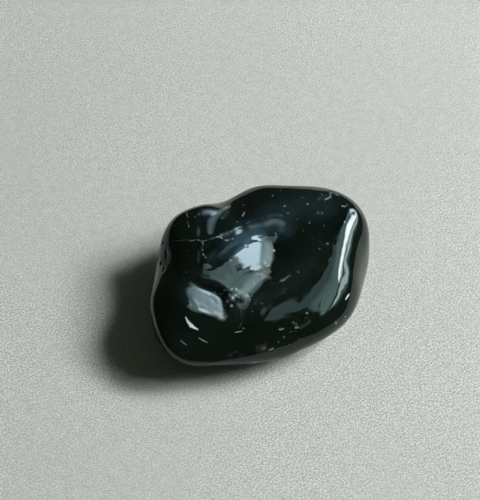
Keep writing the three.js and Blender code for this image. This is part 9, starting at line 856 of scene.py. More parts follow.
    [-0.33, 3.72, 0.54, 0.0326], [0.29, 3.72, 0.54, 0.0172], [0.91, 3.72, 0.54, -0.0189],
    [1.53, 3.72, 0.54, -0.0538], [2.15, 3.72, 0.54, -0.0143], [2.77, 3.72, 0.54, 0.0264], [3.39, 3.72, 0.54, 0.0361],
    [4.01, 3.72, 0.54, -0.0365], [-9.94, 4.26, 0.54, -0.0208], [-9.32, 4.26, 0.54, -0.0221],
    [-8.70, 4.26, 0.54, 0.0196], [-8.08, 4.26, 0.54, 0.0104], [-7.46, 4.26, 0.54, -0.0271],
    [-6.84, 4.26, 0.54, 0.0063], [-6.22, 4.26, 0.54, 0.0522], [-5.60, 4.26, 0.54, 0.0385],
    [-4.98, 4.26, 0.54, 0.0777], [-4.36, 4.26, 0.54, 0.0496], [-3.74, 4.26, 0.54, 0.0079],
    [-3.12, 4.26, 0.54, -0.0756], [-2.50, 4.26, 0.54, -0.0748], [-1.88, 4.26, 0.54, -0.0399],
    [-1.26, 4.26, 0.54, -0.0352], [-0.64, 4.26, 0.54, -0.0320], [-0.02, 4.26, 0.54, -0.0216],
    [0.60, 4.26, 0.54, 0.0124], [1.22, 4.26, 0.54, 0.0374], [1.84, 4.26, 0.54, 0.0237], [2.46, 4.26, 0.54, 0.0197],
    [3.08, 4.26, 0.54, 0.0167], [-9.01, 4.79, 0.54, 0.0024], [-8.39, 4.79, 0.54, -0.0009],
    [-7.77, 4.79, 0.54, -0.0017], [-7.15, 4.79, 0.54, -0.0134], [-6.53, 4.79, 0.54, -0.0211],
    [-5.91, 4.79, 0.54, -0.0195], [-5.29, 4.79, 0.54, -0.0240], [-4.67, 4.79, 0.54, -0.0478],
    [-4.05, 4.79, 0.54, -0.0015], [-3.43, 4.79, 0.54, 0.0668], [-2.81, 4.79, 0.54, 0.1314],
    [-2.19, 4.79, 0.54, 0.0821], [-1.57, 4.79, 0.54, 0.0536], [-0.95, 4.79, 0.54, 0.0570],
    [-0.33, 4.79, 0.54, 0.0448], [0.29, 4.79, 0.54, -0.0405], [0.91, 4.79, 0.54, -0.0933],
    [1.53, 4.79, 0.54, -0.0294], [2.15, 4.79, 0.54, 0.0586], [2.77, 4.79, 0.54, 0.0764],
    [-8.70, 5.33, 0.54, -0.0032], [-8.08, 5.33, 0.54, -0.0032], [-7.46, 5.33, 0.54, 0.0122],
    [-6.84, 5.33, 0.54, 0.0023], [-6.22, 5.33, 0.54, -0.0064], [-5.60, 5.33, 0.54, 0.0016],
    [-4.36, 5.33, 0.54, -0.0106], [-3.74, 5.33, 0.54, -0.0246], [-3.12, 5.33, 0.54, -0.0880],
    [-2.50, 5.33, 0.54, -0.1052], [-1.88, 5.33, 0.54, -0.0722], [-1.26, 5.33, 0.54, -0.0199],
    [-0.64, 5.33, 0.54, -0.1011], [-0.02, 5.33, 0.54, -0.0109], [0.60, 5.33, 0.54, 0.1294],
    [1.22, 5.33, 0.54, 0.0325], [1.84, 5.33, 0.54, 0.0223], [-6.53, 5.87, 0.54, 0.0042], [-5.91, 5.87, 0.54, 0.0061],
    [-5.29, 5.87, 0.54, 0.0068], [-4.67, 5.87, 0.54, 0.0105], [-4.05, 5.87, 0.54, 0.0009],
    [-3.43, 5.87, 0.54, 0.0139], [-2.81, 5.87, 0.54, 0.0342], [-2.19, 5.87, 0.54, 0.0558],
    [-1.57, 5.87, 0.54, 0.0207], [-0.33, 5.87, 0.54, 0.0445], [0.29, 5.87, 0.54, -0.0756],
    [0.91, 5.87, 0.54, 0.0679], [-7.46, 6.40, 0.54, -0.0027], [-6.84, 6.40, 0.54, -0.0027],
    [-6.22, 6.40, 0.54, -0.0025], [-5.60, 6.40, 0.54, -0.0036], [-4.98, 6.40, 0.54, -0.0052],
    [-4.36, 6.40, 0.54, -0.0023], [-3.74, 6.40, 0.54, -0.0233], [-3.12, 6.40, 0.54, -0.0321],
    [-2.50, 6.40, 0.54, -0.0184], [-1.88, 6.40, 0.54, -0.0464], [-1.26, 6.40, 0.54, -0.0196],
    [-0.64, 6.40, 0.54, -0.0332], [-0.02, 6.40, 0.54, 0.0038], [-7.77, 6.94, 0.54, 0.0022],
    [-7.15, 6.94, 0.54, 0.0029], [-5.29, 6.94, 0.54, 0.0141], [-4.67, 6.94, 0.54, -0.0222],
    [-4.05, 6.94, 0.54, -0.0140], [-3.43, 6.94, 0.54, 0.0213], [-2.19, 6.94, 0.54, 0.0315],
    [-1.57, 6.94, 0.54, 0.0162], [-6.22, 7.48, 0.54, 0.0018], [-5.60, 7.48, 0.54, -0.0062],
    [-4.98, 7.48, 0.54, 0.0326], [-4.36, 7.48, 0.54, -0.0318], [-3.74, 7.48, 0.54, -0.0265],
    [-3.12, 7.48, 0.54, 0.0402], [-2.50, 7.48, 0.54, -0.0078], [-6.53, 8.01, 0.54, 0.0014],
    [-5.91, 8.01, 0.54, -0.0011], [-5.29, 8.01, 0.54, -0.0431], [-4.67, 8.01, 0.54, 0.0404],
    [-4.05, 8.01, 0.54, 0.0397], [-3.43, 8.01, 0.54, -0.0729], [-2.81, 8.01, 0.54, 0.0444],
    [-6.22, 8.55, 0.54, 0.0074], [-5.60, 8.55, 0.54, 0.0120], [-4.98, 8.55, 0.54, -0.0485],
    [-4.36, 8.55, 0.54, 0.0389], [-3.74, 8.55, 0.54, 0.0348], [-5.91, 9.09, 0.54, -0.0020],
    [-5.29, 9.09, 0.54, 0.0380], [-4.67, 9.09, 0.54, -0.0684], [-4.05, 9.09, 0.54, 0.0333],
    [-5.60, 9.62, 0.54, 0.0080], [-4.98, 9.62, 0.54, 0.0389], [7.73, -11.32, 0.54, -0.0049],
    [8.35, -11.32, 0.54, -0.1979], [8.97, -11.32, 0.54, -0.2943], [6.18, -10.78, 0.54, -0.0945],
    [6.80, -10.78, 0.54, -0.0285], [7.42, -10.78, 0.54, 0.0282], [8.04, -10.78, 0.54, 0.0413],
    [8.66, -10.78, 0.54, 0.0073], [9.28, -10.78, 0.54, -0.3104], [9.90, -10.78, 0.54, -0.2311],
    [5.25, -10.24, 0.54, 0.0641], [5.87, -10.24, 0.54, 0.0145], [6.49, -10.24, 0.54, -0.0149],
    [7.11, -10.24, 0.54, -0.1834], [7.73, -10.24, 0.54, -0.0367], [8.35, -10.24, 0.54, -0.1035],
    [8.97, -10.24, 0.54, 0.0186], [9.59, -10.24, 0.54, 0.0805], [10.21, -10.24, 0.54, -0.1179],
    [4.94, -9.70, 0.54, 0.0597], [5.56, -9.70, 0.54, 0.0404], [6.18, -9.70, 0.54, -0.0284],
    [6.80, -9.70, 0.54, 0.0259], [7.42, -9.70, 0.54, -0.0286], [8.04, -9.70, 0.54, 0.0107],
    [8.66, -9.70, 0.54, 0.0726], [9.28, -9.70, 0.54, -0.0930], [9.90, -9.70, 0.54, 0.1339],
    [10.52, -9.70, 0.54, -0.0202], [5.87, -9.17, 0.54, 0.0699], [6.49, -9.17, 0.54, -0.0546],
    [7.11, -9.17, 0.54, -0.0238], [7.73, -9.17, 0.54, -0.0046], [8.35, -9.17, 0.54, -0.0585],
    [8.97, -9.17, 0.54, 0.1281], [9.59, -9.17, 0.54, 0.0233], [10.21, -9.17, 0.54, 0.0626],
    [10.83, -9.17, 0.54, 0.0799], [11.45, -9.17, 0.54, -0.0632], [6.18, -8.63, 0.54, 0.0309],
    [6.80, -8.63, 0.54, 0.0238], [7.42, -8.63, 0.54, -0.0272], [8.04, -8.63, 0.54, 0.0873],
    [8.66, -8.63, 0.54, -0.0608], [9.28, -8.63, 0.54, -0.0276], [9.90, -8.63, 0.54, 0.0561],
    [10.52, -8.63, 0.54, 0.0096], [11.14, -8.63, 0.54, 0.0913], [11.76, -8.63, 0.54, 0.0238],
    [6.49, -8.09, 0.54, 0.0250], [7.11, -8.09, 0.54, 0.0354], [7.73, -8.09, 0.54, -0.0438],
    [8.35, -8.09, 0.54, 0.0346], [8.97, -8.09, 0.54, 0.0839], [9.59, -8.09, 0.54, -0.0686],
    [10.21, -8.09, 0.54, 0.0367], [10.83, -8.09, 0.54, 0.0186], [11.45, -8.09, 0.54, 0.0697],
    [12.07, -8.09, 0.54, 0.0488], [6.80, -7.56, 0.54, -0.0235], [7.42, -7.56, 0.54, 0.0645],
    [8.04, -7.56, 0.54, 0.0209], [8.66, -7.56, 0.54, -0.0906], [9.28, -7.56, 0.54, 0.0615],
    [9.90, -7.56, 0.54, 0.0044], [10.52, -7.56, 0.54, -0.0285], [11.14, -7.56, 0.54, 0.0419],
    [11.76, -7.56, 0.54, 0.0142], [12.38, -7.56, 0.54, 0.1381], [7.73, -7.02, 0.54, -0.0436],
    [8.35, -7.02, 0.54, 0.0694], [8.97, -7.02, 0.54, -0.0552], [9.59, -7.02, 0.54, -0.0235],
    [10.21, -7.02, 0.54, 0.0577], [10.83, -7.02, 0.54, -0.0373], [11.45, -7.02, 0.54, 0.0378],
    [12.07, -7.02, 0.54, -0.0356], [12.69, -7.02, 0.54, 0.0550], [13.31, -7.02, 0.54, 0.1048],
    [8.04, -6.48, 0.54, -0.0388], [8.66, -6.48, 0.54, 0.0016], [9.28, -6.48, 0.54, 0.0172],
    [9.90, -6.48, 0.54, -0.0837], [10.52, -6.48, 0.54, 0.0203], [11.14, -6.48, 0.54, -0.0180],
    [11.76, -6.48, 0.54, -0.0225], [12.38, -6.48, 0.54, 0.0468], [13.00, -6.48, 0.54, -0.0516],
    [13.62, -6.48, 0.54, 0.0262], [8.35, -5.95, 0.54, -0.0320], [8.97, -5.95, 0.54, -0.0449],
    [9.59, -5.95, 0.54, 0.0564], [10.21, -5.95, 0.54, -0.0098], [10.83, -5.95, 0.54, -0.0473],
    [11.45, -5.95, 0.54, 0.0557], [12.07, -5.95, 0.54, -0.0628], [12.69, -5.95, 0.54, -0.0079],
    [13.31, -5.95, 0.54, 0.0381], [13.93, -5.95, 0.54, -0.0268], [9.28, -5.41, 0.54, 0.0031],
    [9.90, -5.41, 0.54, -0.0406], [10.52, -5.41, 0.54, 0.1252], [11.14, -5.41, 0.54, -0.0836],
    [11.76, -5.41, 0.54, 0.0056], [12.38, -5.41, 0.54, 0.0685], [13.00, -5.41, 0.54, -0.1006],
    [13.62, -5.41, 0.54, -0.0212], [14.24, -5.41, 0.54, 0.0620], [9.59, -4.87, 0.54, 0.0349],
    [10.21, -4.87, 0.54, -0.0367], [10.83, -4.87, 0.54, 0.0541], [11.45, -4.87, 0.54, 0.0927],
    [12.07, -4.87, 0.54, -0.1442], [12.69, -4.87, 0.54, 0.0781], [13.31, -4.87, 0.54, 0.0832],
    [13.93, -4.87, 0.54, -0.0649], [14.55, -4.87, 0.54, 0.0271], [15.17, -4.87, 0.54, 0.0548],
    [9.90, -4.34, 0.54, 0.0467], [10.52, -4.34, 0.54, 0.0417], [11.14, -4.34, 0.54, -0.0382],
    [11.76, -4.34, 0.54, 0.1409], [12.38, -4.34, 0.54, 0.0130], [13.00, -4.34, 0.54, -0.1915],
    [13.62, -4.34, 0.54, 0.0902], [14.24, -4.34, 0.54, 0.0600], [14.86, -4.34, 0.54, 0.0659],
    [15.48, -4.34, 0.54, 0.0641], [10.83, -3.80, 0.54, 0.0808], [11.45, -3.80, 0.54, -0.0240],
    [12.07, -3.80, 0.54, -0.0272], [12.69, -3.80, 0.54, 0.2002], [13.31, -3.80, 0.54, 0.0123],
    [13.93, -3.80, 0.54, -0.1277], [14.55, -3.80, 0.54, 0.1170], [15.17, -3.80, 0.54, -0.0252],
    [15.79, -3.80, 0.54, 0.0929], [11.14, -3.26, 0.54, 0.0204], [11.76, -3.26, 0.54, 0.0821],
    [12.38, -3.26, 0.54, -0.1237], [13.00, -3.26, 0.54, -0.0444], [13.62, -3.26, 0.54, 0.1126],
    [14.24, -3.26, 0.54, 0.0865], [14.86, -3.26, 0.54, -0.2122], [15.48, -3.26, 0.54, 0.3397],
    [16.10, -3.26, 0.54, -0.1819], [16.72, -3.26, 0.54, 0.1342], [11.45, -2.72, 0.54, -0.0388],
    [12.07, -2.72, 0.54, 0.0316], [12.69, -2.72, 0.54, 0.0707], [13.31, -2.72, 0.54, -0.0463],
    [13.93, -2.72, 0.54, -0.1207], [14.55, -2.72, 0.54, 0.1636], [15.17, -2.72, 0.54, -0.0202],
    [15.79, -2.72, 0.54, -0.0482], [16.41, -2.72, 0.54, 0.0902], [17.03, -2.72, 0.54, -0.0363],
    [11.76, -2.19, 0.54, -0.0121], [12.38, -2.19, 0.54, -0.0485], [13.00, -2.19, 0.54, -0.0161],
    [13.62, -2.19, 0.54, 0.1210], [14.24, -2.19, 0.54, -0.0424], [14.86, -2.19, 0.54, -0.0616],
    [15.48, -2.19, 0.54, 0.0638], [16.72, -2.19, 0.54, 0.0258], [17.34, -2.19, 0.54, 0.0118],
    [12.69, -1.65, 0.54, 0.0285], [13.31, -1.65, 0.54, -0.0376], [13.93, -1.65, 0.54, -0.0157],
    [14.55, -1.65, 0.54, 0.0537], [13.00, -1.11, 0.54, 0.0066], [13.62, -1.11, 0.54, 0.0335],
    [14.24, -1.11, 0.54, -0.0130], [-2.50, -6.48, 0.54, 0.0035], [-2.81, -5.95, 0.54, 0.0069],
    [-2.19, -5.95, 0.54, 0.0024], [-1.57, -5.95, 0.54, -0.0030], [-3.74, -5.41, 0.54, -0.0257],
    [-3.12, -5.41, 0.54, -0.0124], [-2.50, -5.41, 0.54, 0.0080], [-1.88, -5.41, 0.54, 0.0029],
    [-1.26, -5.41, 0.54, 0.0255], [-4.05, -4.87, 0.54, 0.0091], [-3.43, -4.87, 0.54, 0.0393],
    [-2.81, -4.87, 0.54, 0.0010], [-2.19, -4.87, 0.54, 0.0195], [-1.57, -4.87, 0.54, -0.0161],
    [-0.95, -4.87, 0.54, -0.0091], [-4.98, -4.34, 0.54, 0.0689], [-4.36, -4.34, 0.54, 0.0186],
    [-3.74, -4.34, 0.54, -0.0504], [-3.12, -4.34, 0.54, -0.0029], [-2.50, -4.34, 0.54, -0.0231],
    [-1.88, -4.34, 0.54, -0.0012], [-1.26, -4.34, 0.54, 0.0173], [-0.64, -4.34, 0.54, -0.0023],
    [-0.02, -4.34, 0.54, 0.0180], [-5.91, -3.80, 0.54, 0.0134], [-5.29, -3.80, 0.54, -0.0178],
    [-4.67, -3.80, 0.54, -0.0793], [-4.05, -3.80, 0.54, 0.0862], [-3.43, -3.80, 0.54, 0.0246],
    [-2.81, -3.80, 0.54, 0.0362], [-2.19, -3.80, 0.54, 0.0305], [-1.57, -3.80, 0.54, -0.0147],
    [-0.95, -3.80, 0.54, 0.0017], [-0.33, -3.80, 0.54, 0.0078], [0.29, -3.80, 0.54, -0.0088],
    [-6.22, -3.26, 0.54, -0.0365], [-5.60, -3.26, 0.54, 0.0605], [-4.98, -3.26, 0.54, 0.0746],
    [-4.36, -3.26, 0.54, -0.0553], [-3.74, -3.26, 0.54, -0.0789], [-3.12, -3.26, 0.54, -0.0227],
    [-2.50, -3.26, 0.54, -0.0523], [-1.88, -3.26, 0.54, 0.0082], [-1.26, -3.26, 0.54, 0.0201],
    [-0.64, -3.26, 0.54, -0.0074], [-0.02, -3.26, 0.54, 0.0151], [0.60, -3.26, 0.54, 0.0183],
    [-7.15, -2.72, 0.54, -0.0096], [-6.53, -2.72, 0.54, -0.0021], [-5.91, -2.72, 0.54, 0.0192],
    [-5.29, -2.72, 0.54, -0.0527], [-4.67, -2.72, 0.54, 0.0205], [-4.05, -2.72, 0.54, 0.0923],
    [-3.43, -2.72, 0.54, 0.0414], [-2.81, -2.72, 0.54, 0.0335], [-2.19, -2.72, 0.54, 0.0280],
    [-1.57, -2.72, 0.54, -0.0452], [-0.95, -2.72, 0.54, -0.0108], [-0.33, -2.72, 0.54, 0.0137],
    [0.29, -2.72, 0.54, -0.0237], [0.91, -2.72, 0.54, -0.0130], [-6.84, -2.19, 0.54, -0.0080],
    [-6.22, -2.19, 0.54, -0.0184], [-5.60, -2.19, 0.54, 0.0497], [-4.98, -2.19, 0.54, 0.0107],
    [-4.36, -2.19, 0.54, -0.0522], [-3.74, -2.19, 0.54, -0.0429], [-3.12, -2.19, 0.54, -0.0101],
    [-2.50, -2.19, 0.54, -0.0119], [-1.88, -2.19, 0.54, 0.0258], [-1.26, -2.19, 0.54, 0.0478],
    [-0.64, -2.19, 0.54, -0.0573], [-0.02, -2.19, 0.54, -0.0479], [0.60, -2.19, 0.54, 0.0509],
    [1.22, -2.19, 0.54, 0.0639], [1.84, -2.19, 0.54, 0.0312], [-6.53, -1.65, 0.54, -0.0325],
    [-5.91, -1.65, 0.54, 0.0465], [-5.29, -1.65, 0.54, -0.1073], [-4.67, -1.65, 0.54, 0.0563],
    [-4.05, -1.65, 0.54, 0.0307], [-3.43, -1.65, 0.54, 0.0229], [-2.81, -1.65, 0.54, 0.0149],
    [-2.19, -1.65, 0.54, 0.0175], [-1.57, -1.65, 0.54, -0.0242], [-0.95, -1.65, 0.54, 0.0025],
    [-0.33, -1.65, 0.54, 0.1134], [0.29, -1.65, 0.54, 0.0057], [0.91, -1.65, 0.54, -0.0720],
    [1.53, -1.65, 0.54, -0.0616], [2.15, -1.65, 0.54, 0.0735], [-5.60, -1.11, 0.54, 0.0155],
    [-4.98, -1.11, 0.54, 0.0198], [-4.36, -1.11, 0.54, -0.0707], [-3.74, -1.11, 0.54, 0.0044],
    [-3.12, -1.11, 0.54, -0.0150], [-2.50, -1.11, 0.54, -0.0118], [-1.88, -1.11, 0.54, 0.0115],
    [-1.26, -1.11, 0.54, 0.0434], [-0.64, -1.11, 0.54, -0.0521], [-0.02, -1.11, 0.54, -0.0845],
    [0.60, -1.11, 0.54, 0.0469], [1.22, -1.11, 0.54, 0.0913], [1.84, -1.11, 0.54, -0.0565],
    [2.46, -1.11, 0.54, 0.0300], [-5.29, -0.58, 0.54, -0.0201], [-4.67, -0.58, 0.54, 0.0174],
    [-4.05, -0.58, 0.54, 0.0281], [-3.43, -0.58, 0.54, -0.0238], [-2.81, -0.58, 0.54, 0.0213],
    [-2.19, -0.58, 0.54, 0.0085], [-1.57, -0.58, 0.54, -0.0251], [-0.95, -0.58, 0.54, -0.0055],
    [-0.33, -0.58, 0.54, 0.0508], [0.29, -0.58, 0.54, 0.0365], [0.91, -0.58, 0.54, -0.0497],
    [1.53, -0.58, 0.54, 0.0365], [2.15, -0.58, 0.54, 0.0109], [-4.98, -0.04, 0.54, -0.0053],
    [-4.36, -0.04, 0.54, 0.0043], [-3.74, -0.04, 0.54, 0.0202], [-3.12, -0.04, 0.54, 0.0286],
    [-2.50, -0.04, 0.54, -0.0233], [-1.88, -0.04, 0.54, 0.0233], [-1.26, -0.04, 0.54, 0.0232],
    [-0.64, -0.04, 0.54, -0.0082], [-0.02, -0.04, 0.54, -0.0513], [0.60, -0.04, 0.54, 0.0112],
    [-4.67, 0.50, 0.54, -0.0155], [-4.05, 0.50, 0.54, 0.0159], [-3.43, 0.50, 0.54, -0.0422],
    [-2.81, 0.50, 0.54, 0.0087], [-2.19, 0.50, 0.54, 0.0145], [-1.57, 0.50, 0.54, -0.0218],
    [-0.95, 0.50, 0.54, 0.0057], [-0.33, 0.50, 0.54, 0.0236], [-4.36, 1.03, 0.54, 0.0053],
    [-3.74, 1.03, 0.54, 0.0282], [-3.12, 1.03, 0.54, 0.0333], [-2.50, 1.03, 0.54, -0.0215],
    [-1.88, 1.03, 0.54, 0.0111], [-1.26, 1.03, 0.54, 0.0186], [-3.43, 1.57, 0.54, -0.0588],
    [-2.81, 1.57, 0.54, 0.0083], [-2.19, 1.57, 0.54, 0.0156], [-3.12, 2.11, 0.54, 0.0297],
])


def skin(d):
    """Points of the skin, mm, in unit directions d from the heart."""
    c, s = math.cos(BODY_TURN), math.sin(BODY_TURN)
    x, y, z = d[:, 0] * c + d[:, 1] * s, -d[:, 0] * s + d[:, 1] * c, d[:, 2]
    h = (CROWN + BELLY) / 2 + (CROWN - BELLY) / 2 * np.tanh(2.5 * z)
    log_r = -np.log(np.abs(x / HALF_LENGTH) ** SQUARENESS + np.abs(y / HALF_WIDTH) ** SQUARENESS + np.abs(z / h) ** SQUARENESS) / SQUARENESS
    lon, lat = np.radians(SWELLS[:, 0]), np.radians(SWELLS[:, 1])
    centres = np.c_[np.cos(lat) * np.cos(lon), np.cos(lat) * np.sin(lon), np.sin(lat)]
    k = 1 / np.radians(SWELLS[:, 2]) ** 2
    out = np.empty_like(d)
    for i in range(0, len(d), 6000):
        part = d[i : i + 6000]
        r = np.exp(log_r[i : i + 6000] + np.exp(k[None] * (part @ centres.T - 1)) @ (SWELLS[:, 3] / 100))
        p = HEART + r[:, None] * part
        t = np.clip((p[:, 2] - CROWN_FROM) / (CROWN_FULL - CROWN_FROM), 0, 1)
        q = (p[:, 0:1] - CROWN_RELIEF[None, :, 0]) ** 2 + (p[:, 1:2] - CROWN_RELIEF[None, :, 1]) ** 2
        p[:, 2] += t * t * (3 - 2 * t) * (np.exp(-q / (2 * CROWN_RELIEF[None, :, 2] ** 2)) @ CROWN_RELIEF[:, 3])
        out[i : i + 6000] = p
    z, w = out[:, 2], REST_BLEND
    out[:, 2] = np.where(z < -w, 0, np.where(z < w, (z + w) ** 2 / (4 * w), z))
    return out


def geodesic(n):
    """Unit vertices and triangles of an icosahedron with each edge cut into n."""
    t = (1 + 5**0.5) / 2
    v = np.array([(-1, t, 0), (1, t, 0), (-1, -t, 0), (1, -t, 0), (0, -1, t), (0, 1, t), (0, -1, -t), (0, 1, -t), (t, 0, -1), (t, 0, 1), (-t, 0, -1), (-t, 0, 1)], float)
    f = [(0, 11, 5), (0, 5, 1), (0, 1, 7), (0, 7, 10), (0, 10, 11), (1, 5, 9), (5, 11, 4), (11, 10, 2), (10, 7, 6), (7, 1, 8), (3, 9, 4), (3, 4, 2), (3, 2, 6), (3, 6, 8), (3, 8, 9), (4, 9, 5), (2, 4, 11), (6, 2, 10), (8, 6, 7), (9, 8, 1)]
    index, rows = {}, 0
    ij = [(i, j) for i in range(n + 1) for j in range(n + 1 - i)]
    index = {q: k for k, q in enumerate(ij)}
    ij = np.array(ij, float)
    tri = []
    for i in range(n):
        for j in range(n - i):
            tri.append((index[i, j], index[i + 1, j], index[i, j + 1]))
            if i + j < n - 1:
                tri.append((index[i + 1, j], index[i + 1, j + 1], index[i, j + 1]))
    tri = np.array(tri)
    pts, faces = [], []
    u, w = ij[:, 0:1] / n, ij[:, 1:2] / n
    for a, b, c in f:
        pts.append(v[a] * (1 - u - w) + v[b] * u + v[c] * w)
        faces.append(tri + rows)
        rows += len(ij)
    pts, faces = np.vstack(pts), np.vstack(faces)
    _, first, inverse = np.unique(np.round(pts, 6), axis=0, return_index=True, return_inverse=True)
    pts = pts[first]
    return pts / np.linalg.norm(pts, axis=1)[:, None], inverse.reshape(-1)[faces]


def vertex_normals(p, f):
    fn = np.cross(p[f[:, 1]] - p[f[:, 0]], p[f[:, 2]] - p[f[:, 0]])
    n = np.zeros_like(p)
    for k in range(3):
        for a in range(3):
            n[:, a] += np.bincount(f[:, k], fn[:, a], len(p))
    return n / np.linalg.norm(n, axis=1)[:, None]


DETAIL = 98
CROWD = 0.68  # below 1 crowds the vertices towards the side that faces the camera


def crowd(d, axis, k):
    """Slides unit directions towards an axis: tan(angle / 2) is scaled by k."""
    c = np.clip(d @ axis, -1, 1)
    t = np.sqrt((1 - c) / np.maximum(1 + c, 1e-9)) * k
    c2 = (1 - t * t) / (1 + t * t)
    side = d - c[:, None] * axis
    length = np.linalg.norm(side, axis=1)
    side = side / np.maximum(length, 1e-12)[:, None]
    return c2[:, None] * axis + np.sqrt(np.maximum(1 - c2 * c2, 0))[:, None] * side


dirs, tris = geodesic(DETAIL)
dirs = crowd(dirs, _back, CROWD)
P = skin(dirs)
lo, hi = (np.array(c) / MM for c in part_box("stone"))
P = (P - P.min(0)) / np.ptp(P, axis=0) * (hi - lo) + lo
N = vertex_normals(P, tris)
if (P * N).sum() < 0:
    tris = tris[:, ::-1].copy()
    N = -N
bvh = BVHTree.FromPolygons([Vector(p) for p in P], tris.tolist())


def at(px, py):
    """The point of the skin that shows at a pixel, or None off the stone."""
    hit = bvh.ray_cast(Vector(EYE), Vector(ray(px, py)))
    return None if hit[0] is None else np.array(hit[0])


PX = 1 / 7.35  # mm a pixel spans on the stone


def along(points, width, soft=0.7, radii=None):
    """0..1 nearness of each vertex to a line of pixels carried on to the skin. width is the full width in pixels."""
    q = [at(*p) for p in points]
    best = np.zeros(len(P))
    wid = np.asarray(radii if radii is not None else [width] * len(points), float) / 2 * PX
    if len(points) == 1:
        if q[0] is None:
            return best
        d = np.linalg.norm(P - q[0], axis=1)
        return 1 - smooth((d - wid[0] * (1 - soft)) / (2 * wid[0] * soft + 1e-9))
    for a, b, wa, wb in zip(q[:-1], q[1:], wid[:-1], wid[1:]):
        if a is None or b is None:
            continue
        e = b - a
        t = np.clip(((P - a) @ e) / max(e @ e, 1e-12), 0, 1)
        d = np.linalg.norm(P - (a + t[:, None] * e), axis=1)
        w = wa + (wb - wa) * t
        best = np.maximum(best, 1 - smooth((d - w * (1 - soft)) / (2 * w * soft + 1e-9)))
    return best


def smooth(t):
    t = np.clip(t, 0, 1)
    return t * t * (3 - 2 * t)


def lattice_noise(p, cell, seed):
    """Smooth value noise, -1..1, of points p with the given cell size in mm."""
    q = p / cell + seed * 17.31
    i = np.floor(q).astype(np.int64)
    f = q - i
    f = f * f * f * (f * (6 * f - 15) + 10)
    out = 0
    for dx in (0, 1):
        for dy in (0, 1):
            for dz in (0, 1):
                h = ((i[:, 0] + dx) * 73856093) ^ ((i[:, 1] + dy) * 19349663) ^ ((i[:, 2] + dz) * 83492791)
                h = (h ^ (h >> 13)) * 1274126177
                v = ((h ^ (h >> 16)) & 0xFFFF) / 32767.5 - 1
                w = np.abs(1 - dx - f[:, 0]) * np.abs(1 - dy - f[:, 1]) * np.abs(1 - dz - f[:, 2])
                out = out + v * w
    return out


class Marks:
    """Marks finer than the mesh: each vertex near one keeps the vector from the mark's nearest point, in half widths."""

    REACH = 0.45  # mm beyond its half width that a mark's vectors are kept

    def __init__(self):
        self.vec = np.full((len(P), 3), 9.0)
        self.far = np.ones(len(P))
        self.gap = np.full(len(P), 1e3)
        self.tone = np.zeros(len(P))

    def put(self, q, wid, tone):
        """q: the mark's corner points, mm. wid: half widths, mm."""
        best = np.full(len(P), 1e9)
        near, half = np.zeros_like(P), np.ones(len(P))
        if len(q) == 1:
            q, wid = [q[0], q[0]], [wid[0], wid[0]]
        for a, b, wa, wb in zip(q[:-1], q[1:], wid[:-1], wid[1:]):
            if a is None or b is None:
                continue
            e = b - a
            t = np.clip(((P - a) @ e) / max(e @ e, 1e-12), 0, 1)
            c = a + t[:, None] * e
            d = ((P - c) ** 2).sum(1)
            m = d < best
            best[m], near[m] = d[m], c[m]
            half[m] = wa + (wb - wa) * t[m]
        d = np.sqrt(best)
        gap = d - half
        m = (gap < self.REACH) & (gap < self.gap)
        self.vec[m] = (P[m] - near[m]) / half[m, None]
        self.far[m] = np.clip(gap[m] / self.REACH, 0, 1)
        self.gap[m] = gap[m]
        self.tone[m] = tone


# ---- features -----------------------------------------------------------------------------
zero = np.zeros(len(P))
lines, grains, chips_painted_glint = Marks(), Marks(), Marks()
pale, rough, haze_and_painted_reflection, brown, depth = zero.copy(), zero.copy(), zero.copy(), zero.copy(), zero.copy()
milk = zero.copy()


def mark(field, value, strength=1.0):
    np.maximum(field, value * strength, out=field)


def beads(cell, seed, low=0.0):
    """0..1 breaks along a line, so that it shows as a string of uneven grains."""
    return low + (1 - low) * smooth((lattice_noise(P, cell, seed) + 0.25) / 0.7)


def px_line(points):
    return [at(*p) for p in points]


def healed(points, width, strength, seed, cut=0.012, radii=None, dull=0.3):
    """A healed crack: a thin pale line with a faint groove."""
    wid = np.asarray(radii if radii is not None else [width] * len(points), float) * 0.5 * PX
    lines.put(px_line(points), wid, min(strength * 1.1, 1.0))
    v = along(points, width, 0.9, radii)
    mark(rough, v, dull)
    depth[:] += cut * v


def speck(px, py, size, strength, cut=0.015, stretch=None, layer=None):
    """A pale grain. size is its width in pixels, stretch its run in pixels."""
    pts = [(px, py)] if stretch is None else [(px - stretch[0] / 2, py - stretch[1] / 2), (px + stretch[0] / 2, py + stretch[1] / 2)]
    (layer or grains).put(px_line(pts), [size * 0.40 * PX] * len(pts), strength)
    depth[:] += cut * along(pts, size, 0.75)


def chip_painted_glint(points, half, strength=1.0, cut=0.02):
    """A bruised chip, white and bright: the white is partly its own bruise and partly a painted glint."""
    chips_painted_glint.put(px_line(points), [h * PX for h in half], strength)
    depth[:] += cut * along(points, 2, 0.8, [2 * h for h in half])


def scoop(px, py, rx, ry, deep):
    c = at(px, py)
    if c is None:
        return
    ax, ay = at(px + 1, py), at(px, py - 1)
    q = P - c
    n0 = N[np.argmin((q**2).sum(1))]
    e1 = _right - (_right @ n0) * n0
    e1 /= np.linalg.norm(e1)
    e2 = np.cross(n0, e1)
    d = np.sqrt(((q @ e1) / (rx * PX)) ** 2 + ((q @ e2) / (ry * PX)) ** 2)
    depth[:] += deep * (1 - smooth(d)) * (np.abs(q @ n0) < 1.2)


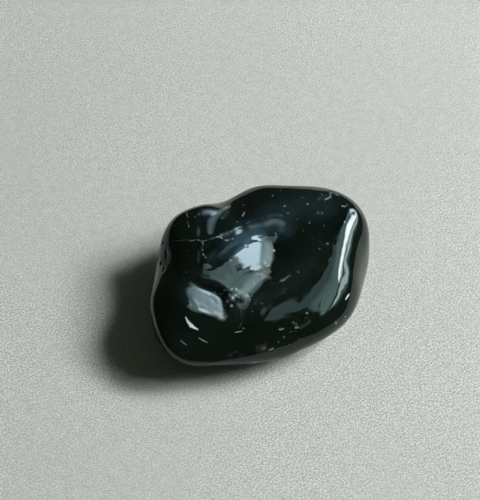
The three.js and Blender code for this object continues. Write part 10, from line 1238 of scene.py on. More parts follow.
# the level healed crack on the shoulder, and the string of grains that drops from it
healed([(171, 240), (176, 240.3), (181, 240), (186, 239.3), (191, 240.4), (197, 239.3), (203, 240.6)], 1.6, 0.34, 3, radii=[1.0, 1.8, 1.5, 2.2, 1.4, 2.0, 1.2])
healed([(203, 240.6), (208, 239.4), (213, 237.6), (217, 236.2)], 1.3, 0.22, 4)
healed([(216, 236.4), (219, 236.0), (221.5, 237.6), (225, 239.6), (229, 239.4), (232.5, 238.2)], 1.9, 0.85, 5, radii=[1.2, 2.2, 1.8, 2.0, 2.2, 1.2])
healed([(202, 241), (203, 245), (202, 249), (202.5, 253), (205, 257)], 1.6, 0.22, 6)
for s in ((203, 243.5, 2.0, 0.40), (202.3, 249.4, 2.2, 0.55), (202.8, 254, 2.3, 0.85), (205.6, 257.2, 2.0, 0.55), (200.5, 241, 1.6, 0.4)):
    speck(*s)
mark(milk, along([(198.5, 251), (198, 257), (198, 262)], 2.2, 1.0), 0.22)
# the long vein above the hollow
healed([(221, 234.6), (226, 233), (231, 231), (236, 228.4), (240, 226.2), (244, 224.2), (248, 222), (253, 220.4), (258, 218.4), (263, 216.8)], 1.4, 0.34, 7, radii=[2.4, 2.2, 1.8, 2.0, 2.0, 1.3, 1.1, 1.0, 0.9, 0.8])
speck(238.6, 226.6, 2.3, 0.75)
speck(233.8, 229.4, 2.0, 0.6)
mark(milk, along([(223, 235), (229, 232.4)], 4.0, 1.0), 0.30)
# black hairline crack at the vein's far end
hair = along([(272, 217.4), (277, 217.4), (282, 218.6), (287, 220.4), (292, 223.6)], 1.6, 0.6, radii=[0.8, 1.6, 1.9, 1.6, 0.8])
depth += 0.07 * hair
mark(rough, hair, 0.5)
# milky patch under the hairline, and its run back along the vein
mark(milk, along([(266, 223.4), (272, 220.8), (277, 220.8), (282, 223.5)], 5.2, 1.0) * (1 - hair), 0.85)
mark(milk, along([(250, 226.5), (258, 225), (266, 223.6), (274, 222)], 4.5, 1.0), 0.42)
mark(milk, along([(279, 224), (281, 229)], 5.5, 1.0), 0.25)
mark(milk, along([(268, 215.6), (275, 214.4), (281, 215)], 2.6, 1.0), 0.30)
# blue veil over the roll of the shoulder and along the top: partly the stone's own milky blue, partly a painted blue
# reflection
mark(haze_and_painted_reflection, along([(222, 256), (232, 249), (241, 242), (250, 237), (260, 234)], 14, 1.0, radii=[8, 12, 15, 17, 15]), 0.30)
mark(haze_and_painted_reflection, along([(236, 250.5), (243, 244.5), (250, 240), (257, 238)], 6, 1.0, radii=[4, 7, 8, 7]), 0.65)
mark(haze_and_painted_reflection, along([(232, 240), (246, 230), (262, 225), (280, 226)], 22, 1.0), 0.26)
mark(haze_and_painted_reflection, along([(252, 227), (270, 224), (284, 228)], 18, 1.0), 0.40)
mark(haze_and_painted_reflection, along([(276, 216), (300, 206), (322, 204)], 36, 1.0), 0.20)
mark(milk, along([(282, 214), (302, 207), (318, 206)], 30, 1.0), 0.035)
mark(haze_and_painted_reflection, along([(262, 286), (285, 272), (300, 262)], 26, 1.0), 0.05)
mark(milk, along([(238, 306), (262, 298), (290, 282), (312, 262), (322, 244)], 27, 1.0), 0.048)
mark(milk, along([(206, 281), (218, 284), (232, 290)], 11, 1.0), 0.05)
mark(haze_and_painted_reflection, along([(186, 290), (196, 276)], 16, 1.0), 0.10)
# grey groove in the notch between the two lobes
groove = along([(229, 205), (224.5, 208), (219.5, 211), (214.8, 215.6), (211.6, 221), (210.4, 226.5), (209.8, 232)], 4, 0.8, radii=[2.0, 3.2, 4.6, 6.0, 6.6, 5.6, 4.2])
mark(milk, groove, 0.62)
depth += 0.05 * groove
mark(milk, along([(221, 218), (225, 214.6), (228, 211)], 3.2, 1.0), 0.20)
# the far end of the window's reflection runs on to a milky, half-polished skin, mottled below
mark(milk, along([(266.5, 243), (268.5, 249), (268, 256), (266, 262)], 9, 0.9, radii=[5, 8, 9.5, 8]), 0.36)
mark(rough, along([(266, 239), (266.5, 247), (266, 256), (265, 264)], 13, 0.5, radii=[8, 13.5, 14.5, 12]), 1.0)
mark(rough, along([(266, 266), (262, 276)], 11, 0.8), 0.75)
mark(rough, along([(241, 292), (247, 286), (256, 279)], 12, 0.9), 0.7)
# the low patch is a little greasy rather than mirror bright, most of all at its far end
mark(rough, along([(188, 290), (196, 294), (206, 301), (214, 309), (219, 316)], 15, 0.8, radii=[11, 15, 18, 17, 12]), 0.78)
mott = along([(267, 263), (265.5, 269), (262.5, 275)], 10, 0.6, radii=[7, 9.5, 9])
mark(brown, mott * beads(0.30, 11, 0.25), 0.95)
mark(pale, along([(265, 262), (268, 266), (265, 272), (269, 277), (261, 273)], 3.2, 0.8) * beads(0.22, 12), 0.42)
mark(rough, mott, 0.9)
depth += 0.05 * mott * beads(0.30, 11)
mark(milk, along([(241.5, 292), (246, 287.5), (250.5, 283.5), (254.5, 279.5)], 8, 1.0, radii=[6, 8.5, 8.5, 6]), 0.17)
mark(rough, along([(240, 293), (255, 279)], 8, 1.0), 0.5)
# chain of pale grains in the crease
for s in ((227.2, 300.6, 3.6, 0.95), (232.8, 297.2, 4.0, 0.80), (229.4, 293.8, 3.0, 0.50), (235.6, 294.4, 3.4, 0.60), (231.4, 304.6, 3.0, 0.45), (238.6, 296.0, 2.2, 0.30), (248.5, 294.6, 2.4, 0.30), (250.2, 298.6, 2.2, 0.22), (224.4, 296.6, 2.6, 0.30)):
    speck(*s, cut=0.03)
crease = along([(222, 318), (223.5, 309), (224.5, 301), (231, 296), (238, 293.6), (246, 289), (256, 281), (264, 274)], 4.5, 0.9)
mark(rough, crease, 0.65)
mark(pale, crease * beads(0.22, 13), 0.16)
mark(milk, crease * beads(0.6, 14), 0.25)
healed([(213, 291), (217, 293), (221, 294.2), (225, 292.6), (227, 291)], 1.5, 0.62, 15)
healed([(224, 289.4), (228, 289.2), (232, 288.4)], 1.6, 0.72, 16)
# ragged edge and matt grains on the low bright patch
mark(pale, along([(216, 312), (219.5, 313.5), (220, 316.5)], 4.0, 0.9), 0.30)
mark(rough, along([(212, 296), (220, 303), (221, 315)], 7, 0.9), 0.7)
# grains
for s in (
    (273.6, 250, 3.4, 0.95), (284.2, 205.4, 3.0, 0.85), (287.4, 212.6, 2.6, 0.62), (281, 215.2, 2.0, 0.35), (307.2, 203.4, 3.0, 0.90), (302, 197, 2.4, 0.25),
    (344.6, 221.4, 2.8, 0.80), (327.2, 243, 3.2, 0.90), (319, 248, 2.2, 0.55), (331, 259, 2.4, 0.42), (298, 271.4, 3.4, 0.50), (321.6, 212.6, 2.8, 0.60), (323.5, 225, 2.2, 0.28),
    (309, 222.4, 2.6, 0.62), (296.4, 218.6, 2.6, 0.25), (222, 217.6, 2.6, 0.35), (237, 221, 2.4, 0.50), (272.4, 195, 2.6, 0.5), (280, 189.4, 2.0, 0.35),
    (187.6, 216.4, 2.6, 0.22), (194.4, 216.2, 2.6, 0.22), (199, 213.4, 2.4, 0.20), (325, 189.6, 2.2, 0.55), (321.4, 194.4, 2.4, 0.48), (313, 188, 2.0, 0.40), (318, 199, 3.0, 0.25), (347, 203.8, 2.2, 0.28),
    (186, 271.6, 2.4, 0.22), (186.4, 250, 2.2, 0.25), (174, 225, 2.0, 0.18), (243.4, 328, 2.8, 0.55), (283.4, 336.6, 2.8, 0.42), (278, 341.6, 2.6, 0.28), (345, 316, 3.0, 0.80), (335.8, 322.6, 3.2, 0.80),
    (343, 321.4, 2.4, 0.34), (306.6, 312.4, 2.8, 0.75), (292.6, 322, 2.4, 0.30), (290, 331.6, 2.2, 0.28), (299, 339, 3.0, 0.18), (235.4, 351, 2.4, 0.15), (296, 323, 1.8, 0.3), (303, 230, 2.0, 0.22), (312, 238, 1.8, 0.2), (290, 246, 1.8, 0.18), (276, 233, 1.8, 0.2), (262, 303, 2.0, 0.2), (252, 311, 2.0, 0.2),
):
    speck(*s)
for x, y, size, strength, stretch in (
    (327.6, 197.6, 2.8, 0.85, (5.0, -2.6)), (330.4, 192.2, 2.4, 0.62, (2.0, -0.8)), (336.2, 193.8, 2.2, 0.50, (3.0, 2.0)), (343, 205.6, 2.8, 0.90, (2.6, 0.6)), (282.6, 279.8, 2.2, 0.62, (3.4, -1.2)),
    (287, 276.6, 1.6, 0.34, (4.0, -3.0)), (243, 213.6, 2.6, 0.75, (1.6, -3.2)), (281.0, 328.4, 1.7, 0.60, (3.6, -0.7)), (296.4, 327, 2.2, 0.75, (2.6, -0.4)), (271, 349, 2.4, 0.70, (3.0, -1.4)),
    
):
    speck(x, y, size, strength, 0.04, stretch)
mark(milk, along([(300, 327), (304, 325), (309, 321)], 2.6, 1.0), 0.25)
healed([(287, 332.6), (292, 330.4), (296, 330.6)], 1.1, 0.10, 17)
# flake scars: pale bruised chips whose bright white is partly a painted glint
chip_painted_glint([(185.2, 316.6), (187.0, 320.6), (190.2, 324.6), (193.8, 327.2), (197.6, 329)], [0.5, 1.1, 1.9, 1.3, 0.5], 1.0)
chip_painted_glint([(180.2, 340), (182.8, 342.2), (186, 344.4)], [0.25, 0.45, 0.25], 0.36)
chip_painted_glint([(197.8, 337.4), (202, 339.6), (206.8, 342)], [0.25, 0.5, 0.25], 0.44)
chip_painted_glint([(345.2, 299), (347, 296.4), (348.8, 293.6)], [0.6, 1.1, 0.5], 0.75)
chip_painted_glint([(234.4, 332.0), (238, 331.4), (242, 330.6)], [0.25, 0.55, 0.25], 0.40)

# weathered brown spots near the lower edge
b1 = along([(256, 350), (260, 348.4), (264, 347)], 8, 0.9, radii=[4, 8, 7])
mark(brown, b1 * beads(0.4, 21, 0.3), 0.62)
mark(rough, b1, 0.35)
mark(brown, along([(258, 354.6), (264, 355)], 5, 1.0) * beads(0.4, 22), 0.30)
mark(brown, along([(230, 354.6), (246, 354)], 5, 1.0) * beads(0.5, 23), 0.16)
mark(brown, along([(300, 317), (309, 316)], 8, 1.0) * beads(0.5, 24), 0.14)
# pitted dent in the left flank
scoop(162.6, 242, 2.2, 5.2, 0.16)
scoop(166.2, 253.6, 2.2, 6.0, 0.13)
scoop(160.6, 263, 2.4, 4.4, 0.15)
scoop(163.4, 269, 2.0, 5.0, 0.08)
mark(brown, along([(160, 250), (159, 258)], 2.4, 1.0), 0.20)

# the sides the camera doesn't see carry the same grains, hairs and scars
away = np.where((N @ (-np.array(look)) < -0.05) & (P[:, 2] > 0.05))[0]
for i in rng.choice(away, 95, replace=False):
    r = rng.uniform(0.06, 0.14)
    grains.put([P[i]], [r], rng.uniform(0.15, 0.85))
    depth += 0.02 * (1 - smooth((np.linalg.norm(P - P[i], axis=1) - r * 0.5) / (r * 1.2)))
for k in range(7):
    i = rng.choice(away)
    p, go = P[i], rng.normal(size=3)
    bend = rng.normal(size=3) * 0.25
    pts = [p]
    for step in range(int(rng.integers(8, 20))):
        j = np.argmin(((P - p) ** 2).sum(1))
        go = go - (go @ N[j]) * N[j] + bend * 0.3 + rng.normal(size=3) * 0.15
        go /= np.linalg.norm(go)
        p = P[np.argmin(((P - (p + go * 0.55)) ** 2).sum(1))]
        pts.append(p)
    lines.put(pts, rng.uniform(0.05, 0.10, len(pts)), rng.uniform(0.18, 0.7))
for k in range(6):
    i = rng.choice(away)
    n0, c = N[i], P[i]
    t = n0 + rng.normal(size=3) * 0.35
    t /= np.linalg.norm(t)
    e1 = np.cross(n0, rng.normal(size=3))
    e1 /= np.linalg.norm(e1)
    e2 = np.cross(n0, e1)
    q = P - c
    a, b = rng.uniform(0.35, 0.8), rng.uniform(0.16, 0.3)
    inside = (1 - smooth((np.sqrt(((q @ e1) / a) ** 2 + ((q @ e2) / b) ** 2) - 0.75) / 0.5)) * (np.abs(q @ n0) < 0.8)
    np.maximum(depth, inside * np.clip((q @ t) / np.maximum(N @ t, 0.2) + 0.03, 0, 0.16), out=depth)
    mark(rough, inside, 0.35)
    mark(pale, inside * beads(0.3, 60 + k), 0.25)
mark(haze_and_painted_reflection, smooth((lattice_noise(P, 5.5, 81) - 0.25) / 0.6) * (N @ (-np.array(look)) < 0.25), 0.35)
# the barely felt ripple that tumbling leaves
depth += 0.0022 * lattice_noise(P, 1.5, 91) + 0.0008 * lattice_noise(P, 0.7, 92)
depth[P[:, 2] < 0.02] = 0
# greasy skin where the polish is broken: beside the milky run in the notch, at the vein's knot
mark(rough, along([(203, 211), (210, 211.5), (216, 212)], 9, 0.9), 0.6)
mark(rough, along([(234, 231), (240, 229)], 7, 0.9), 0.6)


# ---- the piece ------------------------------------------------------------------------------
# healed cracks, flake scars and pits are cut into the skin itself
P2 = P - N * depth[:, None]
P2[:, 2] = np.maximum(P2[:, 2], 0.0)
P2 = (P2 - P2.min(0)) / np.ptp(P2, axis=0) * (hi - lo) + lo

mesh = bpy.data.meshes.new("stone_skin")
mesh.vertices.add(len(P2))
mesh.vertices.foreach_set("co", (P2 * MM).astype(np.float32).ravel())
mesh.loops.add(len(tris) * 3)
mesh.loops.foreach_set("vertex_index", tris.astype(np.int32).ravel())
mesh.polygons.add(len(tris))
mesh.polygons.foreach_set("loop_start", np.arange(0, len(tris) * 3, 3, dtype=np.int32))
mesh.polygons.foreach_set("use_smooth", np.ones(len(tris), bool))
mesh.update(calc_edges=True)
mesh.validate()
for name, values in (("pale", pale), ("rough", rough), ("haze_and_painted_reflection", haze_and_painted_reflection), ("brown", brown), ("milk", milk)):
    mesh.attributes.new(name, "FLOAT", "POINT").data.foreach_set("value", np.clip(values, 0, 1).astype(np.float32))
for name, marks in (("line", lines), ("grain", grains), ("chip_painted_glint", chips_painted_glint)):
    mesh.attributes.new(name + "_at", "FLOAT_VECTOR", "POINT").data.foreach_set("vector", marks.vec.astype(np.float32).ravel())
    mesh.attributes.new(name + "_far", "FLOAT", "POINT").data.foreach_set("value", marks.far.astype(np.float32))
    mesh.attributes.new(name + "_tone", "FLOAT", "POINT").data.foreach_set("value", marks.tone.astype(np.float32))
stone = bpy.data.objects.new("onyx_pebble", mesh)
bpy.context.scene.collection.objects.link(stone)


# ---- materials ------------------------------------------------------------------------------
class Nodes:
    """Short way to write a node tree."""

    def __init__(self, tree):
        self.t = tree
        tree.nodes.clear()

    def __call__(self, kind, inputs=None, **props):
        n = self.t.nodes.new(kind)
        for k, v in props.items():
            setattr(n, k, v)
        for k, v in (inputs or {}).items():
            s = n.inputs[k]
            if isinstance(v, bpy.types.NodeSocket):
                self.t.links.new(v, s)
            else:
                s.default_value = v
        return n

    def math(self, op, a, b=0.0, c=None, clamp=False):
        ins = {0: a, 1: b}
        if c is not None:
            ins[2] = c
        return self("ShaderNodeMath", ins, operation=op, use_clamp=clamp).outputs[0]

    def mix(self, fac, a, b, blend="MIX"):
        n = self("ShaderNodeMix", None, data_type="RGBA", blend_type=blend)
        for name, v in (("Factor_Float", fac), ("A_Color", a), ("B_Color", b)):
            s = next(x for x in n.inputs if x.identifier == name)
            if isinstance(v, bpy.types.NodeSocket):
                self.t.links.new(v, s)
            else:
                s.default_value = v
        return next(x for x in n.outputs if x.identifier == "Result_Color")

    def noise(self, vec, scale, detail=4.0, rough=0.55, distort=0.0):
        return self("ShaderNodeTexNoise", {"Vector": vec, "Scale": scale, "Detail": detail, "Roughness": rough, "Distortion": distort})

    def ramp(self, fac, stops, interp="LINEAR"):
        n = self("ShaderNodeValToRGB", {"Fac": fac})
        r = n.color_ramp
        r.interpolation = interp
        while len(r.elements) < len(stops):
            r.elements.new(0.5)
        for e, (pos, col) in zip(r.elements, stops):
            e.position = pos
            e.color = col if hasattr(col, "__len__") else (col, col, col, 1)
        return n.outputs["Color"]

    def span(self, v, a, b, lo=0.0, hi=1.0, kind="SMOOTHSTEP"):
        return self("ShaderNodeMapRange", {"Value": v, "From Min": a, "From Max": b, "To Min": lo, "To Max": hi}, interpolation_type=kind).outputs[0]


def new_material(name):
    m = bpy.data.materials.new(name)
    m.use_nodes = True
    return m, Nodes(m.node_tree)


def onyx():
    m, n = new_material("onyx")
    out = n("ShaderNodeOutputMaterial")
    pos = n("ShaderNodeTexCoord").outputs["Object"]
    attr = {a: n("ShaderNodeAttribute", attribute_name=a).outputs["Fac"] for a in ("pale", "rough", "haze_and_painted_reflection", "brown", "milk")}

    def fine_mark(name, ragged):
        """0..1 cover of the fine marks of one kind, with an uneven edge."""
        v = n("ShaderNodeAttribute", attribute_name=name + "_at").outputs["Vector"]
        far = n("ShaderNodeAttribute", attribute_name=name + "_far").outputs["Fac"]
        tone = n("ShaderNodeAttribute", attribute_name=name + "_tone").outputs["Fac"]
        length = n("ShaderNodeVectorMath", {0: v}, operation="LENGTH").outputs["Value"]
        edge = n.noise(pos, 3300.0, 2.0, 0.5).outputs["Fac"]
        length = n.math("ADD", length, n.math("MULTIPLY", n.math("SUBTRACT", edge, 0.5), ragged))
        cover = n.math("MULTIPLY", n.span(length, 0.55, 1.25, 1.0, 0.0), n.span(far, 0.35, 0.6, 1.0, 0.0))
        return n.math("MULTIPLY", cover, tone), cover

    # the black body: green-black with drifting blue-grey and brown clouds
    big = n.noise(pos, 130.0, 5.0, 0.6, 0.6).outputs["Fac"]
    mid = n.noise(pos, 420.0, 6.0, 0.62, 0.3).outputs["Fac"]
    fine = n.noise(pos, 2600.0, 3.0, 0.6).outputs["Fac"]
    body = n.ramp(big, [(0.30, (0.0030, 0.0066, 0.0030, 1)), (0.50, (0.0046, 0.0096, 0.0052, 1)), (0.62, (0.0058, 0.0115, 0.0098, 1)), (0.80, (0.0090, 0.0100, 0.0070, 1))])
    cloud = n.math("MULTIPLY", n.span(mid, 0.52, 0.78), 0.55)
    body = n.mix(cloud, body, (0.0135, 0.0200, 0.0185, 1))
    body = n.mix(n.math("MULTIPLY", n.span(fine, 0.62, 0.85), 0.25), body, (0.020, 0.024, 0.020, 1))
    # blue milky veil: partly the stone's own tint, partly a painted blue reflection over the shoulder
    veil_and_painted_reflection = n.math("MULTIPLY", attr["haze_and_painted_reflection"], n.span(mid, 0.15, 0.75, 0.65, 1.25))
    body = n.mix(n.math("MINIMUM", veil_and_painted_reflection, 1.0), body, (0.048, 0.092, 0.126, 1))
    # grey milky mineral
    cream = n.math("MULTIPLY", attr["milk"], n.span(mid, 0.25, 0.65, 0.70, 1.05))
    body = n.mix(n.math("MINIMUM", cream, 1.0), body, (0.140, 0.200, 0.215, 1))
    # brown weathered mineral
    grit = n.noise(pos, 1500.0, 5.0, 0.7).outputs["Fac"]
    rust = n.math("MULTIPLY", attr["brown"], n.span(grit, 0.32, 0.68, 0.35, 1.0))
    body = n.mix(n.math("MINIMUM", rust, 1.0), body, n.ramp(grit, [(0.35, (0.035, 0.026, 0.020, 1)), (0.55, (0.16, 0.15, 0.115, 1)), (0.75, (0.30, 0.29, 0.24, 1))]))
    # pale healed cracks and chips
    white = n.math("MULTIPLY", attr["pale"], n.span(grit, 0.25, 0.62, 0.55, 1.0))
    body = n.mix(n.math("MINIMUM", white, 1.0), body, n.ramp(grit, [(0.35, (0.20, 0.23, 0.22, 1)), (0.7, (0.38, 0.40, 0.37, 1))]))
    # thin cracks and single grains
    hairs, hair_cover = fine_mark("line", 1.6)
    seeds, seed_cover = fine_mark("grain", 1.0)
    beads = n.noise(pos, 1700.0, 2.0, 0.5).outputs["Fac"]
    hairs = n.math("MULTIPLY", hairs, n.span(beads, 0.45, 0.60, 0.02, 1.25))
    body = n.mix(n.math("MINIMUM", hairs, 1.0), body, (0.205, 0.235, 0.215, 1))
    body = n.mix(n.math("MINIMUM", seeds, 1.0), body, n.ramp(grit, [(0.35, (0.21, 0.225, 0.20, 1)), (0.7, (0.36, 0.365, 0.32, 1))]))
    # bruised chips: near-white colour, partly the chip's own bruise, partly a painted glint
    painted_chip_glint, painted_chip_glint_cover = fine_mark("chip_painted_glint", 0.8)
    body = n.mix(n.math("MINIMUM", painted_chip_glint, 1.0), body, (0.72, 0.82, 0.84, 1))
    filled = n.math("MINIMUM", n.math("ADD", n.math("ADD", hairs, seeds), painted_chip_glint), 1.0)
    # pin-prick specks all over, most too small to have an outline
    cell = n("ShaderNodeTexVoronoi", {"Vector": pos, "Scale": 620.0, "Randomness": 1.0}, feature="F1")
    keep = n.span(n("ShaderNodeSeparateColor", {"Color": cell.outputs["Color"]}).outputs[0], 0.90, 0.96)
    dot = n.math("MULTIPLY", n.span(cell.outputs["Distance"], 0.10, 0.20, 1.0, 0.0), keep)
    body = n.mix(n.math("MULTIPLY", dot, 0.55), body, (0.15, 0.17, 0.155, 1))
    # gloss: high polish, a little greasy in patches, matt where the crack filling or a chip is
    r = n.span(mid, 0.35, 0.75, 0.022, 0.060)
    r = n.math("ADD", r, n.math("MULTIPLY", attr["rough"], 0.40))
    r = n.math("ADD", r, n.math("MULTIPLY", dot, 0.20))
    r = n.math("ADD", r, n.math("MULTIPLY", filled, 0.35))
    # micro relief
    h = n.math("MULTIPLY", n.noise(pos, 900.0, 3.0, 0.5).outputs["Fac"], 0.35)
    h = n.math("ADD", h, n.math("MULTIPLY", n.math("MULTIPLY", grit, attr["rough"]), 3.0))
    h = n.math("SUBTRACT", h, n.math("MULTIPLY", dot, 1.5))
    h = n.math("SUBTRACT", h, n.math("MULTIPLY", n.math("MAXIMUM", hair_cover, seed_cover), 1.2))
    bump = n("ShaderNodeBump", {"Height": h, "Strength": 0.35, "Distance": 0.00003})
    shader = n("ShaderNodeBsdfPrincipled", {"Base Color": body, "Roughness": r, "Normal": bump.outputs["Normal"]})
    shader.inputs["IOR"].default_value = 1.54
    shader.inputs["Specular Tint"].default_value = (0.85, 1.0, 0.98, 1)
    n.t.links.new(shader.outputs[0], out.inputs["Surface"])
    return m


stone.data.materials.append(onyx())
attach(stone, "root")
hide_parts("stone")


# ---- stage: the pale card, a pale backdrop, and soft light panels -----------------------------
def plane(name, corners, material, subdivide=False):
    me = bpy.data.meshes.new(name)
    me.from_pydata([tuple(c) for c in corners], [], [(0, 1, 2, 3)])
    uv = me.uv_layers.new(name="UVMap")
    for loop, c in zip(uv.data, ((0, 0), (1, 0), (1, 1), (0, 1))):
        loop.uv = c
    o = bpy.data.objects.new(name, me)
    me.materials.append(material)
    bpy.context.scene.collection.objects.link(o)
    return o


def card():
    m, n = new_material("card")
    out = n("ShaderNodeOutputMaterial")
    pos = n("ShaderNodeTexCoord").outputs["Object"]
    # felted paper: a fine close grain over soft mottling, with rare dark flecks
    grain = n.noise(pos, 4600.0, 3.0, 0.65).outputs["Fac"]
    soft = n.noise(pos, 700.0, 4.0, 0.6).outputs["Fac"]
    drift = n.noise(pos, 22.0, 3.0, 0.5).outputs["Fac"]
    crisp = n.span(grain, 0.34, 0.66, -0.5, 0.5, "LINEAR")
    patchy = n.span(drift, 0.35, 0.65, 0.6, 1.6)  # the pulp is coarser in places
    v = n.math("ADD", n.math("MULTIPLY", n.math("MULTIPLY", crisp, patchy), 0.62), n.math("MULTIPLY", n.math("SUBTRACT", soft, 0.5), 0.26))
    coarse = n.noise(pos, 1150.0, 2.0, 0.5).outputs["Fac"]
    v = n.math("ADD", v, n.math("MULTIPLY", n.math("SUBTRACT", coarse, 0.5), 0.12))
    v = n.math("ADD", v, n.math("MULTIPLY", n.math("SUBTRACT", drift, 0.5), 0.05))
    fleck = n("ShaderNodeTexVoronoi", {"Vector": pos, "Scale": 260.0, "Randomness": 1.0}, feature="F1")
    rare = n.span(n("ShaderNodeSeparateColor", {"Color": fleck.outputs["Color"]}).outputs[1], 0.93, 0.99)
    spot = n.math("MULTIPLY", n.span(fleck.outputs["Distance"], 0.03, 0.075, 1.0, 0.0), rare)
    v = n.math("SUBTRACT", v, n.math("MULTIPLY", spot, 0.16))
    k = n.math("ADD", v, 1.0)
    grey = n("ShaderNodeCombineColor", {0: k, 1: k, 2: k}).outputs[0]
    tone = n.mix(1.0, (0.66, 0.645, 0.605, 1), grey, "MULTIPLY")
    h = n.math("ADD", n.math("MULTIPLY", grain, 1.0), n.math("MULTIPLY", soft, 1.2))
    bump = n("ShaderNodeBump", {"Height": h, "Strength": 0.7, "Distance": 0.00008})
    shader = n("ShaderNodeBsdfPrincipled", {"Base Color": tone, "Normal": bump.outputs["Normal"]})
    shader.inputs["Roughness"].default_value = 0.9
    shader.inputs["Specular IOR Level"].default_value = 0.25
    n.t.links.new(shader.outputs[0], out.inputs["Surface"])
    return m


FLOOR = 1.5
floor = plane("card_floor", [(-FLOOR, -FLOOR, 0), (FLOOR, -FLOOR, 0), (FLOOR, FLOOR, 0), (-FLOOR, FLOOR, 0)], card())


def emitter(name, colour, strength, size, edges):
    """Even light over a panel that fades out towards each edge. size in metres, edges = fade widths at the four edges."""
    m, n = new_material(name)
    out = n("ShaderNodeOutputMaterial")
    uv = n("ShaderNodeSeparateXYZ", {"Vector": n("ShaderNodeTexCoord").outputs["UV"]})
    level = strength
    for axis in (0, 1):
        low, high = edges[2 * axis] / size[axis], edges[2 * axis + 1] / size[axis]
        level = n.math("MULTIPLY", n.span(uv.outputs[axis], 0.0, low), level)
        level = n.math("MULTIPLY", n.span(uv.outputs[axis], 1.0 - high, 1.0, 1.0, 0.0), level)
    e = n("ShaderNodeEmission", {"Color": (*colour, 1), "Strength": level})
    n.t.links.new(e.outputs[0], out.inputs["Surface"])
    return m


AZ0 = 41.00  # panel azimuths are counted from image-right towards the back; this turns them into the row frame


def panel(name, az0, az1, el0, el1, strength, colour, soft=1.0, dist=0.9, sees="lamp"):
    """A flat light that fills a window of azimuth and elevation, facing the stone. soft: degrees of fade, one or (first azimuth, last azimuth, low, high). sees: "lamp" lights surfaces, "shine" is mirrored by them."""
    if not hasattr(soft, "__len__"):
        soft = (soft,) * 4
    az, el = math.radians((az0 + az1) / 2 - AZ0), math.radians((el0 + el1) / 2)
    d = Vector((math.cos(el) * math.cos(az), math.cos(el) * math.sin(az), math.sin(el)))
    c = d * dist + Vector((0, 0, 0.005))
    u = Vector((0, 0, 1)).cross(d).normalized()
    t = d.cross(u)
    half = (dist * math.tan(math.radians((az1 - az0) / 2) * math.cos(el)), dist * math.tan(math.radians((el1 - el0) / 2)))
    s = [dist * math.radians(k) for k in soft]
    x0, x1, y0, y1 = -half[0] - s[0], half[0] + s[1], -half[1] - s[2], half[1] + s[3]
    corners = [c + u * x + t * y for x, y in ((x0, y0), (x1, y0), (x1, y1), (x0, y1))]
    o = plane(name, corners, emitter(name, colour, strength, (x1 - x0, y1 - y0), [2 * k for k in s]))
    o.visible_camera = False
    if sees == "lamp":
        o.visible_glossy = False
    else:
        o.visible_diffuse = False
    return o


def overhead(name, x0, x1, y0, y1, strength, colour, soft, height=0.9):
    """A flat panel straight above, mirrored by the polish. Its edges and their fades are given on a level plane one unit up: x toward azimuth 0, y toward azimuth 90."""
    k, turn = height, math.radians(AZ0)
    x0, x1, y0, y1 = x0 - soft[0], x1 + soft[1], y0 - soft[2], y1 + soft[3]
    corners = [Vector((k * (x * math.cos(turn) + y * math.sin(turn)), k * (y * math.cos(turn) - x * math.sin(turn)), k + 0.005)) for x, y in ((x0, y0), (x1, y0), (x1, y1), (x0, y1))]
    o = plane(name, corners, emitter(name, colour, strength, (x1 - x0, y1 - y0), [2 * v for v in soft]))
    o.visible_camera = False
    o.visible_diffuse = False
    return o


SKY = (0.73, 0.86, 1.0)
WALL = (0.70, 0.98, 0.98)
# the light itself: high, from image-right and a little behind; it gives the shadow, and the panels below are what the polish mirrors
panel("light_key", -10, 29, 31, 50, 42.0, (0.953, 1.0, 1.0), 5.0, sees="lamp")
panel("light_key_core", -10, 22, 39.2, 43.2, 27.0, (1.0, 0.98, 1.0), (1.0, 1.0, 3.5, 3.2), sees="shine")
panel("light_wall_low", -22, 23, 37, 52.2, 2.3, WALL, (5, 0.6, 1.0, 0.8), sees="shine")
panel("light_window", 24, 56, 37, 50.5, 13.5, SKY, 0.6, sees="shine")
panel("light_window_bar", 24, 56, 51.1, 51.5, 8.0, SKY, 0.25, sees="shine")
panel("light_wall_high", -15, 56, 52.2, 76, 1.8, WALL, (1.5, 1.2, 0.8, 9), sees="shine")
panel("light_wall_mid", -15, 56, 52.2, 64, 2.45, WALL, (1.5, 1.2, 0.8, 5), sees="shine")
panel("light_sill", -12, 56, 31, 37, 7.2, (0.83, 1.0, 1.02), 1.0, sees="shine")
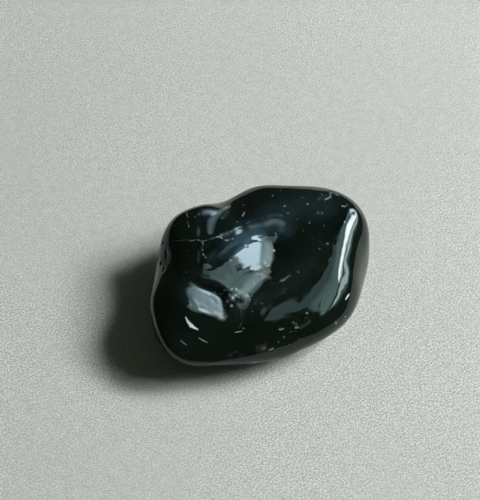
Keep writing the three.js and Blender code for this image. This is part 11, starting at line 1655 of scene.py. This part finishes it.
panel("light_sill_low", -12, 56, 27, 31, 1.2, (0.83, 1.0, 1.02), 1.2, sees="shine")
panel("light_reveal", 57, 66, 34, 54, 1.1, (0.50, 0.72, 1.0), (0.6, 5, 3, 3), sees="shine")
panel("light_dusk", 57, 84, 28, 60, 0.08, (0.47, 0.68, 1.0), (1, 12, 8, 8), sees="shine")
overhead("light_ceiling", 0.06, 0.42, -0.13, 0.36, 0.95, WALL, (0.010, 0.10, 0.02, 0.04))


# a pale sweep behind everything, seen only by the camera
back_m, bn = new_material("backdrop")
b_out = bn("ShaderNodeOutputMaterial")
b_z = bn("ShaderNodeSeparateXYZ", {"Vector": bn("ShaderNodeTexCoord").outputs["Object"]}).outputs[2]
b_c = bn.ramp(bn.span(b_z, 0.0, 0.6, kind="LINEAR"), [(0.0, (0.42, 0.44, 0.41, 1)), (1.0, (0.50, 0.52, 0.50, 1))])
bn.t.links.new(bn("ShaderNodeEmission", {"Color": b_c, "Strength": 1.0}).outputs[0], b_out.inputs["Surface"])
ring, R_BACK = 96, 1.45
bv = [(R_BACK * math.cos(2 * math.pi * i / ring), R_BACK * math.sin(2 * math.pi * i / ring), z) for z in (-0.02, 1.3) for i in range(ring)]
bf = [(i, (i + 1) % ring, ring + (i + 1) % ring, ring + i) for i in range(ring)]
bme = bpy.data.meshes.new("backdrop")
bme.from_pydata(bv, [], bf)
bme.materials.append(back_m)
backdrop = bpy.data.objects.new("backdrop", bme)
bpy.context.scene.collection.objects.link(backdrop)
for flag in ("visible_diffuse", "visible_glossy", "visible_transmission", "visible_shadow", "visible_volume_scatter"):
    setattr(backdrop, flag, False)

world = bpy.data.worlds.new("room")
bpy.context.scene.world = world
world.use_nodes = True
wn = Nodes(world.node_tree)
w_out = wn("ShaderNodeOutputWorld")
wn.t.links.new(wn("ShaderNodeBackground", {"Color": (0.80, 1.0, 0.74, 1), "Strength": 0.037}).outputs[0], w_out.inputs["Surface"])

bpy.context.scene.view_settings.view_transform = "Standard"
bpy.context.scene.view_settings.look = "None"
